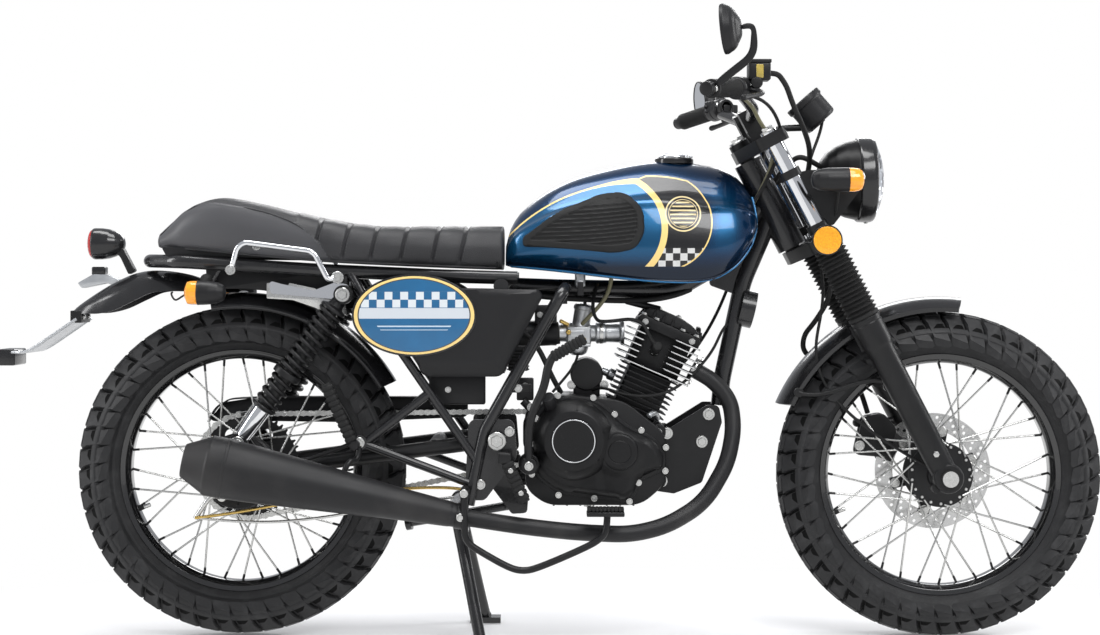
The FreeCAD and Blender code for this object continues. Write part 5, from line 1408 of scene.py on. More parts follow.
@piece_operator("Brake disc")
class MOTORCYCLE_OT_disc(bpy.types.Operator):
    """Drilled front disc on its black carrier"""
    bl_idname = "motorcycle.brake_disc"

    def execute(self, context):
        outer = node_size("brake_disc").z / 2
        y = node_middle("brake_disc").y
        thickness = node_size("brake_disc").y
        ring = grown("disc_ring", disc_growth, finish_name="disc", Outer=outer, Inner=0.078, Hole=0.0032,
            Count=24)
        stand = Matrix.Translation((FRONT_AXLE.x, y, FRONT_AXLE.z)) @ Matrix.Rotation(QUARTER, 4, "X")
        ring.data.transform(stand)
        solid = ring.modifiers.new("Thickness", "SOLIDIFY")
        solid.thickness = thickness
        solid.offset = 0
        applied(ring)
        ring.data.shade_flat()
        arms = []
        for angle in angles(6):
            way = round_way(angle + 0.3)
            across = Vector((-way.z, 0, way.x))
            loop = []
            for along, half in ((0.036, -0.020), (0.060, -0.012), (0.084, -0.0105), (0.086, 0.0),
                    (0.084, 0.0105), (0.060, 0.012), (0.036, 0.020)):
                point = FRONT_AXLE + way * along + across * half
                loop.append((point.x, point.z))
            arms.append(cutout("carrier_arm", [loop], y - 0.0075, y - 0.0021, "powder", bevel=0.0008))
        arms.append(turned("carrier_boss", [(0.0105, -0.0075), (0.048, -0.0075), (0.048, -0.0021),
            (0.038, 0.004), (0.0105, 0.004)], FRONT_AXLE + Vector((0, y, 0)), (0, 1, 0), "powder",
            closed=True))
        carrier = joined("disc_carrier", arms)
        carry(ring, "front_wheel", "steel", "brake_disc")
        carry(carrier, "front_wheel", "black_alloy")
        spots = []
        for angle in angles(6):
            way = round_way(angle + 0.3)
            spots.append((Vector((FRONT_AXLE.x, y - 0.0075, FRONT_AXLE.z)) + way * 0.0775, (0, -1, 0), 1.15))
            spots.append((Vector((FRONT_AXLE.x, y + 0.0030, FRONT_AXLE.z)) + way * 0.0300, (0, 1, 0), 0.85))
        carry(bolts("disc_bolts", spots), "front_wheel", "steel")
        return {"FINISHED"}


def chain_path():
    """The line of the chain round both sprockets, in the middle of the chain's own box."""
    y = node_middle("drive_chain").y
    rear_r, front_r = 0.10125, 0.04525
    rear = Vector((REAR_AXLE.x, y, REAR_AXLE.z))
    front = Vector((0.004, y, 0.378))
    way = front - rear
    tilt = math.atan2(way.z, way.x)
    spread = math.acos((rear_r - front_r) / way.length)
    points = []
    for step in range(41):
        angle = tilt + spread + (2 * math.pi - 2 * spread) * step / 40
        points.append(rear + round_way(angle) * rear_r)
    for step in range(21):
        angle = tilt - spread + 2 * spread * step / 20
        points.append(front + round_way(angle) * front_r)
    points.append(points[0])
    return points


def link_part(pitch):
    """Two pitches of roller chain: an outer link, an inner link, their rollers and pins."""
    items = []
    for centre_x, half_gap, thickness in ((0.0, 0.0058, 0.0014), (pitch, 0.0042, 0.0014)):
        for side in (-1, 1):
            loop = []
            for end in (1, -1):
                for step in range(5):
                    angle = -QUARTER + step * math.pi / 4 if end > 0 else QUARTER + step * math.pi / 4
                    loop.append((centre_x + end * pitch / 2 + 0.0056 * math.cos(angle),
                        0.0056 * math.sin(angle)))
                if end > 0:
                    loop.append((centre_x, 0.0040))
            loop.append((centre_x, -0.0040))
            y = side * half_gap
            verts = [Vector((x, level, z)) for level in (y - thickness / 2, y + thickness / 2)
                for x, z in loop]
            count = len(loop)
            faces = [tuple(range(count)), tuple(range(count, 2 * count))]
            faces += [(k, (k + 1) % count, count + (k + 1) % count, count + k) for k in range(count)]
            items.append(to_object("plate", mesh_from(verts, faces), "zinc"))
    for x in (-pitch / 2, pitch / 2):
        items.append(turned("roller", [(0.0, -0.0068), (0.0020, -0.0068), (0.0020, -0.0040),
            (0.0042, -0.0040), (0.0042, 0.0040), (0.0020, 0.0040), (0.0020, 0.0068), (0.0, 0.0068)],
            (x, 0, 0), (0, 1, 0), "zinc", soft=0, segments=10))
    return joined("link_part", items)


@piece_operator("Chain and sprocket")
class MOTORCYCLE_OT_chain(bpy.types.Operator):
    """Roller chain links and the toothed rear sprocket"""
    bl_idname = "motorcycle.chain"

    def execute(self, context):
        points = chain_path()
        length = sum((b - a).length for a, b in zip(points, points[1:]))
        count = round(length / 0.0254)
        pitch = length / count / 2
        chain = grown("chain_links", path_growth, carrier_mesh(points, chain=True), link_part(pitch), "zinc",
            Pitch=pitch * 2 * 0.9999, Side=(0, 1, 0))
        carry(chain, "frame", "steel", "drive_chain")
        y = node_middle("rear_sprocket").y
        teeth = 50
        outline = []
        for step in range(teeth):
            for share, reach in ((-0.30, 0.0965), (-0.10, 0.1035), (0.10, 0.1035), (0.30, 0.0965)):
                angle = 2 * math.pi * (step + share) / teeth
                outline.append((REAR_AXLE.x + reach * math.cos(angle), REAR_AXLE.z + reach * math.sin(angle)))
        holes = [circle_loop(REAR_AXLE.x, REAR_AXLE.z, 0.020)]
        for angle in angles(6):
            hole = REAR_AXLE + round_way(angle) * 0.068
            holes.append(circle_loop(hole.x, hole.z, 0.013, 24))
        cog = cutout("sprocket_visual", [[(x - REAR_AXLE.x, z - REAR_AXLE.z) for x, z in loop]
            for loop in [outline] + holes], -0.0025, 0.0025, "exhaust", bevel=0.0005)
        cog.data.transform(Matrix.Translation((REAR_AXLE.x, y, REAR_AXLE.z)))
        carry(cog, "rear_wheel", "steel", "rear_sprocket")
        face = Vector((REAR_AXLE.x, y + 0.0025, REAR_AXLE.z))
        spots = [(face + round_way(angle) * 0.046, (0, 1, 0), 1.0) for angle in angles(6, 0.5)]
        carry(bolts("sprocket_bolts", spots), "rear_wheel", "steel")
        return {"FINISHED"}


# ---------------------------------------------------------------------------
# Fork and steering
# ---------------------------------------------------------------------------
SLIDER_TOP, LOWER_YOKE, UPPER_YOKE, YOKE_THICK = 0.659, 0.808, 1.024, 0.024
STEM_TOP = UPPER_YOKE + YOKE_THICK
BAR = on_head(0.035, 0, STEM_TOP + 0.044)


def at_pairs(build):
    """Runs a maker for the left side and mirrors it to the right; returns both as one list."""
    left = build()
    return [left, mirrored(left)]


def fork_leg_lathe(name, profile, *finishes, forward=None, side=FORK_HALF, **more):
    """A lathe piece on the left fork leg's line; profile heights run up the steering axis from the floor."""
    forward = FORK_OFFSET if forward is None else forward
    return turned(name, profile, on_head(forward, side, 0), UP_HEAD, *finishes, **more)


@piece_operator("Fork legs")
class MOTORCYCLE_OT_fork(bpy.types.Operator):
    """Lower legs with collars and lugs, ribbed gaiters, stanchions and yoke bolts"""
    bl_idname = "motorcycle.fork"

    def execute(self, context):
        def gaiter():
            folds = 15
            low, high = SLIDER_TOP + 0.0005, LOWER_YOKE - 0.0005
            step = (high - low - 0.016) / folds
            profile = [(0.0200, low), (0.0290, low), (0.0300, low + 0.001), (0.0300, low + 0.007),
                (0.0255, low + 0.009)]
            for number in range(folds):
                start = low + 0.009 + number * step
                profile += [(0.0300 + 0.0014 * (number % 2), start + step * 0.36),
                    (0.0318, start + step * 0.50), (0.0300, start + step * 0.64), (0.0252, start + step)]
            profile += [(0.0285, high - 0.006), (0.0285, high - 0.001), (0.0275, high), (0.0200, high)]
            return fork_leg_lathe("gaiter", profile, "rubber", soft=0.0009, segments=56)
        carry(joined("gaiters_visual", at_pairs(gaiter)), "steering", "rubber", "fork_gaiters")

        def slider():
            profile = [(0.0, AXLE_ALONG - 0.004), (0.012, AXLE_ALONG - 0.004), (0.0238, AXLE_ALONG + 0.006),
                (0.0245, AXLE_ALONG + 0.035), (0.0250, AXLE_ALONG + 0.090), (0.0250, SLIDER_TOP - 0.072),
                (0.0262, SLIDER_TOP - 0.062), (0.0285, SLIDER_TOP - 0.056), (0.0290, SLIDER_TOP - 0.050),
                (0.0290, SLIDER_TOP - 0.012), (0.0282, SLIDER_TOP - 0.0105), (0.0282, SLIDER_TOP - 0.0085),
                (0.0290, SLIDER_TOP - 0.007), (0.0290, SLIDER_TOP - 0.001), (0.0280, SLIDER_TOP),
                (0.0166, SLIDER_TOP)]
            leg = fork_leg_lathe("leg", profile, "powder", soft=0.002, segments=64)
            lug_at = Vector((FRONT_AXLE.x, FORK_HALF, FRONT_AXLE.z))
            lug = turned("lug", [(0.0101, -0.024), (0.0255, -0.024), (0.0285, -0.019), (0.0285, 0.019),
                (0.0255, 0.024), (0.0101, 0.024)], lug_at, (0, 1, 0), "powder", soft=0.0025, closed=True)
            boss = rounded_rod("clamp_boss", lug_at + Vector((-0.020, -0.014, -0.018)),
                lug_at + Vector((-0.020, 0.014, -0.018)), 0.0105, "powder")
            drain = turned("drain", [(0.0, 0.0), (0.006, 0.0), (0.006, 0.003), (0.0, 0.003)],
                on_head(FORK_OFFSET - 0.001, FORK_HALF + 0.0245, AXLE_ALONG + 0.052), (0, 1, 0), "zinc",
                soft=0.0006, segments=6)
            mount = rounded_rod("fender_boss", on_head(FORK_OFFSET - 0.016, FORK_HALF - 0.014,
                AXLE_ALONG + 0.200), on_head(FORK_OFFSET - 0.016, FORK_HALF - 0.030, AXLE_ALONG + 0.200),
                0.010, "powder")
            return joined("slider", [leg, lug, boss, drain, mount])
        carry(joined("sliders_visual", at_pairs(slider)), "steering", "black_alloy", "fork_sliders")
        dress("fork_stanchions", "chrome")
        dress("fork_yokes", "powder")
        dress("headlight_ears", "powder")
        dress("brake_hose", "rubber")
        spots = []
        for side in (-1, 1):
            top = on_head(FORK_OFFSET, side * FORK_HALF, STEM_TOP + 0.0032)
            spots.append((top, UP_HEAD, 2.0))
            for forward, along in ((0.074, LOWER_YOKE + 0.012), (0.074, UPPER_YOKE + 0.012)):
                spots.append((on_head(forward + 0.0035, side * (FORK_HALF - 0.018), along), FORWARD_HEAD,
                    0.9))
            for forward in (0.022, 0.048):
                spots.append((on_head(forward, side * 0.048, STEM_TOP + 0.0600), UP_HEAD, 0.72))
        spots.append((on_head(0, 0, STEM_TOP + 0.0125), UP_HEAD, 2.1))
        carry(bolts("yoke_bolts", spots), "steering", "steel")
        return {"FINISHED"}


def rounded_rod(name, start, end, radius, finish_name, soft=0.0015, segments=28):
    """A round bar with softened ends between two points."""
    start, end = Vector(start), Vector(end)
    length = (end - start).length
    return turned(name, [(0.0, 0.0), (radius, 0.0), (radius, length), (0.0, length)], start, end - start,
        finish_name, soft=soft, segments=segments)


def arch_strip(name, centre, section, first, last, finish_name, steps=60, tips=0.0):
    """A guard swept round an axle: section points are (radius, y) outside then inside, angles in degrees."""
    rings = []
    for step in range(steps + 1):
        share = step / steps
        ring = []
        for radius, y in section:
            # The ends are cut with rounded corners: the edges stop short of the middle.
            outer = abs(y) / max(abs(value[1]) for value in section)
            trim = tips * outer ** 3
            angle = math.radians(first + trim + (last - first - 2 * trim) * share)
            ring.append(Vector((centre.x + radius * math.cos(angle), y, centre.z + radius * math.sin(angle))))
        rings.append(ring)
    return to_object(name, rings_mesh(rings), finish_name, sharp=50)


def crown_section(inner, half, drop, skin, lip=0.0, samples=14):
    """A crowned guard section, its edges rolled, as a closed (radius, y) loop."""
    top, bottom = [], []
    for step in range(samples + 1):
        t = -1 + 2 * step / samples
        y = half * t
        fall = drop * (abs(t) ** 2.6)
        top.append((inner + skin - fall, y))
        bottom.append((inner - fall, y * (1 - skin / half)))
    if lip:
        for line in (top, bottom):
            line.insert(0, (line[0][0] - lip, line[0][1]))
            line.append((line[-1][0] - lip, line[-1][1]))
    return top + bottom[::-1]


@piece_operator("Front fender")
class MOTORCYCLE_OT_front_fender(bpy.types.Operator):
    """Crowned front guard with its rolled lip, bridge and stays"""
    bl_idname = "motorcycle.front_fender"

    def execute(self, context):
        section = crown_section(0.336, 0.057, 0.020, 0.003, lip=0.006)
        band = arch_strip("fender_band", FRONT_AXLE, section, 83, 156.5, "gloss plastic", tips=1.6)
        items = [band]
        for side in (-1, 1):
            rear = FRONT_AXLE + round_way(math.radians(150)) * 0.316
            low = on_head(FORK_OFFSET, 0, AXLE_ALONG + 0.200)
            items.append(tube("fender_stay", [(rear.x, side * 0.0595, rear.z),
                (rear.x + 0.03, side * 0.062, rear.z - 0.012), (low.x - 0.04, side * 0.075, low.z + 0.012),
                (low.x - 0.006, side * 0.077, low.z)], 0.0045, "powder"))
            items.append(rounded_rod("stay_eye", (rear.x, side * 0.056, rear.z),
                (rear.x, side * 0.063, rear.z), 0.009, "powder"))
            lug = FRONT_AXLE + UP_HEAD * 0.318
            items.append(rounded_rod("fender_lug", (lug.x, side * 0.055, lug.z), (lug.x, side * 0.069, lug.z),
                0.010, "powder"))
            items.append(slab("fender_plate", (lug.x - 0.030, side * 0.0595 - 0.0015, lug.z - 0.040),
                (lug.x + 0.024, side * 0.0595 + 0.0015, lug.z + 0.012), "powder", bevel=0.001,
                turn=Matrix.Rotation(math.radians(-27), 3, "Y"), about=lug))
        carry(joined("front_fender_visual", items), "steering", "black_plastic", "front_fender")
        spots = []
        for side in (-1, 1):
            for forward, down in ((-0.018, -0.022), (0.014, -0.006)):
                place = lug + FORWARD_HEAD * forward + UP_HEAD * down
                spots.append(((place.x, side * 0.061, place.z), (0, side, 0), 0.8))
        carry(bolts("fender_bolts", spots), "steering", "steel")
        return {"FINISHED"}


GRIP_INNER = Vector((BAR.x - 0.042, 0.250, BAR.z + 0.038))
GRIP_OUTER = Vector((BAR.x - 0.098, 0.370, BAR.z + 0.026))
GRIP_WAY = (GRIP_OUTER - GRIP_INNER).normalized()


def on_bar(along, forward=0.0, up=0.0, side=1):
    """A point near a grip's line, measured in from the grip's inner end, in metres."""
    point = GRIP_INNER - GRIP_WAY * along
    return Vector((point.x + forward, side * point.y, point.z + up))


def sided(vector, side):
    return Vector((vector.x, side * vector.y, vector.z))


@piece_operator("Grips")
class MOTORCYCLE_OT_grips(bpy.types.Operator):
    """Rubber grips with ribs, flanges and bar-end weights"""
    bl_idname = "motorcycle.grips"

    def execute(self, context):
        items, weights = [], []
        for side in (-1, 1):
            start, way = sided(GRIP_INNER, side), sided(GRIP_WAY, side)
            length = (GRIP_OUTER - GRIP_INNER).length
            profile = [(0.0112, 0.012), (0.0165, 0.012), (0.0170, 0.013), (0.0170, 0.0165), (0.0158, 0.018)]
            ribs = 22
            low, high = 0.020, length - 0.012
            for number in range(ribs):
                a = low + (high - low) * number / ribs
                step = (high - low) / ribs
                profile += [(0.0153, a), (0.0153, a + step * 0.28), (0.0166, a + step * 0.42),
                    (0.0166, a + step * 0.86)]
            profile += [(0.0153, high), (0.0168, length - 0.010), (0.0168, length - 0.001), (0.0112, length)]
            items.append(turned("grip", profile, start, way, "rubber", soft=0.0004, segments=44))
            weights.append(turned("bar_weight", [(0.0086, length + 0.0185), (0.0125, length + 0.0185),
                (0.0125, length + 0.0235), (0.006, length + 0.0245), (0.0, length + 0.0245)], start, way,
                "powder"))
        carry(joined("grips_visual", items), "steering", "rubber", "grips")
        carry(joined("bar_weights", weights), "steering", "black_metal")
        dress("handlebar", "enamel")
        return {"FINISHED"}


def lever_blade(name, side):
    """A ball-ended lever: its section is flat near the pivot and round near the ball."""
    path = [on_bar(0.016, 0.014, -0.002, side), on_bar(0.004, 0.032, -0.004, side),
        on_bar(-0.016, 0.050, -0.007, side), on_bar(-0.050, 0.0605, -0.0105, side),
        on_bar(-0.085, 0.0595, -0.013, side), on_bar(-0.112, 0.0545, -0.0152, side),
        on_bar(-0.121, 0.0525, -0.0158, side), on_bar(-0.126, 0.0515, -0.0161, side)]
    sizes = [(0.0085, 0.0050), (0.0095, 0.0052), (0.0080, 0.0048), (0.0062, 0.0046), (0.0054, 0.0046),
        (0.0050, 0.0048), (0.0068, 0.0068), (0.0026, 0.0026)]
    rings = []
    for index, (point, (wide, thick)) in enumerate(zip(path, sizes)):
        way = (path[min(index + 1, len(path) - 1)] - path[max(index - 1, 0)]).normalized()
        across = way.cross(Vector((0, 0, 1))).normalized()
        up = across.cross(way).normalized()
        rings.append([point + across * wide * math.cos(2 * math.pi * k / 16) + up * thick
            * math.sin(2 * math.pi * k / 16) for k in range(16)])
    return smoothed(to_object(name, rings_mesh(rings), "powder"), 1)


@piece_operator("Hand controls")
class MOTORCYCLE_OT_hand_controls(bpy.types.Operator):
    """Switch boxes, levers, perches and the brake reservoir"""
    bl_idname = "motorcycle.hand_controls"

    def execute(self, context):
        items, spots, details = [], [], []
        for side in (-1, 1):
            way = sided(GRIP_WAY, side)
            inner = on_bar(0.034, side=side)
            # Two half shells of a switch box with the split line between them.
            box = turned("switch_box", [(0.0112, 0.0), (0.0185, 0.0), (0.0208, 0.004), (0.0210, 0.0185),
                (0.0200, 0.0195), (0.0200, 0.0205), (0.0210, 0.0215), (0.0210, 0.038), (0.0180, 0.0435),
                (0.0112, 0.044)], inner, way, "plastic", soft=0.002, segments=40, closed=True)
            items.append(box)
            pod = on_bar(0.012, -0.012, 0.006, side)
            items.append(slab("switch_pod", pod + Vector((-0.009, -0.016, -0.012)),
                pod + Vector((0.006, 0.016, 0.012)), "plastic", bevel=0.003,
                turn=Matrix.Rotation(side * 0.43, 3, "Z"), about=pod))
            items.append(lever_blade("lever", side))
            perch = on_bar(0.030, 0.012, -0.002, side)
            items.append(slab("perch", perch + Vector((-0.016, -0.011, -0.010)),
                perch + Vector((0.018, 0.011, 0.010)), "powder", bevel=0.003,
                turn=Matrix.Rotation(side * 0.43, 3, "Z"), about=perch))
            clamp = turned("perch_clamp", [(0.0112, 0.0), (0.0165, 0.0), (0.0165, 0.016), (0.0112, 0.016)],
                on_bar(0.050, side=side), way, "powder", closed=True, segments=32)
            items.append(clamp)
            spots.append((on_bar(0.012, 0.024, 0.004, side), (0, 0, 1), 0.8))
            spots.append((on_bar(0.042, -0.0150, 0.006, side), (-1, 0, 0.2), 0.6))
            for number, (lift, size) in enumerate(((0.007, 0.0042), (-0.004, 0.0034))):
                knob = on_bar(0.010 + 0.004 * number, -0.021, lift, side)
                colour = "red paint" if side < 0 and number == 0 else "plastic"
                details.append(turned("switch_knob", [(0.0, 0.0), (size, 0.0), (size, 0.0045),
                    (size * 0.8, 0.0058), (0.0, 0.0060)], knob, (-1, 0, 0.15), colour, soft=0.0006,
                    segments=20))
        # Reservoir on the right: a box with a lid, a sight window and two screws.
        low = Vector((on_bar(0.030, 0.010, 0.008, -1).x, -0.242, GRIP_INNER.z + 0.016))
        high = Vector((on_bar(0.030, 0.050, 0.008, -1).x, -0.198, GRIP_INNER.z + 0.0475))
        items.append(slab("reservoir", low, high, "powder", bevel=0.003))
        items.append(slab("reservoir_lid", (low.x - 0.0012, low.y - 0.0012, high.z - 0.0005),
            (high.x + 0.0012, high.y + 0.0012, high.z + 0.0060), "plastic", bevel=0.0012))
        items.append(rounded_rod("master_cylinder", (low.x + 0.014, -0.252, GRIP_INNER.z + 0.010),
            (low.x + 0.014, -0.196, GRIP_INNER.z + 0.010), 0.0105, "powder"))
        middle = (low.x + high.x) / 2
        details.append(slab("sight_window", (middle - 0.0065, low.y - 0.0016, low.z + 0.0035),
            (middle + 0.0065, low.y + 0.001, high.z - 0.0035), "fluid", bevel=0.0012))
        for x, y in ((low.x + 0.006, low.y + 0.007), (high.x - 0.006, high.y - 0.007)):
            spots.append(((x, y, high.z + 0.0058), (0, 0, 1), 0.45))
        carry(joined("hand_controls_visual", items), "steering", "black_plastic", "hand_controls")
        carry(joined("control_details", details), "steering", "black_plastic")
        carry(bolts("control_screws", spots), "steering", "steel")
        return {"FINISHED"}


MIRRORS = ((-1, Vector((0.313, -0.400, 1.112))), (1, Vector((0.330, 0.404, 1.056))))


@piece_operator("Mirrors")
class MOTORCYCLE_OT_mirrors(bpy.types.Operator):
    """Round mirrors on flat arms clamped at the bar ends"""
    bl_idname = "motorcycle.mirrors"

    def execute(self, context):
        items, glasses, spots = [], [], []
        for side, head in MIRRORS:
            way = sided(GRIP_WAY, side)
            ring = sided(GRIP_OUTER + GRIP_WAY * 0.0105, side)
            facing = Vector((0.97, side * 0.2, 0.1)).normalized()
            base = head + Vector((-0.014, 0, 0))
            bowl = [(0.0415, 0.0010), (0.0430, -0.0002), (0.0440, 0.0010), (0.0440, 0.0060), (0.0425, 0.0090),
                (0.0385, 0.0165), (0.0345, 0.0210), (0.0300, 0.0240), (0.0296, 0.0232), (0.0260, 0.0262),
                (0.0180, 0.0310), (0.0140, 0.0325), (0.0, 0.0330)]
            items.append(turned("mirror_bowl", bowl, base, facing, "plastic", soft=0.0008, segments=72))
            glasses.append(turned("mirror_glass", [(0.0, 0.0014), (0.0415, 0.0014), (0.0418, 0.0022),
                (0.0, 0.0022)], base, facing, "mirror", soft=0, segments=72))
            items.append(turned("mirror_clamp", [(0.0086, -0.007), (0.0130, -0.007), (0.0130, 0.007),
                (0.0086, 0.007)], ring, way, "powder", segments=40, closed=True))
            elbow = Vector((head.x + 0.042, side * (abs(GRIP_OUTER.y) + 0.0105 + 0.010),
                ring.z + (head.z - ring.z) * 0.56))
            knob, crest = head + Vector((0.016, 0, 0.003)), head + Vector((0.040, 0, 0.009))
            path = [
                ring + Vector((0.010, 0, 0.004)),
                ring.lerp(elbow, 0.55),
                elbow - (elbow - ring).normalized() * 0.012,
                elbow + (crest - elbow).normalized() * 0.010,
                elbow.lerp(crest, 0.62),
                crest,
                knob
            ]
            rings = []
            for index, point in enumerate(path):
                line = (path[min(index + 1, 6)] - path[max(index - 1, 0)]).normalized()
                across = Vector((0, 1, 0))
                out = across.cross(line).normalized()
                wide, thick = (0.0072, 0.0048) if index < 4 else (0.0056, 0.0048)
                rings.append([point + out * wide * x + across * thick * y for x, y in flat_section(0.8)])
            items.append(smoothed(to_object("mirror_arm", rings_mesh(rings), "plastic"), 2))
            spots.append((ring + Vector((0.0125, 0, 0)), (1, 0, 0), 0.7))
        carry(joined("mirrors_visual", items), "steering", "black_plastic", "mirrors")
        carry(joined("mirror_glasses", glasses), "steering", "chrome")
        carry(bolts("mirror_bolts", spots), "steering", "steel")
        return {"FINISHED"}


LAMP_AT = Vector((0.603, 0, 0.872))


@piece_operator("Headlight")
class MOTORCYCLE_OT_headlight(bpy.types.Operator):
    """Lamp shell, rim, reflector, glass and bulb"""
    bl_idname = "motorcycle.headlight"

    def execute(self, context):
        shell = turned("headlight_shell", [(0.0, -0.0920), (0.018, -0.0905), (0.036, -0.0845),
            (0.052, -0.0730), (0.064, -0.0565), (0.0725, -0.0360), (0.0770, -0.0170), (0.0775, 0.0),
            (0.070, 0.0)], LAMP_AT, (1, 0, 0), "headlight", soft=0.003, segments=96)
        rim = turned("headlight_rim", [(0.0765, -0.0150), (0.0795, -0.0150), (0.0815, -0.0120), (0.0820, 0.0),
            (0.0820, 0.0100), (0.0800, 0.0160), (0.0770, 0.0185), (0.0755, 0.0180), (0.0755, 0.0100),
            (0.0765, 0.0080)], LAMP_AT, (1, 0, 0), "gloss plastic", soft=0.0018, segments=96, closed=True)
        bowl_profile = [(0.0755, 0.0120)]
        for step in range(12):
            t = 1 - step / 12
            bowl_profile.append((0.0745 * t, -0.052 + 0.062 * t * t))
        bowl_profile.append((0.0, -0.052))
        bowl = turned("headlight_bowl", bowl_profile, LAMP_AT, (1, 0, 0), "chrome", soft=0, segments=72)
        bulb = turned("headlight_bulb", [(0.0, -0.050), (0.011, -0.050), (0.011, -0.030), (0.0095, -0.018),
            (0.0095, -0.006), (0.0, -0.002)], LAMP_AT, (1, 0, 0), "chrome", soft=0.001, segments=28)
        outer = []
        for step in range(13):
            t = step / 12
            outer.append((0.0755 * t, 0.0365 - 0.0185 * t ** 2.2))
        inner = [(r, x - 0.0030) for r, x in outer]
        glass = turned("headlight_glass", outer[::-1] + inner, LAMP_AT, (1, 0, 0), "clear", soft=0,
            segments=72)
        carry(joined("headlight_visual", [shell, rim]), "steering", "lamp", "headlight")
        carry(joined("headlight_inside", [bowl, bulb]), "steering", "chrome")
        carry(glass, "steering", "lamp")
        spots = []
        for side in (-1, 1):
            spots.append(((LAMP_AT.x - 0.026, side * 0.1055, LAMP_AT.z), (0, side, 0), 1.5))
        spots.append(((LAMP_AT.x + 0.004, 0, LAMP_AT.z - 0.0815), (0, 0, -1), 0.55))
        carry(bolts("headlight_bolts", spots), "steering", "steel")
        return {"FINISHED"}


def indicator(name, place, way, front):
    """A bullet indicator: black shell, ribbed band and an amber end lens."""
    long, wide = (0.098, 0.023) if front else (0.076, 0.0225)
    mouth = long - (0.028 if front else 0.024)
    shell = [(0.0, 0.0), (wide * 0.30, 0.0005), (wide * 0.62, 0.004), (wide * 0.84, 0.014),
        (wide * 0.955, 0.030), (wide * 0.985, mouth - 0.010), (wide * 0.985, mouth - 0.003),
        (wide, mouth - 0.002), (wide, mouth), (0.0, mouth)]
    lens = [(0.0, mouth - 0.001), (wide * 0.955, mouth - 0.001), (wide * 0.955, mouth + 0.010),
        (wide * 0.90, mouth + 0.018), (wide * 0.74, long - 0.004), (wide * 0.40, long - 0.0008), (0.0, long)]
    return (turned(name + "_shell", shell, place, way, "plastic", soft=0.0012, segments=56),
        turned(name + "_lens", lens, place, way, "amber", soft=0.0010, segments=56))


@piece_operator("Front indicators")
class MOTORCYCLE_OT_front_indicators(bpy.types.Operator):
    """Front indicators on their stalks and the round fork reflectors"""
    bl_idname = "motorcycle.front_indicators"

    def execute(self, context):
        shells, lenses = [], []
        for side in (-1, 1):
            place = Vector((0.482, side * 0.160, 0.864))
            shell, lens = indicator("front_indicator", place, (1, 0, 0), True)
            shells.append(shell)
            lenses.append(lens)
            loop = rounded_loop(metres([(498, 852), (520, 848), (562, 851), (562, 877), (520, 880),
                (498, 876)]), 0.006)
            shells.append(cutout("indicator_bracket", [loop], side * 0.100, side * 0.104, "powder",
                bevel=0.0008))
            shells.append(turned("indicator_stalk", [(0.0, 0.0), (0.0130, 0.0), (0.0120, 0.004),
                (0.0085, 0.012), (0.0078, 0.034), (0.0100, 0.043), (0.0, 0.043)],
                Vector((0.546, side * 0.100, 0.864)), (0, side, 0), "rubber", soft=0.001, segments=32))
            at = on_head(FORK_OFFSET, side * (FORK_HALF + 0.033), LOWER_YOKE + 0.014)
            shells.append(turned("reflector_rim", [(0.0, 0.0), (0.0270, 0.0), (0.0285, 0.0015),
                (0.0285, 0.0068), (0.0270, 0.0080), (0.0258, 0.0074), (0.0, 0.0070)], at, (0, side, 0),
                "plastic", soft=0.0008))
            shells.append(rounded_rod("reflector_stud", at - Vector((0, side * 0.007, 0)), at, 0.008,
                "powder"))
            lenses.append(turned("fork_reflector", [(0.0, 0.0060), (0.0258, 0.0060), (0.0258, 0.0078),
                (0.0245, 0.0088), (0.0, 0.0090)], at, (0, side, 0), "reflector", soft=0.0005))
        carry(joined("front_indicator_shells", shells), "steering", "black_plastic", "front_indicators")
        carry(joined("front_indicator_lenses", lenses), "steering", "amber")
        return {"FINISHED"}


SPEEDO_AT = Vector((0.522, 0, 0.983))
SPEEDO_UP = Vector((-0.66, 0, 0.75)).normalized()


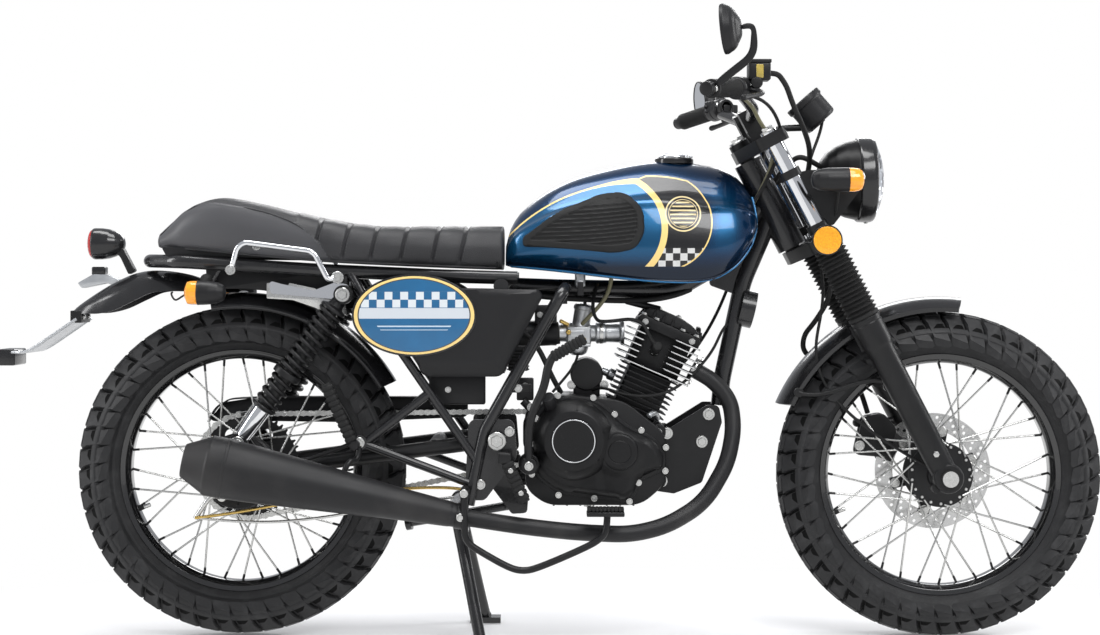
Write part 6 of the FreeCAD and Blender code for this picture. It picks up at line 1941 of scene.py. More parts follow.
@piece_operator("Speedometer")
class MOTORCYCLE_OT_speedometer(bpy.types.Operator):
    """Instrument case, dial with plain numbers, needle, glass and bracket"""
    bl_idname = "motorcycle.speedometer"

    def execute(self, context):
        case = turned("speedometer_case", [(0.0, 0.0), (0.0285, 0.0), (0.0325, 0.002), (0.0345, 0.006),
            (0.0345, 0.043), (0.0372, 0.0455), (0.0375, 0.0470), (0.0375, 0.0555), (0.0362, 0.0570),
            (0.0335, 0.0570), (0.0325, 0.0540), (0.0325, 0.0480), (0.0, 0.0478)], SPEEDO_AT, SPEEDO_UP,
            "plastic", soft=0.0012, segments=72)
        arm = tube("speedometer_arm", [on_head(0.020, 0, STEM_TOP - 0.006),
            on_head(0.050, 0, STEM_TOP + 0.002), on_head(0.082, 0, STEM_TOP + 0.003),
            Vector((0.508, 0, 0.972)), Vector((0.520, 0, 0.988))], 0.0066, "powder")
        plate = slab("speedometer_plate", (0.496, -0.024, 0.9725), (0.530, 0.024, 0.9765), "powder",
            bevel=0.001, turn=Matrix.Rotation(math.radians(-41), 3, "Y"), about=(0.512, 0, 0.974))
        face = turned("speedometer_face", [(0.0, 0.0482), (0.0324, 0.0482), (0.0324, 0.0488), (0.0, 0.0488)],
            SPEEDO_AT, SPEEDO_UP, "dial", soft=0)
        glass = turned("speedometer_glass", [(0.0, 0.0548), (0.0328, 0.0542), (0.0328, 0.0552),
            (0.0, 0.0560)], SPEEDO_AT, SPEEDO_UP, "clear", soft=0)
        # On the dial the reader's right is the machine's right, and up is forward.
        right = Vector((0, -1, 0))
        up = SPEEDO_UP.cross(right)
        up = up if up.x > 0 else -up
        centre = SPEEDO_AT + SPEEDO_UP * 0.0489
        marks = []
        for step in range(29):
            angle = math.radians(225 - 270 * step / 28)
            way = right * math.cos(angle) + up * math.sin(angle)
            across = SPEEDO_UP.cross(way)
            long = 0.0050 if step % 4 == 0 else 0.0030
            half = 0.00042 if step % 4 == 0 else 0.00024
            start, end = centre + way * (0.0315 - long), centre + way * 0.0315
            lift = SPEEDO_UP * 0.0003
            verts = [point + across * half * s + lift * k for k in (0, 1) for point in (start, end)
                for s in (-1, 1)]
            marks.append(to_object("mark", mesh_from(verts, [(0, 1, 3, 2), (4, 6, 7, 5), (0, 4, 5, 1),
                (2, 3, 7, 6), (0, 2, 6, 4), (1, 5, 7, 3)]), "dial white"))
        basis = Matrix((right, up, SPEEDO_UP)).transposed().to_4x4()
        for step in range(8):
            angle = math.radians(225 - 270 * step / 7)
            spot = centre + (right * math.cos(angle) + up * math.sin(angle)) * 0.0215
            text = bpy.data.curves.new("number", "FONT")
            text.body = str(step * 20)
            text.size = 0.0066
            text.extrude = 0.00012
            text.align_x = "CENTER"
            text.align_y = "CENTER"
            holder = bpy.data.objects.new("number", text)
            context.scene.collection.objects.link(holder)
            context.view_layer.update()
            mesh = plain_mesh(holder)
            bpy.data.objects.remove(holder)
            mesh.transform(Matrix.Translation(spot) @ basis)
            marks.append(to_object("number", mesh, "dial white"))
        needle_way = right * math.cos(math.radians(225)) + up * math.sin(math.radians(225))
        needle_side = SPEEDO_UP.cross(needle_way)
        base = centre + SPEEDO_UP * 0.0016
        verts = [base - needle_way * 0.006 + needle_side * 0.0010,
            base - needle_way * 0.006 - needle_side * 0.0010, base + needle_way * 0.0265 - needle_side
            * 0.0003, base + needle_way * 0.0265 + needle_side * 0.0003]
        verts += [vert + SPEEDO_UP * 0.0004 for vert in verts]
        marks.append(to_object("needle", mesh_from(verts, [(0, 1, 2, 3), (4, 5, 6, 7), (0, 1, 5, 4),
            (1, 2, 6, 5), (2, 3, 7, 6), (3, 0, 4, 7)]), "red paint"))
        marks.append(turned("needle_hub", [(0.0, 0.0), (0.0034, 0.0), (0.0034, 0.0026), (0.0, 0.0030)],
            centre, SPEEDO_UP, "plastic", soft=0.0004, segments=24))
        carry(joined("speedometer_visual", [case, arm, plate]), "steering", "black_plastic", "speedometer")
        carry(joined("speedometer_dial", [face] + marks), "steering", "black_plastic")
        carry(glass, "steering", "lamp")
        return {"FINISHED"}


@piece_operator("Brake caliper")
class MOTORCYCLE_OT_caliper(bpy.types.Operator):
    """Sliding caliper with its pistons, pads, bracket and bolts"""
    bl_idname = "motorcycle.brake_caliper"

    def execute(self, context):
        centre = Vector((FRONT_AXLE.x - 0.108, 0, FRONT_AXLE.z + 0.062))
        y = node_middle("brake_disc").y
        corners = [(-46, -30), (22, -36), (38, 20), (10, 52), (-30, 44)]
        loop = rounded_loop([(centre.x + x * MM, centre.z + z * MM) for x, z in corners], 0.012)
        inner = []
        for x, z in loop:
            inner.append((x, z))
        items = [
            cutout("caliper_outer", [inner], y + 0.0085, y + 0.0205, "powder", bevel=0.0025),
            cutout("caliper_inner", [inner], y - 0.0165, y - 0.0080, "powder", bevel=0.0025)
        ]
        # The bridge goes over the disc's edge.
        way = (centre - FRONT_AXLE)
        way.y = 0
        way = way.normalized()
        across = Vector((-way.z, 0, way.x))
        bridge_loop = []
        for out, wide in ((0.1205, -0.036), (0.1205, 0.036), (0.150, 0.026), (0.153, 0.0), (0.150, -0.026)):
            point = FRONT_AXLE + way * out + across * wide
            bridge_loop.append((point.x, point.z))
        items.append(cutout("caliper_bridge", [rounded_loop(bridge_loop, 0.006)], y - 0.0145, y + 0.0195,
            "powder", bevel=0.0015))
        for shift in (-0.019, 0.019):
            at = FRONT_AXLE + way * 0.098 + across * shift
            items.append(turned("piston_boss", [(0.0, 0.0), (0.0165, 0.0), (0.0165, 0.005), (0.0135, 0.0085),
                (0.0, 0.0095)], (at.x, y + 0.0195 - 0.004, at.z), (0, 1, 0), "powder", soft=0.0012,
                segments=36))
        pads = []
        for low, high in ((y + 0.0028, y + 0.0082), (y - 0.0078, y - 0.0028)):
            pad_loop = []
            for out, wide in ((0.080, -0.026), (0.080, 0.026), (0.114, 0.030), (0.114, -0.030)):
                point = FRONT_AXLE + way * out + across * wide
                pad_loop.append((point.x, point.z))
            pads.append(cutout("brake_pad", [rounded_loop(pad_loop, 0.003)], low, high, "exhaust",
                bevel=0.0005))
        arm_end = on_head(FORK_OFFSET - 0.022, FORK_HALF - 0.022, AXLE_ALONG + 0.118)
        items.append(tube("caliper_arm", [Vector((centre.x - 0.008, y + 0.012, centre.z + 0.028)),
            (Vector((centre.x - 0.008, y + 0.014, centre.z + 0.030)) + arm_end) / 2, arm_end], 0.0085,
            "powder"))
        items.append(rounded_rod("slide_pin", Vector((centre.x - 0.036, y + 0.004, centre.z + 0.030)),
            Vector((centre.x - 0.036, y + 0.026, centre.z + 0.030)), 0.0075, "rubber"))
        carry(joined("brake_caliper_visual", items + pads), "steering", "black_alloy", "brake_caliper")
        spots = [((centre.x - 0.036, y + 0.0195, centre.z + 0.030), (0, 1, 0), 1.0),
            ((centre.x + 0.026, y + 0.0195, centre.z + 0.008), (0, 1, 0), 0.9),
            ((centre.x - 0.036, y - 0.0165, centre.z - 0.012), (0, -1, 0), 1.2)]
        spots.append((arm_end + Vector((0, 0.009, 0)), (0, 1, 0), 1.0))
        carry(bolts("caliper_bolts", spots), "steering", "steel")
        return {"FINISHED"}


# ---------------------------------------------------------------------------
# Tank, seat and covers
# ---------------------------------------------------------------------------
def between(table, x, column):
    """A smooth value from a table of rows whose first column is x, by a cubic through its neighbours."""
    rows = sorted(table)
    if x <= rows[0][0]:
        return rows[0][column]
    if x >= rows[-1][0]:
        return rows[-1][column]
    index = max(k for k in range(len(rows)) if rows[k][0] <= x)
    index = min(index, len(rows) - 2)
    a, b = rows[index], rows[index + 1]
    before, after = rows[max(index - 1, 0)], rows[min(index + 2, len(rows) - 1)]
    span = b[0] - a[0]
    slope_a = (b[column] - before[column]) / (b[0] - before[0]) * span
    slope_b = (after[column] - a[column]) / (after[0] - a[0]) * span
    t = (x - a[0]) / span
    return ((2 * t ** 3 - 3 * t ** 2 + 1) * a[column] + (t ** 3 - 2 * t ** 2 + t) * slope_a
        + (3 * t ** 2 - 2 * t ** 3) * b[column] + (t ** 3 - t ** 2) * slope_b)


def smooth_line(points, per_span):
    """Points on a Catmull-Rom curve through the given ones."""
    result = []
    count = len(points)
    for index in range(count - 1):
        p0, p1 = points[max(index - 1, 0)], points[index]
        p2, p3 = points[index + 1], points[min(index + 2, count - 1)]
        for step in range(per_span):
            t = step / per_span
            result.append(0.5 * ((2 * p1) + (p2 - p0) * t + (2 * p0 - 5 * p1 + 4 * p2 - p3) * t ** 2
                + (3 * p1 - p0 - 3 * p2 + p3) * t ** 3))
    result.append(points[-1])
    return result


TANK_SECTIONS = [  # x, bottom, shoulder, top, half widths: foot, side, shoulder; all millimetres
    (-83, 707, 732, 746, 50, 57, 44),
    (-74, 705, 756, 778, 55, 68, 52),
    (-52, 703, 779, 811, 61, 83, 61),
    (20, 696, 815, 863, 84, 111, 79),
    (120, 684, 834, 894, 104, 128, 90),
    (215, 675, 842, 908, 112, 131, 90),
    (300, 678, 832, 899, 108, 127, 84),
    (345, 700, 828, 886, 96, 119, 78),
    (374, 733, 817, 860, 82, 103, 68),
    (385, 752, 810, 843, 72, 90, 62),
    (391, 770, 803, 826, 62, 76, 53),
]
TUNNEL = [(-120, 722), (230, 722), (330, 788), (460, 900)]


def tank_ring(x):
    low, shoulder, top, foot, side, top_half = [between(TANK_SECTIONS, x, column) for column in range(1, 7)]
    tunnel = between(TUNNEL, x, 1)
    tunnel = max(low + 3, min(tunnel, top - 16))
    middle = low + (shoulder - low) * 0.50
    upper = [Vector((foot + 1.5, low + 6)), Vector((side * 0.985, low + (shoulder - low) * 0.26)),
        Vector((side, middle)), Vector(((side + top_half) / 2 + 3.5, shoulder - (shoulder - low) * 0.115)),
        Vector((top_half, shoulder)), Vector((top_half * 0.66, top - (top - shoulder) * 0.36)),
        Vector((top_half * 0.33, top - (top - shoulder) * 0.085)), Vector((0, top))]
    inside = min(34.0, foot - 14)
    flat = [Vector((0, tunnel)), Vector((inside - 2, tunnel)), Vector((inside, tunnel - 2)),
        Vector((inside, low + 2)), Vector((inside + 2, low)), Vector((foot - 3, low)),
        Vector((foot + 3.2, low + 0.4)), Vector((foot + 4.4, low + 2.4)), Vector((foot + 3.4, low + 4.4))]
    half = flat + smooth_line(upper, 4)
    ring = [Vector((x, point.x, point.y)) for point in half]
    ring += [Vector((x, -point.x, point.y)) for point in half[-2:0:-1]]
    return [point * MM for point in ring]


@piece_operator("Fuel tank")
class MOTORCYCLE_OT_tank(bpy.types.Operator):
    """Painted teardrop tank with its seam flange and the tunnel over the frame"""
    bl_idname = "motorcycle.fuel_tank"

    def execute(self, context):
        stations = [-83, -82, -79, -74, -66, -56] + list(range(-44, 360, 13)) + [364, 373, 381, 387, 390, 391]
        rings = [tank_ring(x) for x in stations]
        mesh = rings_mesh(rings, caps=False)
        work = bmesh.new()
        work.from_mesh(mesh)
        # Each end is closed with a flat fan of triangles.
        bound = [edge for edge in work.edges if edge.is_boundary]
        for end in (min, max):
            edge_x = end(vert.co.x for vert in work.verts)
            loop = [edge for edge in bound if all(abs(vert.co.x - edge_x) < 1e-6 for vert in edge.verts)]
            bmesh.ops.triangle_fill(work, edges=loop, use_beauty=True)
        bmesh.ops.recalc_face_normals(work, faces=work.faces)
        work.to_mesh(mesh)
        work.free()
        body = to_object("fuel_tank_visual", mesh, "tank", sharp=42)
        carry(body, "frame", "blue_paint", "fuel_tank")
        # The welded lip along the tank's foot and up round its nose.
        lips = []
        for side in (-1, 1):
            points = []
            for x in list(range(-74, 350, 30)) + [362, 374, 384]:
                low, _, _, foot, wide, _ = [between(TANK_SECTIONS, x, column) for column in range(1, 7)]
                points.append(Vector((x / 1000, side * (foot + (wide - foot) * 0.12) / 1000,
                    low / 1000 + 0.001)))
            points += [Vector((0.3895, side * 0.070, 0.772)), Vector((0.3905, side * 0.072, 0.792)),
                Vector((0.3890, side * 0.066, 0.812)), Vector((0.3830, side * 0.060, 0.836))]
            lips.append(tube("tank_lip", points, 0.0021, "lip", resolution=5, sides=3))
        carry(joined("tank_lips", lips), "frame", "blue_paint")
        petcock = joined("fuel_tap", [
            rounded_rod("tap_body", (0.058, -0.066, 0.668), (0.058, -0.066, 0.692), 0.010, "alloy"),
            rounded_rod("tap_barrel", (0.058, -0.094, 0.671), (0.058, -0.058, 0.671), 0.008, "alloy"),
            slab("tap_lever", (0.052, -0.101, 0.650), (0.064, -0.096, 0.676), "plastic", bevel=0.0015)
        ])
        carry(petcock, "frame", "alloy")
        return {"FINISHED"}


CAP_AT = Vector((0.239, 0, 0.902))


@piece_operator("Fuel cap")
class MOTORCYCLE_OT_fuel_cap(bpy.types.Operator):
    """Flush fuel cap with its ring, flap, hinge and screws"""
    bl_idname = "motorcycle.fuel_cap"

    def execute(self, context):
        ring = turned("cap_ring", [(0.0300, 0.0), (0.0370, 0.0), (0.0370, 0.0085), (0.0352, 0.0110),
            (0.0318, 0.0118), (0.0300, 0.0104)], CAP_AT, (0, 0, 1), "gloss plastic", segments=80, closed=True)
        lid = turned("cap_lid", [(0.0, 0.0), (0.0296, 0.0), (0.0296, 0.0120), (0.0286, 0.0150),
            (0.0250, 0.0176), (0.0180, 0.0190), (0.0176, 0.0180), (0.0120, 0.0184), (0.0, 0.0188)], CAP_AT,
            (0, 0, 1), "chrome", segments=80)
        key = slab("cap_flap", (CAP_AT.x - 0.017, -0.009, CAP_AT.z + 0.0180),
            (CAP_AT.x + 0.012, 0.009, CAP_AT.z + 0.0215), "chrome", bevel=0.0016)
        hinge = rounded_rod("cap_hinge", (CAP_AT.x + 0.0315, -0.010, CAP_AT.z + 0.0125),
            (CAP_AT.x + 0.0315, 0.010, CAP_AT.z + 0.0125), 0.0036, "chrome")
        carry(joined("fuel_cap_visual", [lid, key, hinge]), "frame", "chrome", "fuel_cap")
        carry(ring, "frame", "black_plastic")
        spots = []
        for angle in angles(6, 0.5):
            spots.append((CAP_AT + Vector((0.0334 * math.cos(angle), 0.0334 * math.sin(angle), 0.0114)),
                (0, 0, 1), 0.30))
        carry(bolts("cap_screws", spots), "frame", "steel")
        return {"FINISHED"}


def patch(name, loops, spacing, lay, finish_name, sharp=40.0, rows=(0.0008, 0.0022)):
    """A padded patch over a surface: lay(x, z, inset) gives a point above it and one below, in metres.

    The first loop is the outline in (x, z). The points inside lie on a grid, and inset is the distance
    to the edge.
    """
    outline = [Vector(point) for point in loops[0]]
    count = len(outline)

    def inset_of(point):
        best = 1.0
        for index in range(count):
            a, b = outline[index], outline[(index + 1) % count]
            line = b - a
            t = max(0.0, min(1.0, (point - a).dot(line) / max(line.length_squared, 1e-12)))
            best = min(best, (point - (a + line * t)).length)
        return best

    def inside(point):
        hit = False
        for index in range(count):
            a, b = outline[index], outline[(index + 1) % count]
            if (a.y > point.y) != (b.y > point.y):
                crossing = (b.x - a.x) * (point.y - a.y) / (b.y - a.y) + a.x
                hit = hit != (point.x < crossing)
        return hit

    centre = sum(outline, Vector((0, 0))) / count
    points = list(outline)
    for depth in rows:
        for index in range(count):
            before, after = outline[index - 1], outline[(index + 1) % count]
            along = (after - before).normalized()
            normal = Vector((-along.y, along.x))
            if (centre - outline[index]).dot(normal) < 0:
                normal = -normal
            points.append(outline[index] + normal * depth)
    low = Vector((min(p.x for p in outline), min(p.y for p in outline)))
    high = Vector((max(p.x for p in outline), max(p.y for p in outline)))
    margin = rows[-1] + spacing * 0.45
    for row in range(int((high.y - low.y) / spacing) + 1):
        for column in range(int((high.x - low.x) / spacing) + 1):
            point = low + Vector((column * spacing, row * spacing))
            if inside(point) and inset_of(point) > margin:
                points.append(point)
    edges = [(index, (index + 1) % count) for index in range(count)]
    flat, _, triangles, _, _, _ = delaunay_2d_cdt(points, edges, [], 1, 1e-7)
    insets = [inset_of(point) for point in flat]
    tops, bottoms = [], []
    for point, inset in zip(flat, insets):
        above, below = lay(point.x, point.y, inset)
        tops.append(above)
        bottoms.append(above if inset < 1e-5 else below)
    verts = tops + bottoms
    size = len(tops)
    faces = [tuple(face) for face in triangles] + [tuple(size + index for index in reversed(face))
        for face in triangles]
    return to_object(name, mesh_from(verts, faces), finish_name, sharp=sharp)


class Skin:
    """Finds the side of a finished piece, so that another can lie on it."""

    def __init__(self, made):
        self.tree = BVHTree.FromPolygons([vert.co.copy() for vert in made.data.vertices],
            [tuple(face.vertices) for face in made.data.polygons])

    def side(self, x, z, side=-1):
        """The outermost point of the piece at (x, z), and the direction out of it."""
        start = Vector((x, side * 0.4, z))
        place, normal, _, _ = self.tree.ray_cast(start, Vector((0, -side, 0)))
        if place is None:
            place, normal, _, _ = self.tree.find_nearest(Vector((x, side * 0.13, z)))
        if normal.dot(Vector((0, side, 0))) < 0:
            normal = -normal
        return place, normal


@piece_operator("Knee pads")
class MOTORCYCLE_OT_knee_pads(bpy.types.Operator):
    """Ribbed rubber knee pads that follow the tank's sides"""
    bl_idname = "motorcycle.knee_pads"

    def execute(self, context):
        skin = Skin(bpy.data.objects["fuel_tank_visual"])
        corners = metres([(-50, 742), (-50, 760), (12, 806), (98, 842), (142, 845), (176, 812), (177, 766),
            (160, 737), (122, 729)])
        loop = rounded_loop(corners, 0.030, 8)

        def lay(x, z, inset):
            place, normal = skin.side(x, z)
            # Ribs run along the pad and dip gently towards its nose.
            line = z + 0.010 * math.sin((x + 0.05) * 9.0) - (x - 0.05) * 0.10
            rib = max(0.0, math.sin(line * 2 * math.pi / 0.0076)) ** 0.6
            shoulder = max(0.0, min(1.0, (inset - 0.0125) / 0.0016))
            edge = min(1.0, inset / 0.0022) ** 0.5
            border = 0.0046 * edge
            field = 0.0018 + 0.0024 * rib
            height = border * (1 - shoulder) + field * shoulder
            return place + normal * (height - 0.0004), place - normal * 0.0012

        pad = patch("knee_pad", [loop], 0.0017, lay, "rubber", sharp=60)
        pads = [pad, mirrored(pad)]
        carry(joined("knee_pads_visual", pads), "frame", "rubber", "knee_pads")
        return {"FINISHED"}


SEAT_SECTIONS = [  # x, low, top, half width, in millimetres
    (-90, 698.0, 783, 86), (-190, 701.5, 783, 114), (-330, 707.5, 784, 128), (-440, 713.5, 801, 128),
    (-552, 722.5, 828, 120), (-625, 729.5, 838, 112), (-690, 735.0, 814, 94), (-738, 739.0, 768, 62),
]
SEAMS_AT = (-0.154, -0.205, -0.264, -0.320, -0.373, -0.427)
# The raised line between the grained top and the smooth hump side: x, height, in millimetres.
HUMP_LINE = [(-738, 764), (-690, 806), (-654, 824), (-572, 816), (-521, 803), (-470, 784), (-433, 752),
    (-404, 712)]
HUMP_START = -0.404
SEAT_SPLIT = -0.5525  # where the frame parts the seat from its cowl


def seat_ring(x, samples):
    """Points across the seat at x, from one lower edge over the top to the other, with their shares."""
    low, top, half = [between(SEAT_SECTIONS, x, column) for column in (1, 2, 3)]
    height = top - low
    half_line = [Vector((half - 15, low)), Vector((half - 5, low + height * 0.14)),
        Vector((half - 0.5, low + height * 0.36)), Vector((half - 2, low + height * 0.58)),
        Vector((half - 12, low + height * 0.80)), Vector((half - 31, low + height * 0.935)),
        Vector((half * 0.50, low + height * 0.985)), Vector((0, top))]
    line = smooth_line(half_line, 6)
    line = line + [Vector((-point.x, point.y)) for point in line[-2::-1]]
    lengths = [0.0]
    for a, b in zip(line, line[1:]):
        lengths.append(lengths[-1] + (b - a).length)
    result = []
    for step in range(samples + 1):
        want = lengths[-1] * step / samples
        index = min(max(k for k in range(len(lengths)) if lengths[k] <= want + 1e-9), len(line) - 2)
        t = (want - lengths[index]) / max(lengths[index + 1] - lengths[index], 1e-9)
        point = line[index].lerp(line[index + 1], t)
        result.append(Vector((x, point.x, point.y)) * MM)
    return result


def seam_x(x_top, z):
    """A cross seam leans back as it goes down the side."""
    return x_top - 0.016 * max(0.0, min(1.0, (0.783 - z) / 0.075))


@piece_operator("Seat")
class MOTORCYCLE_OT_seat(bpy.types.Operator):
    """Seat with sewn channels, its piping and the smooth sides of the hump"""
    bl_idname = "motorcycle.seat"

    def execute(self, context):
        depth = context.scene.motorcycle_seat.seam_depth
        samples = 120
        stations = []
        x = -0.090
        while x > -0.738:
            near = min(abs(x - seam) for seam in SEAMS_AT)
            stations.append(x)
            x -= 0.0016 if near < 0.014 else 0.0034
        stations.append(-0.738)
        rings = []
        for x in stations:
            ring = seat_ring(x / MM, samples)
            middle = Vector((x, 0, between(SEAT_SECTIONS, x / MM, 1) * MM + 0.03))
            shaped = []
            for index, point in enumerate(ring):
                before, after = ring[max(index - 1, 0)], ring[min(index + 1, samples)]
                tangent = (after - before).normalized()
                out = Vector((1, 0, 0)).cross(tangent).normalized()
                if out.dot(point - middle) < 0:
                    out = -out
                sink = 0.0
                pillow = 0.0
                line_z = between(HUMP_LINE, x / MM, 1) * MM if x < HUMP_START else -1.0
                on_top = point.z > line_z + 0.001
                if on_top and x > -0.47:
                    for seam in SEAMS_AT:
                        away = (x - seam_x(seam, point.z)) / 0.0026
                        sink = max(sink, depth * math.exp(-away * away))
                    spacing = 0.055
                    nearest = min(abs(x - seam_x(seam, point.z)) for seam in SEAMS_AT)
                    pillow = 0.0022 * min(1.0, nearest / (spacing * 0.42)) ** 0.7
                # The lower edge tucks in under the piping.
                low_share = min(index, samples - index) / samples
                ease = min(1.0, low_share / 0.035)
                sink *= min(1.0, max(0.0, (low_share - 0.02) / 0.03))
                moved = point + out * (pillow * ease - sink - 0.0022)
                if x < HUMP_START:
                    # The hump's side stands a little proud below its line.
                    gap = point.z - line_z
                    step = 1.0 if gap < -0.0012 else (0.0 if gap > 0.0012 else (0.0012 - gap) / 0.0024)
                    moved += out * 0.0022 * step * ease
                    ridge = math.exp(-(gap / 0.0022) ** 2)
                    moved += out * 0.0018 * ridge * ease
                shaped.append(moved)
            rings.append(shaped)
        # The nose and the tail are closed by shrinking copies of the end rings.
        def drawn_in(ring, shift, share):
            middle = sum(ring, Vector()) / len(ring)
            return [Vector((point.x + shift, middle.y + (point.y - middle.y) * share,
                middle.z + (point.z - middle.z) * share)) for point in ring]
        nose = [
            drawn_in(rings[0], 0.0035, 0.45),
            drawn_in(rings[0], 0.0030, 0.80),
            drawn_in(rings[0], 0.0015, 0.965)
        ]
        tail = [
            drawn_in(rings[-1], -0.0025, 0.93),
            drawn_in(rings[-1], -0.0045, 0.75),
            drawn_in(rings[-1], -0.0055, 0.4)
        ]
        body = to_object("seat_shell", rings_mesh(nose + rings + tail), "vinyl", "cowl vinyl", sharp=70)
        for face in body.data.polygons:
            centre = face.center
            if centre.x < HUMP_START and centre.z < between(HUMP_LINE, centre.x / MM, 1) * MM:
                face.material_index = 1
        # The two halves are separate pieces, as the frame has them.
        front = part_of(body, "seat_visual", lambda face: face.x > SEAT_SPLIT)
        rear = part_of(body, "seat_cowl_visual", lambda face: face.x <= SEAT_SPLIT)
        bpy.data.objects.remove(body)
        carry(front, "frame", "vinyl", "seat")
        carry(rear, "frame", "vinyl", "seat_cowl")

        skin = Skin(front)
        rear_skin = Skin(rear)
        piping = []
        for side in (-1, 1):
            line = []
            for x in [-0.085 - 0.011 * k for k in range(60)]:
                if x < -0.742:
                    break
                z = (between(SEAT_SECTIONS, x / MM, 1) + 4.0) * MM
                place, normal = (skin if x > SEAT_SPLIT else rear_skin).side(x, z, side)
                line.append(place + normal * 0.0004)
            piping.append(tube("seat_piping", line, 0.0024, "vinyl", resolution=3, sides=3))
        welt = []
        for side in (-1, 1):
            line = []
            for x, z in HUMP_LINE[::-1]:
                place, normal = (skin if x * MM > SEAT_SPLIT else rear_skin).side(x * MM, z * MM, side)
                line.append(place + normal * 0.0006)
            welt.append(tube("hump_welt", line, 0.0015, "vinyl", resolution=6, sides=3))
        carry(joined("seat_piping", piping + welt), "frame", "vinyl")
        # Stitches run both sides of each seam over the top.
        pitch = context.scene.motorcycle_seat.stitch_pitch
        lines = []
        for seam in SEAMS_AT:
            for offset in (-0.0052, 0.0052):
                line = []
                for index in range(8, 113):
                    ring = seat_ring((seam + offset) / MM, samples)
                    line.append(ring[index])
                lines.append(line)
        stitches = []
        for number, line in enumerate(lines):
            placed = []
            for point in line:
                target = Vector((point.x + seam_x(0, point.z), point.y, point.z))
                centre = Vector((target.x, 0, 0.74))
                hit, normal, _, _ = skin.tree.ray_cast(centre + (target - centre) * 2.5,
                    (centre - target).normalized())
                if hit is not None:
                    placed.append(hit + normal * 0.0002)
            if len(placed) > 6:
                stitch = turned("stitch_part", [(0.0, -0.0019), (0.00042, -0.0016), (0.00050, 0.0),
                    (0.00042, 0.0016), (0.0, 0.0019)], (0, 0, 0), (1, 0, 0), "thread", soft=0, segments=5)
                stitches.append(grown(f"stitches_{number}", path_growth, carrier_mesh(placed, chain=True),
                    stitch, "thread", Pitch=pitch, Side=(1.0, 0, 0)))
        carry(joined("seat_stitches", stitches), "frame", "vinyl")
        pan = slab("seat_pan", (-0.560, -0.088, 0.6985), (-0.110, 0.088, 0.7045), "plastic", bevel=0.002,
            turn=Matrix.Rotation(math.radians(2.6), 3, "Y"), about=(-0.33, 0, 0.70))
        carry(pan, "frame", "black_plastic")
        return {"FINISHED"}


def part_of(made, name, keep):
    """A copy of an object with only the faces whose middle passes a test, its cut edge closed."""
    work = bmesh.new()
    work.from_mesh(made.data)
    lost = [face for face in work.faces if not keep(face.calc_center_median())]
    bmesh.ops.delete(work, geom=lost, context="FACES")
    edges = [edge for edge in work.edges if edge.is_boundary]
    if edges:
        bmesh.ops.holes_fill(work, edges=edges, sides=0)
    mesh = bpy.data.meshes.new(name)
    work.to_mesh(mesh)
    work.free()
    for material in made.data.materials:
        mesh.materials.append(material)
    mesh.shade_smooth()
    mesh.set_sharp_from_angle(angle=math.radians(70))
    result = bpy.data.objects.new(name, mesh)
    bpy.context.scene.collection.objects.link(result)
    return result


PLAQUE_AT = Vector((-0.250, 0, 0.614))
PLAQUE_HALF = Vector((0.113, 0, 0.074))


@piece_operator("Side covers")
class MOTORCYCLE_OT_side_covers(bpy.types.Operator):
    """Side covers with a bevelled lower band, and the oval panels on them"""
    bl_idname = "motorcycle.side_covers"

    def execute(self, context):
        corners = metres([(-150, 664), (-18, 661), (-12, 650), (-88, 500), (-235, 500), (-252, 541),
            (-344, 600), (-352, 652), (-300, 664)])
        loop = rounded_loop(corners, 0.014, 6)

        def lay(x, z, inset):
            # A level middle, a bevelled band along the foot and the front, and a rounded rim.
            foot = z - 0.500
            front = (-0.012 - 0.507 * (0.650 - z) - x) * 0.892
            band = min(foot, front)
            slope = max(0.0, min(1.0, (0.024 - band) / 0.020))
            rim = max(0.0, 1 - inset / 0.0035) ** 2
            y = 0.1485 - 0.0085 * slope - 0.0038 * rim - 0.004 * max(0.0, (x + 0.10) * 4) ** 2
            return Vector((x, -y, z)), Vector((x, -y + 0.0035, z))

        panel = patch("side_cover", [loop], 0.0055, lay, "plastic", sharp=28)
        items = [panel, mirrored(panel)]
        for side in (-1, 1):
            items.append(rounded_rod("cover_post", (-0.150, side * 0.104, 0.580),
                (-0.150, side * 0.1445, 0.580), 0.007, "plastic"))
        carry(joined("side_covers_visual", items), "frame", "black_plastic", "side_covers")

        plaques, rims = [], []
        oval, wide = [[(PLAQUE_AT.x + (PLAQUE_HALF.x + edge) * math.cos(angle),
            PLAQUE_AT.z + (PLAQUE_HALF.z + edge) * math.sin(angle)) for angle in angles(96)]
            for edge in (0.0, 0.0022)]

        def dome(x, z, inset):
            edge = min(1.0, inset / 0.004)
            swell = 1 - ((x - PLAQUE_AT.x) / PLAQUE_HALF.x) ** 2 - ((z - PLAQUE_AT.z) / PLAQUE_HALF.z) ** 2
            y = 0.1500 + 0.0012 * edge ** 0.5 + 0.0015 * max(0.0, swell)
            return Vector((x, -min(y, 0.1526), z)), Vector((x, -0.1492, z))

        plaque = patch("plaque", [oval], 0.006, dome, "plaque", sharp=60)
        rim = cutout("plaque_rim", [wide], -0.1508, -0.1480, "gloss plastic", bevel=0.0008)
        plaques += [plaque, mirrored(plaque)]
        rims += [rim, mirrored(rim)]
        carry(joined("side_plaques", plaques), "frame", "blue_paint")
        carry(joined("plaque_rims", rims), "frame", "black_plastic")
        return {"FINISHED"}


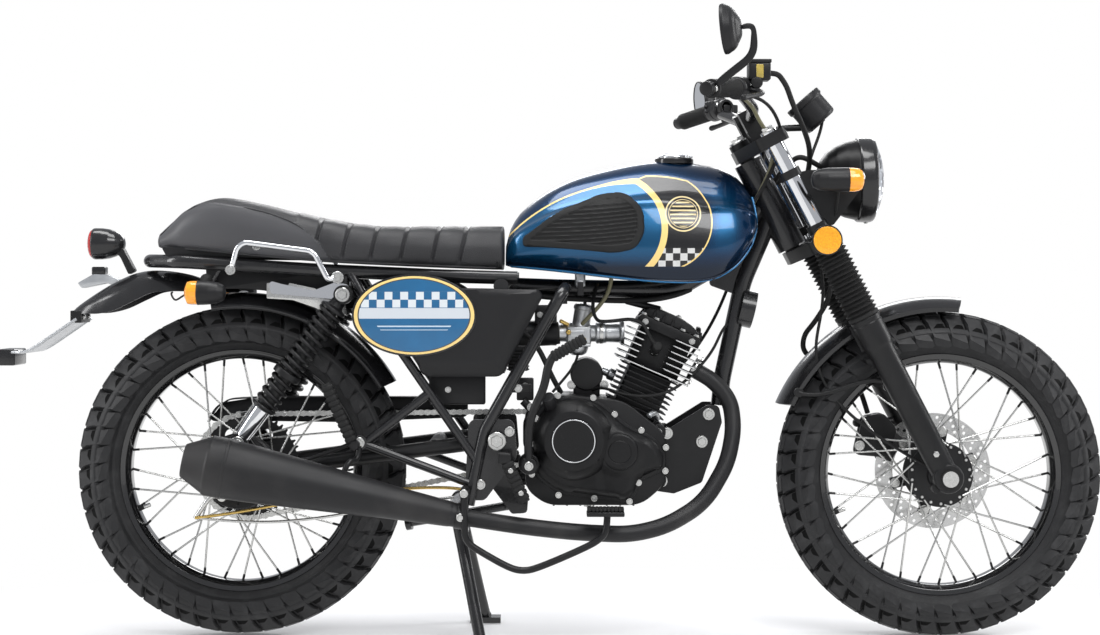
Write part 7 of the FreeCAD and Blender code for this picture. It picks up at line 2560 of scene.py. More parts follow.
# ---------------------------------------------------------------------------
# Tail, rails and guards
# ---------------------------------------------------------------------------
# Crown line of the tail shell behind the wheel guard: x, top, under, half width, in millimetres.
TAIL_LINE = [(-587, 659, 656, 66), (-640, 672, 655, 66), (-690, 690, 658, 66), (-748, 698, 656, 66),
    (-786, 694, 640, 64), (-820, 681, 624, 60), (-853, 663, 616, 52), (-885, 642, 616, 42),
    (-904, 628, 617, 30), (-911, 621, 618, 20)]


@piece_operator("Rear mudguard and tail")
class MOTORCYCLE_OT_mudguard(bpy.types.Operator):
    """Rear wheel guard, tail shell and guard stays"""
    bl_idname = "motorcycle.rear_mudguard"

    def execute(self, context):
        section = crown_section(0.336, 0.066, 0.024, 0.003, lip=0.004)
        band = arch_strip("wheel_guard", REAR_AXLE, section, 30, 100, "gloss plastic", tips=0.6)
        rings = []
        for step in range(46):
            x = -587 - (911 - 587) * step / 45
            top, under, half = [between(TAIL_LINE, x, column) for column in (1, 2, 3)]
            ring = []
            samples = 16
            for number in range(samples + 1):
                t = -1 + 2 * number / samples
                ring.append(Vector((x, half * t * (1 - 0.10 * (1 - abs(t))),
                    under + (top - under) * (1 - abs(t) ** 3.2) ** 0.75)) * MM)
            skin = 3.0
            for number in range(samples, -1, -1):
                t = -1 + 2 * number / samples
                inner_top = max(under + 0.6, top - skin * 1.4)
                ring.append(Vector((x, (half - skin) * t * (1 - 0.10 * (1 - abs(t))),
                    under + (inner_top - under) * (1 - abs(t) ** 3.2) ** 0.75)) * MM)
            rings.append(ring)
        tail = to_object("tail_shell", rings_mesh(rings), "gloss plastic", sharp=50)
        stays = []
        for side in (-1, 1):
            stays.append(tube("guard_stay", metres([(-640, side * 66, 668), (-626, side * 78, 690),
                (-612, side * 92, 706)]), 0.0045, "enamel"))
        carry(joined("rear_mudguard_visual", [band, tail] + stays), "frame", "black_plastic", "rear_mudguard")
        return {"FINISHED"}


@piece_operator("Plate bracket")
class MOTORCYCLE_OT_plate_bracket(bpy.types.Operator):
    """Wire-framed number plate bracket with its rear reflector box"""
    bl_idname = "motorcycle.plate_bracket"

    def execute(self, context):
        items = []
        for side in (-1, 1):
            rail = [(-893, side * 66, 606), (-902, side * 69, 600), (-944, side * 70, 571),
                (-984, side * 70, 544), (-1002, side * 68, 543), (-1016, side * 58, 543)]
            items.append(tube("bracket_wire", metres(rail), 0.0028, "alloy", resolution=4))
        loop = rounded_loop(metres([(-901, 599.5), (-987, 541.3), (-1017, 541.3), (-1017, 543.6),
            (-987.5, 543.6), (-901, 602.2)]), 0.002, 3)
        sheet = cutout("bracket_sheet", [loop], -0.066, 0.066, "alloy", bevel=0.0003)
        items.append(sheet)
        items.append(slab("bracket_tongue", (-0.911, -0.040, 0.598), (-0.890, 0.040, 0.6215), "powder",
            bevel=0.002))
        carry(joined("plate_bracket_visual", items), "frame", "steel", "plate_bracket")
        box = slab("reflector_box", (-1.050, -0.045, 0.517), (-1.015, 0.045, 0.548), "gloss plastic",
            bevel=0.0035)
        lens = slab("rear_reflector", (-1.0528, -0.040, 0.5215), (-1.0490, 0.040, 0.5435), "red",
            bevel=0.0014)
        carry(joined("rear_reflector_box", [box]), "frame", "black_plastic")
        carry(lens, "frame", "red_lens")
        spots = [((-1.001, side * 0.055, 0.5436), (0, 0, 1), 0.8) for side in (-1, 1)]
        spots += [((-0.8895, side * 0.022, 0.610), (1, 0, 0), 0.7) for side in (-1, 1)]
        carry(bolts("bracket_bolts", spots), "frame", "steel")
        return {"FINISHED"}


@piece_operator("Tail light")
class MOTORCYCLE_OT_tail_light(bpy.types.Operator):
    """Bullet tail light and plate lamp, the pan and tray under the seat, and the guard brackets"""
    bl_idname = "motorcycle.tail_light"

    def execute(self, context):
        at, way = Vector((-0.814, 0, 0.749)), Vector((-1, 0, 0))
        shell = turned("tail_shell", [(0.0, 0.0), (0.006, 0.0002), (0.0115, 0.0020), (0.0180, 0.0075),
            (0.0240, 0.0170), (0.0280, 0.0290), (0.0300, 0.0430), (0.0302, 0.0580), (0.0288, 0.0620),
            (0.0, 0.0615)], at, way, "gloss plastic", soft=0.0016, segments=64)
        lens = turned("tail_lens", [(0.0, 0.0610), (0.0272, 0.0610), (0.0268, 0.0640), (0.0240, 0.0668),
            (0.0180, 0.0692), (0.0090, 0.0706), (0.0, 0.0710)], at, way, "red", soft=0.001, segments=64)
        loop = rounded_loop(metres([(-806, 690), (-793, 697), (-817, 742), (-836, 742), (-834, 734),
            (-822, 724)]), 0.004)
        bracket = cutout("tail_bracket", [loop], -0.012, 0.012, "powder", bevel=0.0015)
        carry(joined("tail_light_visual", [shell, bracket]), "frame", "black_plastic", "tail_light")
        carry(lens, "frame", "red_lens")
        # A bent bright strip behind the bracket holds the small plate lamp.
        strip = cutout("plate_lamp_strip", [rounded_loop(metres([(-826, 666), (-846, 674), (-894, 664),
            (-902, 674), (-872, 691), (-846, 690), (-826, 682)]), 0.003, 3)], -0.018, 0.018, "alloy",
            bevel=0.0008)
        lamp = slab("plate_lamp", (-0.876, -0.015, 0.689), (-0.850, 0.015, 0.705), "gloss plastic",
            bevel=0.003)
        carry(strip, "frame", "alloy")
        carry(lamp, "frame", "black_plastic")
        # Closed pan under the seat, and the tray between the rails and the guard.
        pan = [rounded_loop(metres([(-718, 720), (-730, 742), (-560, 742), (-446, 730), (-446, 718)]), 0.006,
            4)]
        rim_points = [REAR_AXLE + round_way(math.radians(angle)) * 0.346 for angle in range(64, 101, 6)]
        arc = [(point.x, point.z) for point in rim_points]
        tray = [rounded_loop(metres([(-650, 706), (-412, 700), (-412, 655)]) + arc, 0.004, 3)]
        carry(joined("under_seat", [
            cutout("seat_pan", pan, -0.086, 0.086, "plastic", bevel=0.003),
            cutout("tool_tray", tray, -0.062, 0.062, "plastic", bevel=0.003)
        ]), "frame", "black_plastic")
        bracket_loop = rounded_loop(metres([(-529, 674), (-509, 674), (-503, 667), (-489, 668), (-487, 674),
            (-440, 664), (-404, 642), (-397, 609), (-412, 610), (-436, 627), (-480, 642), (-529, 645)]),
            0.003, 3)
        carry(joined("guard_brackets", [cutout("guard_bracket", [bracket_loop], side * 0.1015 - 0.0015,
            side * 0.1015 + 0.0015, "zinc", bevel=0.0005) for side in (-1, 1)]), "frame", "steel")
        carry(bolts("pan_bolts", [((-0.545, side * 0.086, 0.731), (0, side, 0), 0.9) for side in (-1, 1)]),
            "frame", "steel")
        return {"FINISHED"}


@piece_operator("Rear indicators")
class MOTORCYCLE_OT_rear_indicators(bpy.types.Operator):
    """Rear indicators on rubber stalks"""
    bl_idname = "motorcycle.rear_indicators"

    def execute(self, context):
        shells, lenses = [], []
        for side in (-1, 1):
            shell, lens = indicator("rear_indicator", Vector((-0.590, side * 0.200, 0.656)), (-1, 0, 0),
                False)
            shells.append(shell)
            lenses.append(lens)
            start, end = Vector((-0.640, side * 0.112, 0.680)), Vector((-0.634, side * 0.186, 0.659))
            shells.append(turned("indicator_stalk", [(0.0, 0.0), (0.0120, 0.0), (0.0110, 0.006),
                (0.0075, 0.014), (0.0070, 0.058), (0.0092, 0.070), (0.0, 0.072)], start, end - start,
                "rubber", soft=0.001, segments=32))
        carry(joined("rear_indicator_shells", shells), "frame", "black_plastic", "rear_indicators")
        carry(joined("rear_indicator_lenses", lenses), "frame", "amber")
        return {"FINISHED"}


@piece_operator("Grab rails and chain guard")
class MOTORCYCLE_OT_rails(bpy.types.Operator):
    """Chrome grab rails with their bolts, and the pressed chain guard"""
    bl_idname = "motorcycle.rails"

    def execute(self, context):
        dress("grab_rails", "chrome")
        spots = []
        for side in (-1, 1):
            spots.append(((-0.392, side * 0.1462, 0.684), (0, side, 0), 1.35))
            spots.append(((-0.589, side * 0.1540, 0.698), (0, side, 0), 1.1))
            spots.append(((-0.383, side * 0.1445, 0.652), (0, side, 0), 1.6))
            spots.append(((REAR_AXLE.x + 0.010, side * 0.1445, REAR_AXLE.z + 0.060), (0, side, 0), 1.5))
            spots.append(((-0.545, side * 0.124, 0.742), (0, side, 0.1), 0.9))
        carry(bolts("rail_bolts", spots), "frame", "steel")
        top = metres([(-668, 404), (-640, 440), (-560, 452), (-160, 452)])
        foot = metres([(-160, 411), (-400, 401), (-540, 403), (-620, 399)])
        outer = rounded_loop(top + foot, 0.012)
        y = node_middle("drive_chain").y
        face = cutout("guard_face", [outer], y + 0.0125, y + 0.0158, "plastic", bevel=0.0006)
        rings = []
        lip = smooth_line([Vector(point) for point in top], 8)
        for point, after in zip(lip, lip[1:] + [lip[-1] + (lip[-1] - lip[-2])]):
            way = (after - point).normalized()
            down = Vector((way.y, -way.x))
            rings.append([Vector((point.x, y - 0.0095, point.y)), Vector((point.x, y + 0.0155, point.y)),
                Vector((point.x + down.x * 0.0028, y + 0.0155, point.y + down.y * 0.0028)),
                Vector((point.x + down.x * 0.0028, y - 0.0095, point.y + down.y * 0.0028))])
        lip_piece = to_object("guard_lip", rings_mesh(rings), "plastic")
        carry(joined("chain_guard_visual", [face, lip_piece]), "frame", "black_plastic", "chain_guard")
        spots = [((x, y + 0.0158, z), (0, 1, 0), 0.9) for x, z in metres([(-604, 420), (-420, 426),
            (-210, 430)])]
        carry(bolts("guard_bolts", spots), "frame", "steel")
        return {"FINISHED"}


# ---------------------------------------------------------------------------
# Engine
# ---------------------------------------------------------------------------
BARREL_FOOT = Vector((0.158, 0, 0.424))
BARREL_LEAN = math.radians(23.3)
BARREL = Matrix.Translation(BARREL_FOOT) @ Matrix.Rotation(BARREL_LEAN, 4, "Y")
BARREL_UP = (BARREL.to_3x3() @ Vector((0, 0, 1))).normalized()
CYLINDER_TOP, HEAD_TOP, ROCKER_TOP = 0.089, 0.166, 0.206
CASE_CORNERS = [(-45, 287), (-5, 257), (172, 257), (218, 297), (218, 392), (140, 454), (20, 466), (-45, 430)]


def on_barrel(forward, side, up):
    """A point on the leaning cylinder: ahead of its axis, to the left, and up along it, in metres."""
    return BARREL @ Vector((forward, side, up))


def across(low_y, high_y):
    """The place of a cutout that lies in the cylinder's own side plane."""
    return BARREL @ Matrix.Translation((0, (low_y + high_y) / 2, 0)) @ Matrix.Rotation(QUARTER, 4, "X")


def bright_rim(made, finish_name, up, limit=0.35):
    """Gives the faces round a fin's edge their machined finish."""
    made.data.materials.append(finish(finish_name))
    index = len(made.data.materials) - 1
    for face in made.data.polygons:
        if abs(face.normal.dot(up)) < limit:
            face.material_index = index
    return made


def barrel_fin(name, outline, up, thick, rim=None):
    """One cooling fin: an outline in the plane across the cylinder's axis."""
    made = cutout(name, [outline], 0, thick, "casting", bevel=0.0004,
        place=BARREL @ Matrix.Translation((0, 0, up)))
    return bright_rim(made, rim, BARREL_UP) if rim else made


@piece_operator("Crankcase")
class MOTORCYCLE_OT_crankcase(bpy.types.Operator):
    """Crankcase halves, sump ribs, lugs, starter motor and drain plug"""
    bl_idname = "motorcycle.crankcase"

    def execute(self, context):
        loop = rounded_loop(metres(CASE_CORNERS), 0.024, 6)
        inner = rounded_loop(metres([(-38, 292), (-2, 265), (168, 265), (210, 300), (210, 388), (136, 446),
            (22, 458), (-38, 426)]), 0.020, 6)
        items = [
            cutout("case_right", [loop], -0.094, -0.0012, "casting", bevel=0.0035),
            cutout("case_left", [loop], 0.0012, 0.0640, "casting", bevel=0.0035),
            cutout("case_seam", [inner], -0.0040, 0.0040, "alloy", bevel=0.0006),
            cutout("case_left_core", [rounded_loop(metres([(62, 285), (150, 262), (205, 300), (205, 388),
                (136, 440), (62, 446)]), 0.02)], 0.060, 0.0950, "casting", bevel=0.003)
        ]
        for number in range(7):
            x = 0.006 + number * 0.025
            items.append(slab("sump_rib", (x, -0.080, 0.2545), (x + 0.004, 0.052, 0.262), "casting",
                bevel=0.0012))
        for x, z in ((-0.030, 0.300), (-0.030, 0.420), (0.204, 0.302), (0.204, 0.392)):
            items.append(rounded_rod("case_lug", (x, -0.070, z), (x, 0.058, z), 0.0165, "casting",
                soft=0.003))
        # Starter motor on the case, its end plate with two ears.
        items.append(turned("starter", [(0.0, -0.034), (0.0295, -0.034), (0.0310, -0.031), (0.0310, -0.026),
            (0.0300, -0.0245), (0.0300, 0.048), (0.0310, 0.050), (0.0310, 0.060), (0.0, 0.060)],
            (0.071, 0, 0.500), (0, 1, 0), "powder", soft=0.0015, segments=56))
        items.append(slab("starter_neck", (0.046, -0.030, 0.455), (0.096, 0.056, 0.486), "casting",
            bevel=0.004))
        items.append(slab("starter_ears", (0.036, -0.030, 0.474), (0.110, -0.024, 0.487), "casting",
            bevel=0.003))
        items.append(turned("drain_plug", [(0.0, 0.0), (0.0135, 0.0), (0.0135, -0.003), (0.0095, -0.0045),
            (0.0095, -0.011), (0.0, -0.011)], (0.075, -0.02, 0.2580), (0, 0, 1), "zinc", segments=6,
            soft=0.0006))
        carry(joined("crankcase_visual", items), "frame", "black_metal", "crankcase")
        spots = [((x * MM, y * MM, z * MM), (0, side, 0), 1.0) for x, y, z,
            side in ((-30, -71.5, 300, -1), (204, -71.5, 302, -1), (204, -71.5, 392, -1), (42, -31, 480, -1),
            (104, -31, 480, -1), (-30, 59.5, 300, 1), (-30, 59.5, 420, 1), (204, 59.5, 302, 1),
            (204, 59.5, 392, 1))]
        spots += [((x * MM, -0.0625, z * MM), (0, -1, 0), 1.35)
            for x, z in ((301, 426), (288, 374), (222, 390), (212, 300))]
        spots += [((x * MM, 0.0635, z * MM), (0, 1, 0), 1.35)
            for x, z in ((301, 426), (288, 374), (222, 390), (212, 300))]
        carry(bolts("case_bolts", spots), "frame", "steel")
        dress("engine_plates", "powder")
        return {"FINISHED"}


RIGHT_COVER = [(-28, 411), (-7, 445), (29, 458), (66, 458), (99, 445), (143, 404), (195, 382), (215, 352),
    (213, 327), (165, 305), (161, 283), (143, 266), (18, 283), (-26, 316), (-31, 367)]
DOME_AT = Vector((0.045, 0, 0.380))
CRANK_AT = Vector((0.131, 0, 0.359))
ALTERNATOR_AT = Vector((0.128, 0, 0.362))
PORT_WAY = (0.87, -0.04, -0.49)  # out of the exhaust port


@piece_operator("Engine covers")
class MOTORCYCLE_OT_engine_covers(bpy.types.Operator):
    """Clutch cover with its dome and flutes, alternator cover and sprocket cover"""
    bl_idname = "motorcycle.engine_covers"

    def execute(self, context):
        loop = rounded_loop(metres(RIGHT_COVER), 0.022, 5)

        def relief(x, z, inset):
            rise = 0.0135 * min(1.0, inset / 0.014) ** 0.55
            near_dome = math.hypot(x - DOME_AT.x, z - DOME_AT.z)
            rise += 0.0035 * max(0.0, 1 - max(0.0, near_dome - 0.070) / 0.018)
            near_crank = math.hypot(x - CRANK_AT.x, z - CRANK_AT.z)
            rise += 0.0050 * max(0.0, min(1.0, (0.049 - near_crank) / 0.012))
            # A shallow V runs down from the two domes to the sump.
            crease = abs((x - 0.098) + (z - 0.330) * 0.15)
            if z < 0.335:
                rise -= 0.0030 * max(0.0, 1 - crease / 0.016) * min(1.0, (0.335 - z) / 0.02) * min(1.0,
                    inset / 0.01)
            return Vector((x, -0.0965 - rise, z)), Vector((x, -0.0945, z))

        base = patch("right_cover", [loop], 0.0034, relief, "casting", sharp=50,
            rows=(0.0010, 0.0030, 0.0065, 0.0105))
        rim = cutout("cover_rim", [rounded_loop(metres([(x + (3 if x > 90 else -3),
            z + (3 if z > 360 else -3)) for x, z in RIGHT_COVER]), 0.022, 5)], -0.0990, -0.0942, "casting",
            bevel=0.0012)
        rings = []
        for radius, depth, flute in ((0.0760, 0.106, 0.0), (0.0745, 0.1135, 0.55), (0.0650, 0.1235, 1.0),
                (0.0585, 0.1290, 0.75), (0.0560, 0.1310, 0.0), (0.0535, 0.1318, 0.0), (0.0430, 0.1312, 0.0),
                (0.0422, 0.1300, 0.0), (0.0, 0.1302, 0.0)):
            ring = []
            for angle in angles(120):
                # Three shallow flats are cut into the dome's flank.
                lobe = max(0.0, math.cos(3 * angle + 0.5)) ** 0.5
                size = radius - 0.0060 * flute * lobe
                ring.append(Vector((DOME_AT.x + size * math.cos(angle), -depth,
                    DOME_AT.z + size * math.sin(angle))))
            rings.append(ring)
        dome = to_object("clutch_dome", rings_mesh(rings[:-1]), "casting", sharp=34)
        items = [
            base,
            rim,
            dome,
            turned("crank_dome", [(0.0350, 0.114), (0.0335, 0.1185), (0.0300, 0.1200), (0.0225, 0.1200),
                (0.0215, 0.1192), (0.0205, 0.1205), (0.0, 0.1212)], CRANK_AT, (0, -1, 0), "casting",
                soft=0.0014, segments=64),
            turned("kick_boss", [(0.0205, 0.094), (0.0200, 0.112), (0.0175, 0.115), (0.0, 0.115)],
                (-0.038, 0, 0.336), (0, -1, 0), "casting", soft=0.002, segments=48),
            rounded_rod("oil_filler", (0.004, -0.103, 0.440), (-0.004, -0.122, 0.462), 0.0125, "plastic"),
            turned("alternator", [(0.0, 0.0955), (0.083, 0.0955), (0.083, 0.106), (0.080, 0.112),
                (0.072, 0.120), (0.062, 0.1255), (0.050, 0.1285), (0.034, 0.1295), (0.033, 0.1285),
                (0.0, 0.1290)], ALTERNATOR_AT, (0, 1, 0), "casting", soft=0.002, segments=96),
            turned("left_plug", [(0.0, 0.1285), (0.0125, 0.1285), (0.0125, 0.1325), (0.0, 0.1330)],
                ALTERNATOR_AT, (0, 1, 0), "casting", segments=28),
            cutout("sprocket_cover", [rounded_loop(metres([(-52, 352), (-34, 330), (20, 318), (52, 322),
                (58, 430), (30, 438), (-20, 434), (-52, 410)]), 0.016)], 0.0905, 0.1205, "casting",
                bevel=0.004)
        ]
        for step in range(5):
            z = 0.348 + step * 0.017
            items.append(slab("sprocket_rib", (-0.036, 0.1195, z), (0.042, 0.1225, z + 0.005), "casting",
                bevel=0.0012))
        carry(joined("engine_covers_visual", items), "frame", "black_metal", "engine_covers")
        ring = turned("clutch_ring", [(0.0385, 0.1295), (0.0403, 0.1295), (0.0403, 0.1313), (0.0385, 0.1313)],
            DOME_AT, (0, -1, 0), "chrome", soft=0.0003, closed=True, segments=96)
        carry(ring, "frame", "chrome")
        spots = [((x * MM, -0.0992, z * MM), (0, -1, 0), 0.72)
            for x, z in ((-25, 420), (16, 463), (82, 459), (122, 428), (172, 398), (218, 366), (217, 322),
            (167, 300), (150, 265), (84, 271), (17, 277), (-33, 316), (-35, 372))]
        spots += [(ALTERNATOR_AT + Vector((0, 0.112, 0)) + round_way(0.5 + k * 1.047) * 0.077, (0, 1, 0),
            0.75) for k in range(6)]
        spots += [((x * MM, 0.1207, z * MM), (0, 1, 0), 0.75)
            for x, z in ((-42, 358), (-42, 404), (46, 330), (46, 424))]
        carry(bolts("cover_bolts", spots), "frame", "steel")
        return {"FINISHED"}


@piece_operator("Cylinder and head")
class MOTORCYCLE_OT_cylinder(bpy.types.Operator):
    """Finned cylinder, head with machined fin edges, rocker cover and spark plug"""
    bl_idname = "motorcycle.cylinder"

    def execute(self, context):
        def fin_loop(rear, front, right, left, notch=None):
            corners = [(rear, -right), (front, -right), (front, left), (rear, left)]
            if notch:
                a, b, deep = notch
                corners = [(rear, -right), (a, -right), (a, -deep), (b, -deep), (b, -right), (front, -right),
                    (front, left), (rear, left)]
            return rounded_loop(corners, 0.007, 3)

        items = [
            slab("barrel_core", (-0.043, -0.050, 0.000), (0.043, 0.050, CYLINDER_TOP), "casting",
                bevel=0.006),
            slab("cam_tunnel", (-0.030, 0.036, 0.000), (0.030, 0.066, CYLINDER_TOP), "casting", bevel=0.005)
        ]
        for item in items:
            item.data.transform(BARREL)
        count = 8
        for number in range(count):
            up = 0.014 + (CYLINDER_TOP - 0.018) * number / (count - 1)
            items.append(barrel_fin("barrel_fin", fin_loop(-0.059, 0.057, 0.063, 0.066), up, 0.0022))
        carry(joined("cylinder_visual", items), "frame", "black_metal", "cylinder")

        core = slab("head_core", (-0.052, -0.036, CYLINDER_TOP + 0.001), (0.052, 0.058, HEAD_TOP), "casting",
            bevel=0.004)
        core.data.transform(BARREL)
        head = [core]
        fins = 7
        for number in range(fins):
            up = CYLINDER_TOP + 0.0025 + (HEAD_TOP - CYLINDER_TOP - 0.006) * number / (fins - 1)
            notch = None if number == 0 else (-0.036, 0.016, 0.034)
            front = 0.0735 if number < 5 else 0.0680
            head.append(barrel_fin("head_fin", fin_loop(-0.0735, front, 0.0705, 0.0705, notch), up, 0.0028,
                "fin edge"))
        # Rocker cover: a skirt, a domed top with ribs, and an inspection cap at each end.
        skirt = cutout("rocker_skirt", [rounded_loop(metres([(-64, 162), (64, 162), (64, 176), (56, 183),
            (-58, 183), (-64, 176)]), 0.004)], -0.0515, 0.0515, "casting", bevel=0.0022,
            place=across(-0.0515, 0.0515))
        top = cutout("rocker_top", [rounded_loop(metres([(-58, 181), (58, 181), (55, 190), (40, 199),
            (14, 204.5), (-30, 205), (-50, 200), (-58, 192)]), 0.008)], -0.044, 0.044, "casting",
            bevel=0.0035, place=across(-0.044, 0.044))
        head += [skirt, top]
        for forward, side, up, aim in ((0.058, 0, 0.192, (1, 0, 0.25)), (-0.054, 0, 0.194, (-1, 0, 0.3))):
            way = BARREL.to_3x3() @ Vector(aim)
            head.append(turned("valve_cap", [(0.0, 0.0), (0.0210, 0.0), (0.0210, 0.006), (0.0185, 0.009),
                (0.0105, 0.009), (0.0105, 0.0125), (0.0, 0.0125)], on_barrel(forward * 0.92, side,
                up - 0.010), way, "casting", soft=0.0015, segments=48))
        for number in range(5):
            forward = -0.040 + number * 0.019
            rib = slab("rocker_rib", (forward, -0.0475, 0.176), (forward + 0.0055, -0.0415,
                0.200 - 0.0009 * number ** 2), "casting", bevel=0.0014)
            rib.data.transform(BARREL)
            head.append(rib)
        cam = turned("cam_cover", [(0.0, 0.0585), (0.0330, 0.0585), (0.0330, 0.0660), (0.0290, 0.0700),
            (0.0, 0.0705)], on_barrel(0, 0, 0.140), (0, 1, 0), "casting", soft=0.002, segments=56)
        flange = turned("exhaust_flange", [(0.0160, 0.0), (0.0250, 0.0), (0.0250, 0.0075), (0.0230, 0.0085),
            (0.0175, 0.0085)], (0.2700, -0.029, 0.5115), PORT_WAY, "zinc", soft=0.0008, closed=True,
            segments=48)
        head += [cam, flange]
        carry(joined("cylinder_head_visual", head), "frame", "black_metal", "cylinder_head")

        plug_at, plug_way = on_barrel(-0.010, -0.038, 0.126), (BARREL.to_3x3() @ Vector((0, -0.92,
            0.38))).normalized()
        plug = [
            turned("plug_hex", [(0.0, 0.0), (0.0105, 0.0), (0.0105, 0.009), (0.0, 0.009)], plug_at, plug_way,
                "zinc", segments=6, soft=0.0005),
            turned("plug_cap", [(0.0, 0.007), (0.0085, 0.007), (0.0100, 0.010), (0.0100, 0.030),
                (0.0085, 0.036), (0.0, 0.037)], plug_at, plug_way, "rubber", soft=0.0015, segments=32)
        ]
        elbow = plug_at + plug_way * 0.030
        plug.append(tube("plug_lead", [elbow, elbow + Vector((-0.010, -0.006, 0.008)),
            on_barrel(-0.060, -0.074, 0.176), (0.104, -0.078, 0.600), (0.086, -0.062, 0.604),
            (0.080, -0.040, 0.640), (0.092, -0.014, 0.672)], 0.0034, "rubber"))
        carry(joined("spark_plug", plug), "frame", "rubber")
        spots = []
        for forward in (-0.056, -0.030, 0.024, 0.052):
            for side in (-1, 1):
                spots.append((on_barrel(forward, side * 0.0475, 0.1835), BARREL_UP, 0.85))
        spots += [(on_barrel(forward, 0.0, 0.2052), BARREL_UP, 0.7) for forward in (-0.030, 0.010)]
        spots += [(on_barrel(forward, -0.0525, 0.172), (0, -1, 0), 0.72) for forward in (-0.048, 0.048)]
        spots += [(on_barrel(0.024 * math.cos(a), 0.0703, 0.140 + 0.024 * math.sin(a)), (0, 1, 0), 0.7)
            for a in (0.6, 2.2, 3.8, 5.4)]
        spots += [(on_barrel(forward, side * 0.058, CYLINDER_TOP - 0.001), BARREL_UP, 0.9)
            for forward in (-0.050, 0.048) for side in (-1, 1)]
        spots += [(Vector((0.2775, -0.029, 0.5075)) + Vector(shift), PORT_WAY, 0.8)
            for shift in ((0.012, 0, 0.0205), (-0.012, 0, -0.0215))]
        carry(bolts("head_bolts", spots), "frame", "steel")
        tensioner = [
            turned("tensioner", [(0.0, 0.0), (0.0115, 0.0), (0.0115, 0.012), (0.0075, 0.015), (0.0075, 0.027),
                (0.0, 0.028)], on_barrel(-0.058, 0.020, 0.052), BARREL.to_3x3() @ Vector((-1, 0, 0)), "alloy",
                soft=0.001, segments=28),
            tube("vacuum_stub", [on_barrel(0.045, -0.062, 0.012), (0.200, -0.083, 0.436),
                (0.186, -0.094, 0.424)], 0.0055, "alloy")
        ]
        carry(joined("engine_stubs", tensioner), "frame", "alloy")
        return {"FINISHED"}


@piece_operator("Carburettor")
class MOTORCYCLE_OT_carburettor(bpy.types.Operator):
    """Carburettor with its bowl, slide chamber, brass screws and inlet stub"""
    bl_idname = "motorcycle.carburettor"

    def execute(self, context):
        way = Vector((0.013, 0, 0.084)).normalized()
        foot = Vector((0.054, 0, 0.552))
        port, mouth = on_barrel(-0.0745, 0, 0.136), Vector((0.014, 0, 0.578))
        line = (port - mouth).normalized()
        items = [
            turned("slide_chamber", [(0.0, 0.034), (0.0185, 0.034), (0.0190, 0.040), (0.0170, 0.046),
                (0.0170, 0.070), (0.0190, 0.072), (0.0190, 0.078), (0.0150, 0.082), (0.0075, 0.084),
                (0.0, 0.0845)], foot, way, "alloy", soft=0.0015, segments=48),
            turned("throat", [(0.0140, 0.0), (0.0190, 0.0), (0.0190, 0.004), (0.0168, 0.006), (0.0168, 0.020),
                (0.0205, 0.026), (0.0205, 0.052), (0.0168, 0.058), (0.0168, 0.074), (0.0205, 0.076),
                (0.0205, 0.082), (0.0150, 0.083)], mouth, line, "alloy", soft=0.0015, segments=48,
                closed=True),
            slab("carb_middle", foot + Vector((-0.022, -0.0195, 0.004)),
                foot + Vector((0.026, 0.0195, 0.040)), "alloy", bevel=0.005),
            slab("bowl_flange", foot + Vector((-0.0245, -0.0210, 0.000)),
                foot + Vector((0.0245, 0.0210, 0.006)), "alloy", bevel=0.002),
            turned("bowl", [(0.0, -0.017), (0.010, -0.0165), (0.0175, -0.012), (0.0205, -0.004),
                (0.0210, 0.002), (0.0, 0.002)], foot, (0, 0, 1), "alloy", soft=0.002, segments=48)
        ]
        rubber_stub = turned("inlet_stub", [(0.0145, 0.082), (0.0200, 0.082), (0.0200, 0.094),
            (0.0180, 0.098), (0.0185, 0.122), (0.0235, 0.126), (0.0235, 0.1315), (0.0145, 0.132)], mouth,
            line, "alloy", soft=0.0012, segments=48, closed=True)
        clamp = turned("inlet_clamp", [(0.0201, 0.084), (0.0212, 0.084), (0.0212, 0.091), (0.0201, 0.091)],
            mouth, line, "zinc", soft=0.0002, segments=48, closed=True)
        airway = turned("air_duct", [(0.0150, -0.104), (0.0235, -0.104), (0.0240, -0.080), (0.0215, -0.060),
            (0.0215, -0.040), (0.0228, -0.012), (0.0212, 0.005), (0.0150, 0.005)], mouth,
            Vector((1, 0, 0.10)), "rubber", soft=0.002, segments=48, closed=True)
        length = (port - mouth).length
        scale = min(1.0, length / 0.132)
        for item in (rubber_stub, clamp):
            item.data.transform(Matrix.Translation(mouth) @ Matrix.Scale(scale, 4,
                line) @ Matrix.Translation(-mouth))
        carry(joined("carburettor_visual", items + [rubber_stub, clamp]), "frame", "alloy", "carburettor")
        carry(airway, "frame", "rubber")
        brass_parts = []
        for x, z, size in ((0.036, 0.580, 0.0050), (0.066, 0.566, 0.0042), (0.040, 0.5535, 0.0036)):
            brass_parts.append(turned("brass_screw", [(0.0, 0.0), (size, 0.0), (size, 0.006),
                (size * 0.8, 0.0075), (0.0, 0.0078)], (x, -0.0195, z), (0, -1, 0), "brass", soft=0.0005,
                segments=20))
        brass_parts.append(rounded_rod("idle_screw", (0.020, -0.020, 0.602), (0.036, -0.014, 0.594), 0.0038,
            "brass"))
        carry(joined("carb_screws", brass_parts), "frame", "steel")
        spots = [(foot + Vector((x, y, 0.0062)), (0, 0, 1), 0.45) for x in (-0.0195, 0.0195)
            for y in (-0.0165, 0.0165)]
        spots += [(foot + way * 0.0785 + Vector((x, y, 0)), way, 0.38)
            for x, y in ((-0.011, -0.010), (0.011, 0.010))]
        carry(bolts("carb_bolts", spots), "frame", "steel")
        return {"FINISHED"}


# ---------------------------------------------------------------------------
# Exhaust
# ---------------------------------------------------------------------------
SILENCER_START = Vector((-0.1505, -0.165, 0.2435))
SILENCER_WAY = Vector((-0.470, -0.027, 0.098)).normalized()


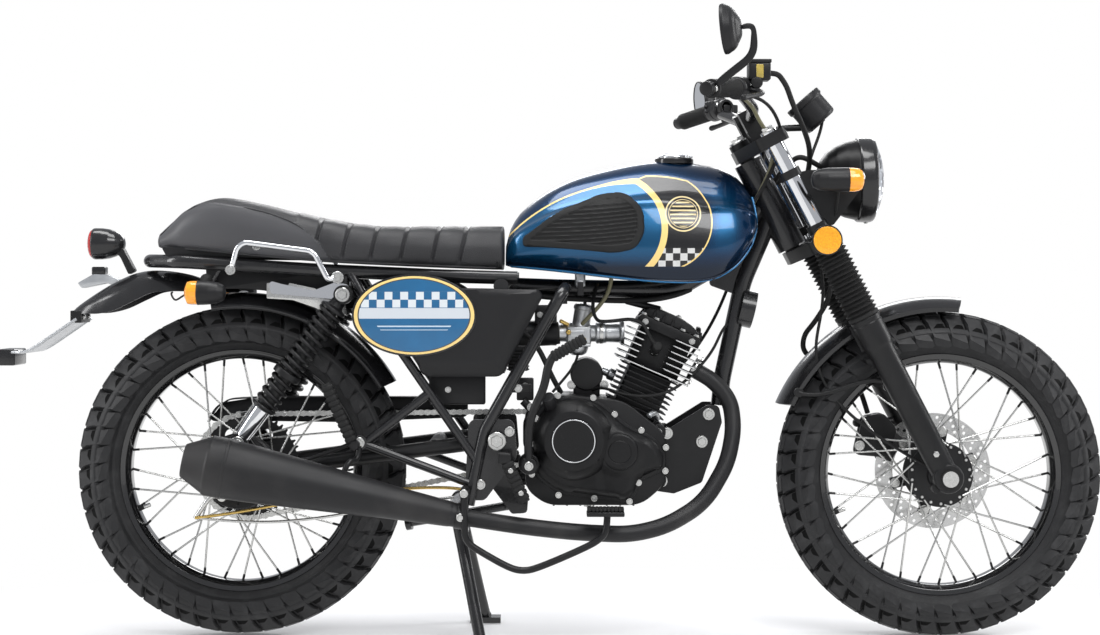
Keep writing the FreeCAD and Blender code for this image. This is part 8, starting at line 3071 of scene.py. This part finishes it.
@piece_operator("Exhaust")
class MOTORCYCLE_OT_exhaust(bpy.types.Operator):
    """Header clamp, cone silencer with its end cap, hanger and inner cone"""
    bl_idname = "motorcycle.exhaust"

    def execute(self, context):
        dress("exhaust_pipe", "exhaust")
        start = Vector((SILENCER_START.x, node_middle("silencer").y + 0.0145, SILENCER_START.z))
        wide = 0.0553
        body = turned("silencer_body", [(0.0195, 0.004), (0.0210, 0.004), (0.0225, 0.030), (0.0235, 0.034),
            (0.030, 0.130), (wide - 0.0140, 0.260), (wide - 0.0045, 0.380), (wide, 0.450), (wide, 0.4815),
            (wide - 0.0015, 0.484), (wide - 0.0035, 0.486), (0.0335, 0.522), (0.0305, 0.5275),
            (0.0290, 0.5285), (0.0265, 0.5275), (0.0260, 0.500), (0.0190, 0.480), (0.0, 0.478)], start,
            SILENCER_WAY, "exhaust", soft=0.0012, segments=96)
        band = turned("silencer_band", [(wide - 0.0006, 0.4475), (wide + 0.0008, 0.4485),
            (wide + 0.0008, 0.4535), (wide - 0.0006, 0.4545)], start, SILENCER_WAY, "exhaust", soft=0.0004,
            segments=96, closed=True)
        clamp = turned("header_clamp", [(0.0212, 0.002), (0.0242, 0.002), (0.0242, 0.022), (0.0212, 0.022)],
            start, SILENCER_WAY, "powder", soft=0.0008, segments=56, closed=True)
        hanger_at = start + SILENCER_WAY * 0.235
        hanger = tube("silencer_hanger", [hanger_at + Vector((0, 0.020, 0.026)),
            hanger_at + Vector((0.008, 0.022, 0.056)), (-0.352, -0.146, 0.345), (-0.352, -0.1435, 0.376)],
            0.0055, "powder")
        carry(joined("silencer_visual", [body, band, clamp, hanger]), "frame", "exhaust_black", "silencer")
        strap = tube("silencer_stay", [start + SILENCER_WAY * 0.330 + Vector((0, 0.030, 0.026)),
            (-0.470, -0.146, 0.340), (-0.430, -0.1395, 0.352), (-0.362, -0.1380, 0.378)], 0.0040, "powder")
        carry(strap, "frame", "black_metal")
        spots = [(start + SILENCER_WAY * 0.012 + Vector((0, -0.0243, 0)), (0, -1, 0), 0.9),
            (Vector((-0.352, -0.1445, 0.378)), (0, -1, 0), 1.2)]
        carry(bolts("exhaust_bolts", spots), "frame", "steel")
        return {"FINISHED"}


# ---------------------------------------------------------------------------
# Suspension, brake and foot pieces
# ---------------------------------------------------------------------------
SHOCK_TOP = Vector((-0.383, 0.128, 0.652))


def coil(name, foot, way, low, high, radius, wire, turns, finish_name):
    """A compression spring with closed ends about a line."""
    turn = Vector((0, 0, 1)).rotation_difference(way)
    points = []
    steps = int(turns * 12)
    for step in range(steps + 1):
        share = step / steps
        eased = 0.5 - 0.5 * math.cos(math.pi * share)
        climb = 0.86 * share + 0.14 * eased
        angle = 2 * math.pi * turns * share
        points.append(foot + turn @ Vector((radius * math.cos(angle), radius * math.sin(angle),
            low + wire + (high - low - 2 * wire) * climb)))
    return tube(name, points, wire, finish_name, resolution=2, sides=3)


@piece_operator("Shock absorbers")
class MOTORCYCLE_OT_shocks(bpy.types.Operator):
    """Twin shock absorbers with two-stage springs, collars and eyes"""
    bl_idname = "motorcycle.shock_absorbers"

    def execute(self, context):
        foot = Vector((REAR_AXLE.x + 0.010, SHOCK_TOP.y, REAR_AXLE.z + 0.060))
        way = (SHOCK_TOP - foot).normalized()
        long = (SHOCK_TOP - foot).length

        def shock():
            top = long - 0.034
            return joined("shock", [
                coil("shock_spring_low", foot, way, 0.086, 0.1485, 0.0213, 0.0040, 3.6, "powder"),
                coil("shock_spring_high", foot, way, 0.163, top - 0.002, 0.0213, 0.0040, 9.5, "powder"),
                turned("shock_collar", [(0.0140, 0.1500), (0.0270, 0.1500), (0.0275, 0.1515),
                    (0.0275, 0.1605), (0.0265, 0.1620), (0.0140, 0.1620)], foot, way, "powder", soft=0.001,
                    closed=True, segments=56),
                turned("shock_seat", [(0.0, 0.076), (0.0180, 0.076), (0.0245, 0.0795), (0.0250, 0.0830),
                    (0.0235, 0.0855), (0.0, 0.0855)], foot, way, "powder", soft=0.001, segments=48),
                turned("shock_body", [(0.0, 0.008), (0.0125, 0.008), (0.0145, 0.016), (0.0165, 0.050),
                    (0.0170, 0.078), (0.0, 0.078)], foot, way, "chrome", soft=0.001, segments=48),
                turned("shock_rod", [(0.0, 0.078), (0.0160, 0.078), (0.0160, 0.150), (0.0125, 0.152),
                    (0.0125, top), (0.0, top)], foot, way, "powder", soft=0.0006, segments=40),
                turned("shock_cap", [(0.0, top - 0.002), (0.0250, top - 0.002), (0.0255, top),
                    (0.0245, top + 0.004), (0.0150, top + 0.008), (0.0115, top + 0.026), (0.0, top + 0.026)],
                    foot, way, "powder", soft=0.0012, segments=56),
                turned("upper_eye", [(0.0081, -0.012), (0.0170, -0.012), (0.0178, -0.010), (0.0178, 0.010),
                    (0.0170, 0.012), (0.0081, 0.012)], SHOCK_TOP, (0, 1, 0), "powder", soft=0.0012,
                    closed=True, segments=48),
                turned("lower_eye", [(0.0081, -0.012), (0.0170, -0.012), (0.0178, -0.010), (0.0178, 0.010),
                    (0.0170, 0.012), (0.0081, 0.012)], foot, (0, 1, 0), "powder", soft=0.0012, closed=True,
                    segments=48)
            ])
        carry(joined("shock_absorbers_visual", at_pairs(shock)), "frame", "black_metal", "shock_absorbers")
        return {"FINISHED"}


@piece_operator("Rear brake and swingarm")
class MOTORCYCLE_OT_rear_end(bpy.types.Operator):
    """Brake panel with its lever and torque arm, chain adjusters and axle nuts"""
    bl_idname = "motorcycle.rear_end"

    def execute(self, context):
        for node, coat in (("swingarm", "powder"), ("main_frame", "enamel"), ("rear_frame", "enamel"),
                ("rear_axle", "zinc"), ("front_axle", "zinc"), ("centre_stand", "enamel"),
                ("side_stand", "enamel"), ("air_box", "plastic")):
            dress(node, coat)
        panel = turned("brake_panel", [(0.0101, 0.0635), (0.0690, 0.0635), (0.0695, 0.0665), (0.0665, 0.0705),
            (0.0560, 0.0735), (0.0545, 0.0765), (0.0400, 0.0785), (0.0300, 0.0805), (0.0290, 0.0820),
            (0.0101, 0.0820)], REAR_AXLE, (0, -1, 0), "casting", soft=0.0012, segments=96, closed=True)
        items = [panel]
        for step in range(8):
            angle = 2 * math.pi * step / 8
            rib = slab("panel_rib", (0.032, -0.0775, -0.002), (0.062, -0.0705, 0.002), "casting", bevel=0.001)
            rib.data.transform(Matrix.Translation(REAR_AXLE) @ Matrix.Rotation(angle, 4, "Y"))
            items.append(rib)
        items.append(tube("brake_lever", metres([(-615, -84, 270), (-630, -91, 280), (-650, -92, 255),
            (-664, -92, 232)]), 0.0048, "zinc"))
        items.append(rounded_rod("brake_cam", (-0.615, -0.068, 0.272), (-0.615, -0.092, 0.272), 0.0088,
            "zinc"))
        items.append(tube("torque_arm", metres([(-558, -79, 270), (-500, -84, 262), (-420, -86, 290),
            (-390, -88, 300)]), 0.0048, "enamel"))
        carry(joined("rear_brake_visual", items), "frame", "black_metal", "rear_brake_panel")
        rod_path = metres([(-664, -94, 234), (-560, -110, 224), (-420, -122, 236), (-300, -134, 262),
            (-176, -147, 278)])
        carry(tube("brake_rod", rod_path, 0.0026, "zinc"), "frame", "steel")
        blocks = []
        for side in (-1, 1):
            y = side * 0.109
            blocks.append(slab("adjuster_plate", (REAR_AXLE.x - 0.022, y + side * 0.0065,
                REAR_AXLE.z - 0.014), (REAR_AXLE.x + 0.022, y + side * 0.0095, REAR_AXLE.z + 0.014), "zinc",
                bevel=0.001))
            blocks.append(rounded_rod("adjuster_bolt", (REAR_AXLE.x - 0.052, y, REAR_AXLE.z),
                (REAR_AXLE.x - 0.026, y, REAR_AXLE.z), 0.0035, "zinc"))
            blocks.append(turned("adjuster_nut", [(0.0, 0.0), (0.0075, 0.0), (0.0075, 0.006), (0.0, 0.006)],
                (REAR_AXLE.x - 0.040, y, REAR_AXLE.z), (1, 0, 0), "zinc", segments=6, soft=0.0004))
        carry(joined("chain_adjusters", blocks), "frame", "steel")
        spots = []
        for side in (-1, 1):
            spots.append(((-0.097, side * 0.1435, 0.381), (0, side, 0), 2.0))
            spots.append(((-0.074, side * 0.1340, 0.398), (0, side, 0), 1.1))
            spots.append(((-0.128, side * 0.1340, 0.300), (0, side, 0), 1.1))
            spots.append(((-0.383, side * 0.1450, 0.652), (0, side, 0), 1.6))
            spots.append(((REAR_AXLE.x, side * 0.1305, REAR_AXLE.z), (0, side, 0), 1.2))
        carry(bolts("frame_bolts", spots), "frame", "steel")
        return {"FINISHED"}


def flat_section(edge):
    """Corners of a flattened bar's section in half widths; edge is where the chamfer starts."""
    return ((-1, -0.6), (-edge, -1), (edge, -1), (1, -0.6), (1, 0.6), (edge, 1), (-edge, 1), (-1, 0.6))


def ribbed_rubber(name, start, end, wide, thick, ribs, across_way):
    """A moulded rubber pad on a bar, with ribs across it."""
    start, end, across_way = Vector(start), Vector(end), Vector(across_way).normalized()
    way = (end - start).normalized()
    up = way.cross(across_way).normalized()
    length = (end - start).length
    rings = []

    def ring(along, a, b):
        return [start + way * along + across_way * a * x + up * b * y for x, y in flat_section(0.75)]
    rings.append(ring(0, wide * 0.86, thick * 0.86))
    step = (length - 0.004) / ribs
    for number in range(ribs):
        low = 0.002 + number * step
        rings += [
            ring(low, wide, thick),
            ring(low + step * 0.62, wide, thick),
            ring(low + step * 0.70, wide * 0.90, thick * 0.84),
            ring(low + step * 0.92, wide * 0.90, thick * 0.84)
        ]
    rings.append(ring(length, wide * 0.86, thick * 0.86))
    return bevelled(to_object(name, rings_mesh(rings), "rubber"), 0.0006, 1)


@piece_operator("Foot pieces")
class MOTORCYCLE_OT_foot_pieces(bpy.types.Operator):
    """Footpegs, pillion pegs, brake pedal, gear lever and kick starter"""
    bl_idname = "motorcycle.foot_pieces"

    def execute(self, context):
        def peg_pair():
            return joined("pegs", [
                rounded_rod("peg_stem", (-0.082, 0.1390, 0.352), (-0.082, 0.180, 0.352), 0.0108, "powder"),
                slab("peg_clevis", (-0.094, 0.150, 0.342), (-0.070, 0.186, 0.362), "powder", bevel=0.003),
                ribbed_rubber("peg_rubber", (-0.078, 0.176, 0.344), (-0.045, 0.176, 0.272), 0.0125, 0.0115, 8,
                    (0, 1, 0)),
                rounded_rod("pillion_stem", (-0.357, 0.1430, 0.376), (-0.361, 0.164, 0.374), 0.0088,
                    "powder"),
                ribbed_rubber("pillion_rubber", (-0.3645, 0.156, 0.381), (-0.413, 0.160, 0.488), 0.0112,
                    0.0105, 11, (0, 1, 0))
            ])
        carry(joined("footpegs_visual", at_pairs(peg_pair)), "frame", "rubber", "footpegs")
        pedal_path = metres([(-156, -199, 288), (-156, -199, 222), (-150, -199, 200), (-130, -199, 186),
            (-74, -199, 154), (-48, -199, 148), (-22, -198, 153), (70, -194, 192), (96, -191, 208),
            (105, -188, 222), (106, -186, 250)])
        items = [
            tube("pedal_arm", pedal_path, 0.0064, "powder"),
            rounded_rod("pedal_pivot", (-0.156, -0.206, 0.290), (-0.156, -0.1395, 0.290), 0.0090, "powder"),
            slab("pedal_pad", (0.068, -0.206, 0.2475), (0.137, -0.166, 0.2560), "powder", bevel=0.002)
        ]
        items.append(ribbed_rubber("pedal_rubber", (0.069, -0.186, 0.2600), (0.136, -0.186, 0.2600), 0.0195,
            0.0038, 9, (0, 1, 0)))
        items.append(tube("gear_arm", metres([(18, 137, 330), (60, 150, 300), (130, 156, 270),
            (150, 166, 271), (152, 199, 274)]), 0.0058, "zinc"))
        items.append(ribbed_rubber("gear_rubber", (0.1515, 0.168, 0.2725), (0.1520, 0.199, 0.2740), 0.0078,
            0.0078, 6, (1, 0, 0)))
        kick = metres([(-38, -154, 336), (-41, -156, 392), (-31, -164, 438), (-9, -176, 482), (-2, -182, 530),
            (10, -184, 543)])
        items.append(tube("kick_arm", kick, 0.0078, "powder"))
        items.append(rounded_rod("kick_shaft", (-0.038, -0.1150, 0.336), (-0.038, -0.1615, 0.336), 0.0150,
            "powder"))
        items.append(ribbed_rubber("kick_rubber", (0.006, -0.184, 0.5385), (0.0655, -0.184, 0.5725), 0.0105,
            0.0105, 9, (0, 1, 0)))
        carry(joined("foot_controls_visual", items), "frame", "black_metal", "foot_controls")
        spots = [((-0.038, -0.1616, 0.336), (0, -1, 0), 1.0), ((-0.156, -0.2062, 0.290), (0, -1, 0), 0.9)]
        spots += [(Vector((x, side * 0.1885, z)), (0, side, 0), 0.55)
            for x, z in ((-0.071, 0.330), (-0.052, 0.289)) for side in (-1, 1)]
        carry(bolts("foot_bolts", spots), "frame", "steel")
        return {"FINISHED"}


def cable(name, points, radius, finish_name, body="frame"):
    """A cable along a smooth path, on one body, or left unattached where it runs between the frame and the
    fork.
    """
    made = tube(name, [Vector(point) for point in points], radius, finish_name, resolution=8, order=4,
        sides=3)
    if body == "crossing":
        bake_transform(made)
        return made
    return carry(made, body, "rubber")


@piece_operator("Cables and loom")
class MOTORCYCLE_OT_cables(bpy.types.Operator):
    """Throttle, clutch, speedometer and brake cables, the looms and leads, and the small lines"""
    bl_idname = "motorcycle.cables"

    def execute(self, context):
        # Steering head: throttle and clutch cables, and the switch leads, sweep down behind the fork.
        cable("throttle_cable", [(0.339, -0.252, 1.011), (0.362, -0.232, 1.014), (0.398, -0.190, 1.008),
            (0.428, -0.120, 0.975), (0.440, -0.075, 0.940), (0.428, -0.052, 0.900), (0.405, -0.048, 0.855),
            (0.378, -0.046, 0.812), (0.345, -0.042, 0.750), (0.300, -0.040, 0.690), (0.200, -0.038, 0.668),
            (0.120, -0.030, 0.668), (0.074, -0.012, 0.664), (0.0685, 0.0, 0.640), (0.0665, 0.0, 0.628)],
            0.0032, "rubber", "crossing")
        cable("clutch_cable", [(0.347, 0.234, 1.011), (0.380, 0.215, 1.010), (0.418, 0.160, 0.992),
            (0.446, 0.096, 0.950), (0.440, 0.056, 0.905), (0.414, 0.050, 0.855), (0.386, 0.052, 0.800),
            (0.366, 0.062, 0.720), (0.335, 0.078, 0.620), (0.262, 0.088, 0.500), (0.180, 0.102, 0.452),
            (0.128, 0.112, 0.436)], 0.0032, "rubber", "crossing")
        cable("switch_lead_right", [(0.352, -0.236, 1.006), (0.372, -0.180, 1.000), (0.384, -0.128, 0.984),
            (0.404, -0.096, 0.962), (0.424, -0.064, 0.938), (0.424, -0.044, 0.900), (0.402, -0.040, 0.850),
            (0.374, -0.038, 0.800), (0.330, -0.034, 0.722)], 0.0036, "sheath", "crossing")
        cable("switch_lead_left", [(0.352, 0.236, 1.004), (0.370, 0.180, 0.998), (0.392, 0.110, 0.972),
            (0.418, 0.060, 0.942), (0.416, 0.042, 0.900), (0.396, 0.040, 0.850), (0.368, 0.038, 0.800),
            (0.326, 0.034, 0.722)], 0.0034, "rubber", "crossing")
        cable("main_loom", [(0.524, -0.012, 0.893), (0.500, -0.030, 0.905), (0.476, -0.036, 0.920),
            (0.458, -0.008, 0.902), (0.444, 0.032, 0.882), (0.428, 0.050, 0.860), (0.398, 0.046, 0.822),
            (0.360, 0.030, 0.768), (0.318, 0.026, 0.706), (0.270, 0.026, 0.672), (0.240, 0.016, 0.662)],
            0.0050, "rubber", "crossing")
        cable("meter_cable", [(0.524, 0.0, 0.986), (0.520, -0.002, 0.960), (0.498, -0.020, 0.920),
            (0.486, -0.040, 0.860), (0.508, -0.050, 0.790), (0.512, -0.050, 0.720), (0.520, -0.060, 0.660),
            (0.512, -0.056, 0.600), (0.500, -0.050, 0.545), (0.520, -0.050, 0.470), (0.600, -0.052, 0.396),
            (0.690, -0.058, 0.340), (0.726, -0.056, 0.322), (0.741, -0.056, 0.311)], 0.0030, "rubber",
            "steering")
        cable("indicator_lead", [(0.540, -0.140, 0.864), (0.537, -0.128, 0.850), (0.538, -0.108, 0.812),
            (0.534, -0.100, 0.800)], 0.0022, "rubber", "steering")
        # Frame: fuel line, breather and the loom along the backbone.
        cable("fuel_line", [(0.118, -0.034, 0.686), (0.116, -0.036, 0.664), (0.104, -0.038, 0.640),
            (0.080, -0.036, 0.614), (0.064, -0.024, 0.598), (0.062, -0.012, 0.594)], 0.0040, "sheath")
        cable("breather", [(0.022, -0.052, 0.466), (0.010, -0.062, 0.486), (-0.006, -0.066, 0.520),
            (-0.022, -0.064, 0.556), (-0.050, -0.062, 0.586), (-0.088, -0.060, 0.600)], 0.0052, "rubber")
        cable("backbone_loom", [(0.270, -0.006, 0.662), (0.248, -0.020, 0.652), (0.200, -0.024, 0.640),
            (0.120, -0.024, 0.640), (0.040, -0.024, 0.644), (-0.050, -0.024, 0.650), (-0.064, -0.008, 0.662)],
            0.0055, "rubber")
        cable("starter_lead", [(0.082, -0.030, 0.470), (0.098, -0.052, 0.478), (0.120, -0.074, 0.470),
            (0.150, -0.080, 0.462), (0.190, -0.082, 0.460), (0.230, -0.078, 0.470), (0.262, -0.060, 0.492),
            (0.300, -0.040, 0.530), (0.320, -0.024, 0.560), (0.332, -0.016, 0.590), (0.345, -0.007, 0.598)],
            0.0028, "rubber")
        cable("drain_tube", [(0.054, -0.004, 0.536), (0.050, -0.030, 0.520), (0.034, -0.060, 0.500),
            (0.020, -0.098, 0.486), (0.006, -0.104, 0.470)], 0.0026, "rubber")
        cable("rear_lamp_lead", [(-0.640, -0.118, 0.676), (-0.652, -0.150, 0.664), (-0.676, -0.168, 0.650),
            (-0.690, -0.150, 0.640), (-0.702, -0.120, 0.646), (-0.712, -0.084, 0.656),
            (-0.713, -0.060, 0.656)], 0.0018, "rubber")
        cable("brake_cable", [(-0.664, -0.096, 0.234), (-0.600, -0.098, 0.240), (-0.470, -0.098, 0.268),
            (-0.330, -0.104, 0.286), (-0.200, -0.118, 0.296), (-0.160, -0.144, 0.292)], 0.0030, "brass")
        return {"FINISHED"}


@piece_operator("Engine bay fittings")
class MOTORCYCLE_OT_engine_bay(bpy.types.Operator):
    """Coil, relay, regulator, stays, tray and bolts between the engine and the side covers"""
    bl_idname = "motorcycle.engine_bay"

    def execute(self, context):
        boxes = [
            slab("coil", (-0.028, -0.046, 0.596), (0.014, -0.006, 0.632), "plastic", bevel=0.004),
            slab("relay", (-0.062, -0.064, 0.452), (-0.030, -0.030, 0.494), "plastic", bevel=0.003),
            slab("regulator", (-0.078, -0.074, 0.508), (-0.040, -0.050, 0.556), "powder", bevel=0.003),
            slab("cover_stay", (-0.084, -0.126, 0.470), (-0.034, -0.120, 0.486), "powder", bevel=0.001),
            slab("coil_strap", (0.012, -0.030, 0.634), (0.034, -0.020, 0.664), "powder", bevel=0.001),
            rounded_rod("head_stay", (0.146, -0.020, 0.640), on_barrel(-0.030, -0.020, 0.204), 0.0065,
                "powder"),
            rounded_rod("rear_mount", (-0.050, -0.070, 0.452), (-0.018, -0.070, 0.420), 0.0080, "powder"),
            slab("lower_tray", (-0.226, -0.096, 0.446), (-0.120, -0.078, 0.502), "plastic", bevel=0.004)
        ]
        for number in range(7):
            z = 0.510 + number * 0.0062
            boxes.append(slab("regulator_fin", (-0.080, -0.080, z), (-0.038, -0.072, z + 0.0026), "powder",
                bevel=0.0006))
        carry(joined("engine_bay_boxes", boxes), "frame", "black_plastic")
        spots = [((-0.018, -0.0465, 0.614), (0, -1, 0), 0.7), ((-0.046, -0.0645, 0.480), (0, -1, 0), 0.7),
            ((-0.058, -0.1265, 0.478), (0, -1, 0), 0.9), ((-0.034, -0.079, 0.440), (0, -1, 0), 1.0),
            ((0.000, -0.078, 0.462), (0, -1, 0), 0.8), ((0.023, -0.0305, 0.646), (0, -1, 0), 0.7),
            ((-0.012, -0.086, 0.420), (0, -1, 0), 0.9), ((-0.190, -0.0965, 0.474), (0, -1, 0), 0.7)]
        carry(bolts("engine_bay_bolts", spots), "frame", "steel")
        return {"FINISHED"}


# ---------------------------------------------------------------------------
# Panel, registration and the build
# ---------------------------------------------------------------------------
class MOTORCYCLE_PT_panel(bpy.types.Panel):
    """Sizes, colours and the build steps of the motorcycle"""
    bl_idname = "MOTORCYCLE_PT_panel"
    bl_label = "Cafe racer motorcycle"
    bl_space_type = "VIEW_3D"
    bl_region_type = "UI"
    bl_category = "Motorcycle"

    def draw(self, context):
        for group in (name for name, _ in GROUPS):
            for name in getattr(context.scene, group).bl_rna.properties.keys():
                if name not in ("rna_type", "name"):
                    self.layout.prop(getattr(context.scene, group), name)
        for kind in OPERATORS:
            self.layout.operator(kind.bl_idname)


GROUPS = (("motorcycle_stage", StageSettings), ("motorcycle_wheels", WheelSettings),
    ("motorcycle_paint", PaintSettings), ("motorcycle_seat", SeatSettings))


def register():
    for name, kind in GROUPS:
        bpy.utils.register_class(kind)
        setattr(bpy.types.Scene, name, PointerProperty(type=kind))
    for kind in OPERATORS:
        bpy.utils.register_class(kind)
    bpy.utils.register_class(MOTORCYCLE_PT_panel)


def unregister():
    bpy.utils.unregister_class(MOTORCYCLE_PT_panel)
    for kind in reversed(OPERATORS):
        bpy.utils.unregister_class(kind)
    for name, kind in reversed(GROUPS):
        delattr(bpy.types.Scene, name)
        bpy.utils.unregister_class(kind)


def main():
    register()
    for kind in OPERATORS:
        group, _, name = kind.bl_idname.partition(".")
        getattr(getattr(bpy.ops, group), name)()


if __name__ == "__main__":
    main()
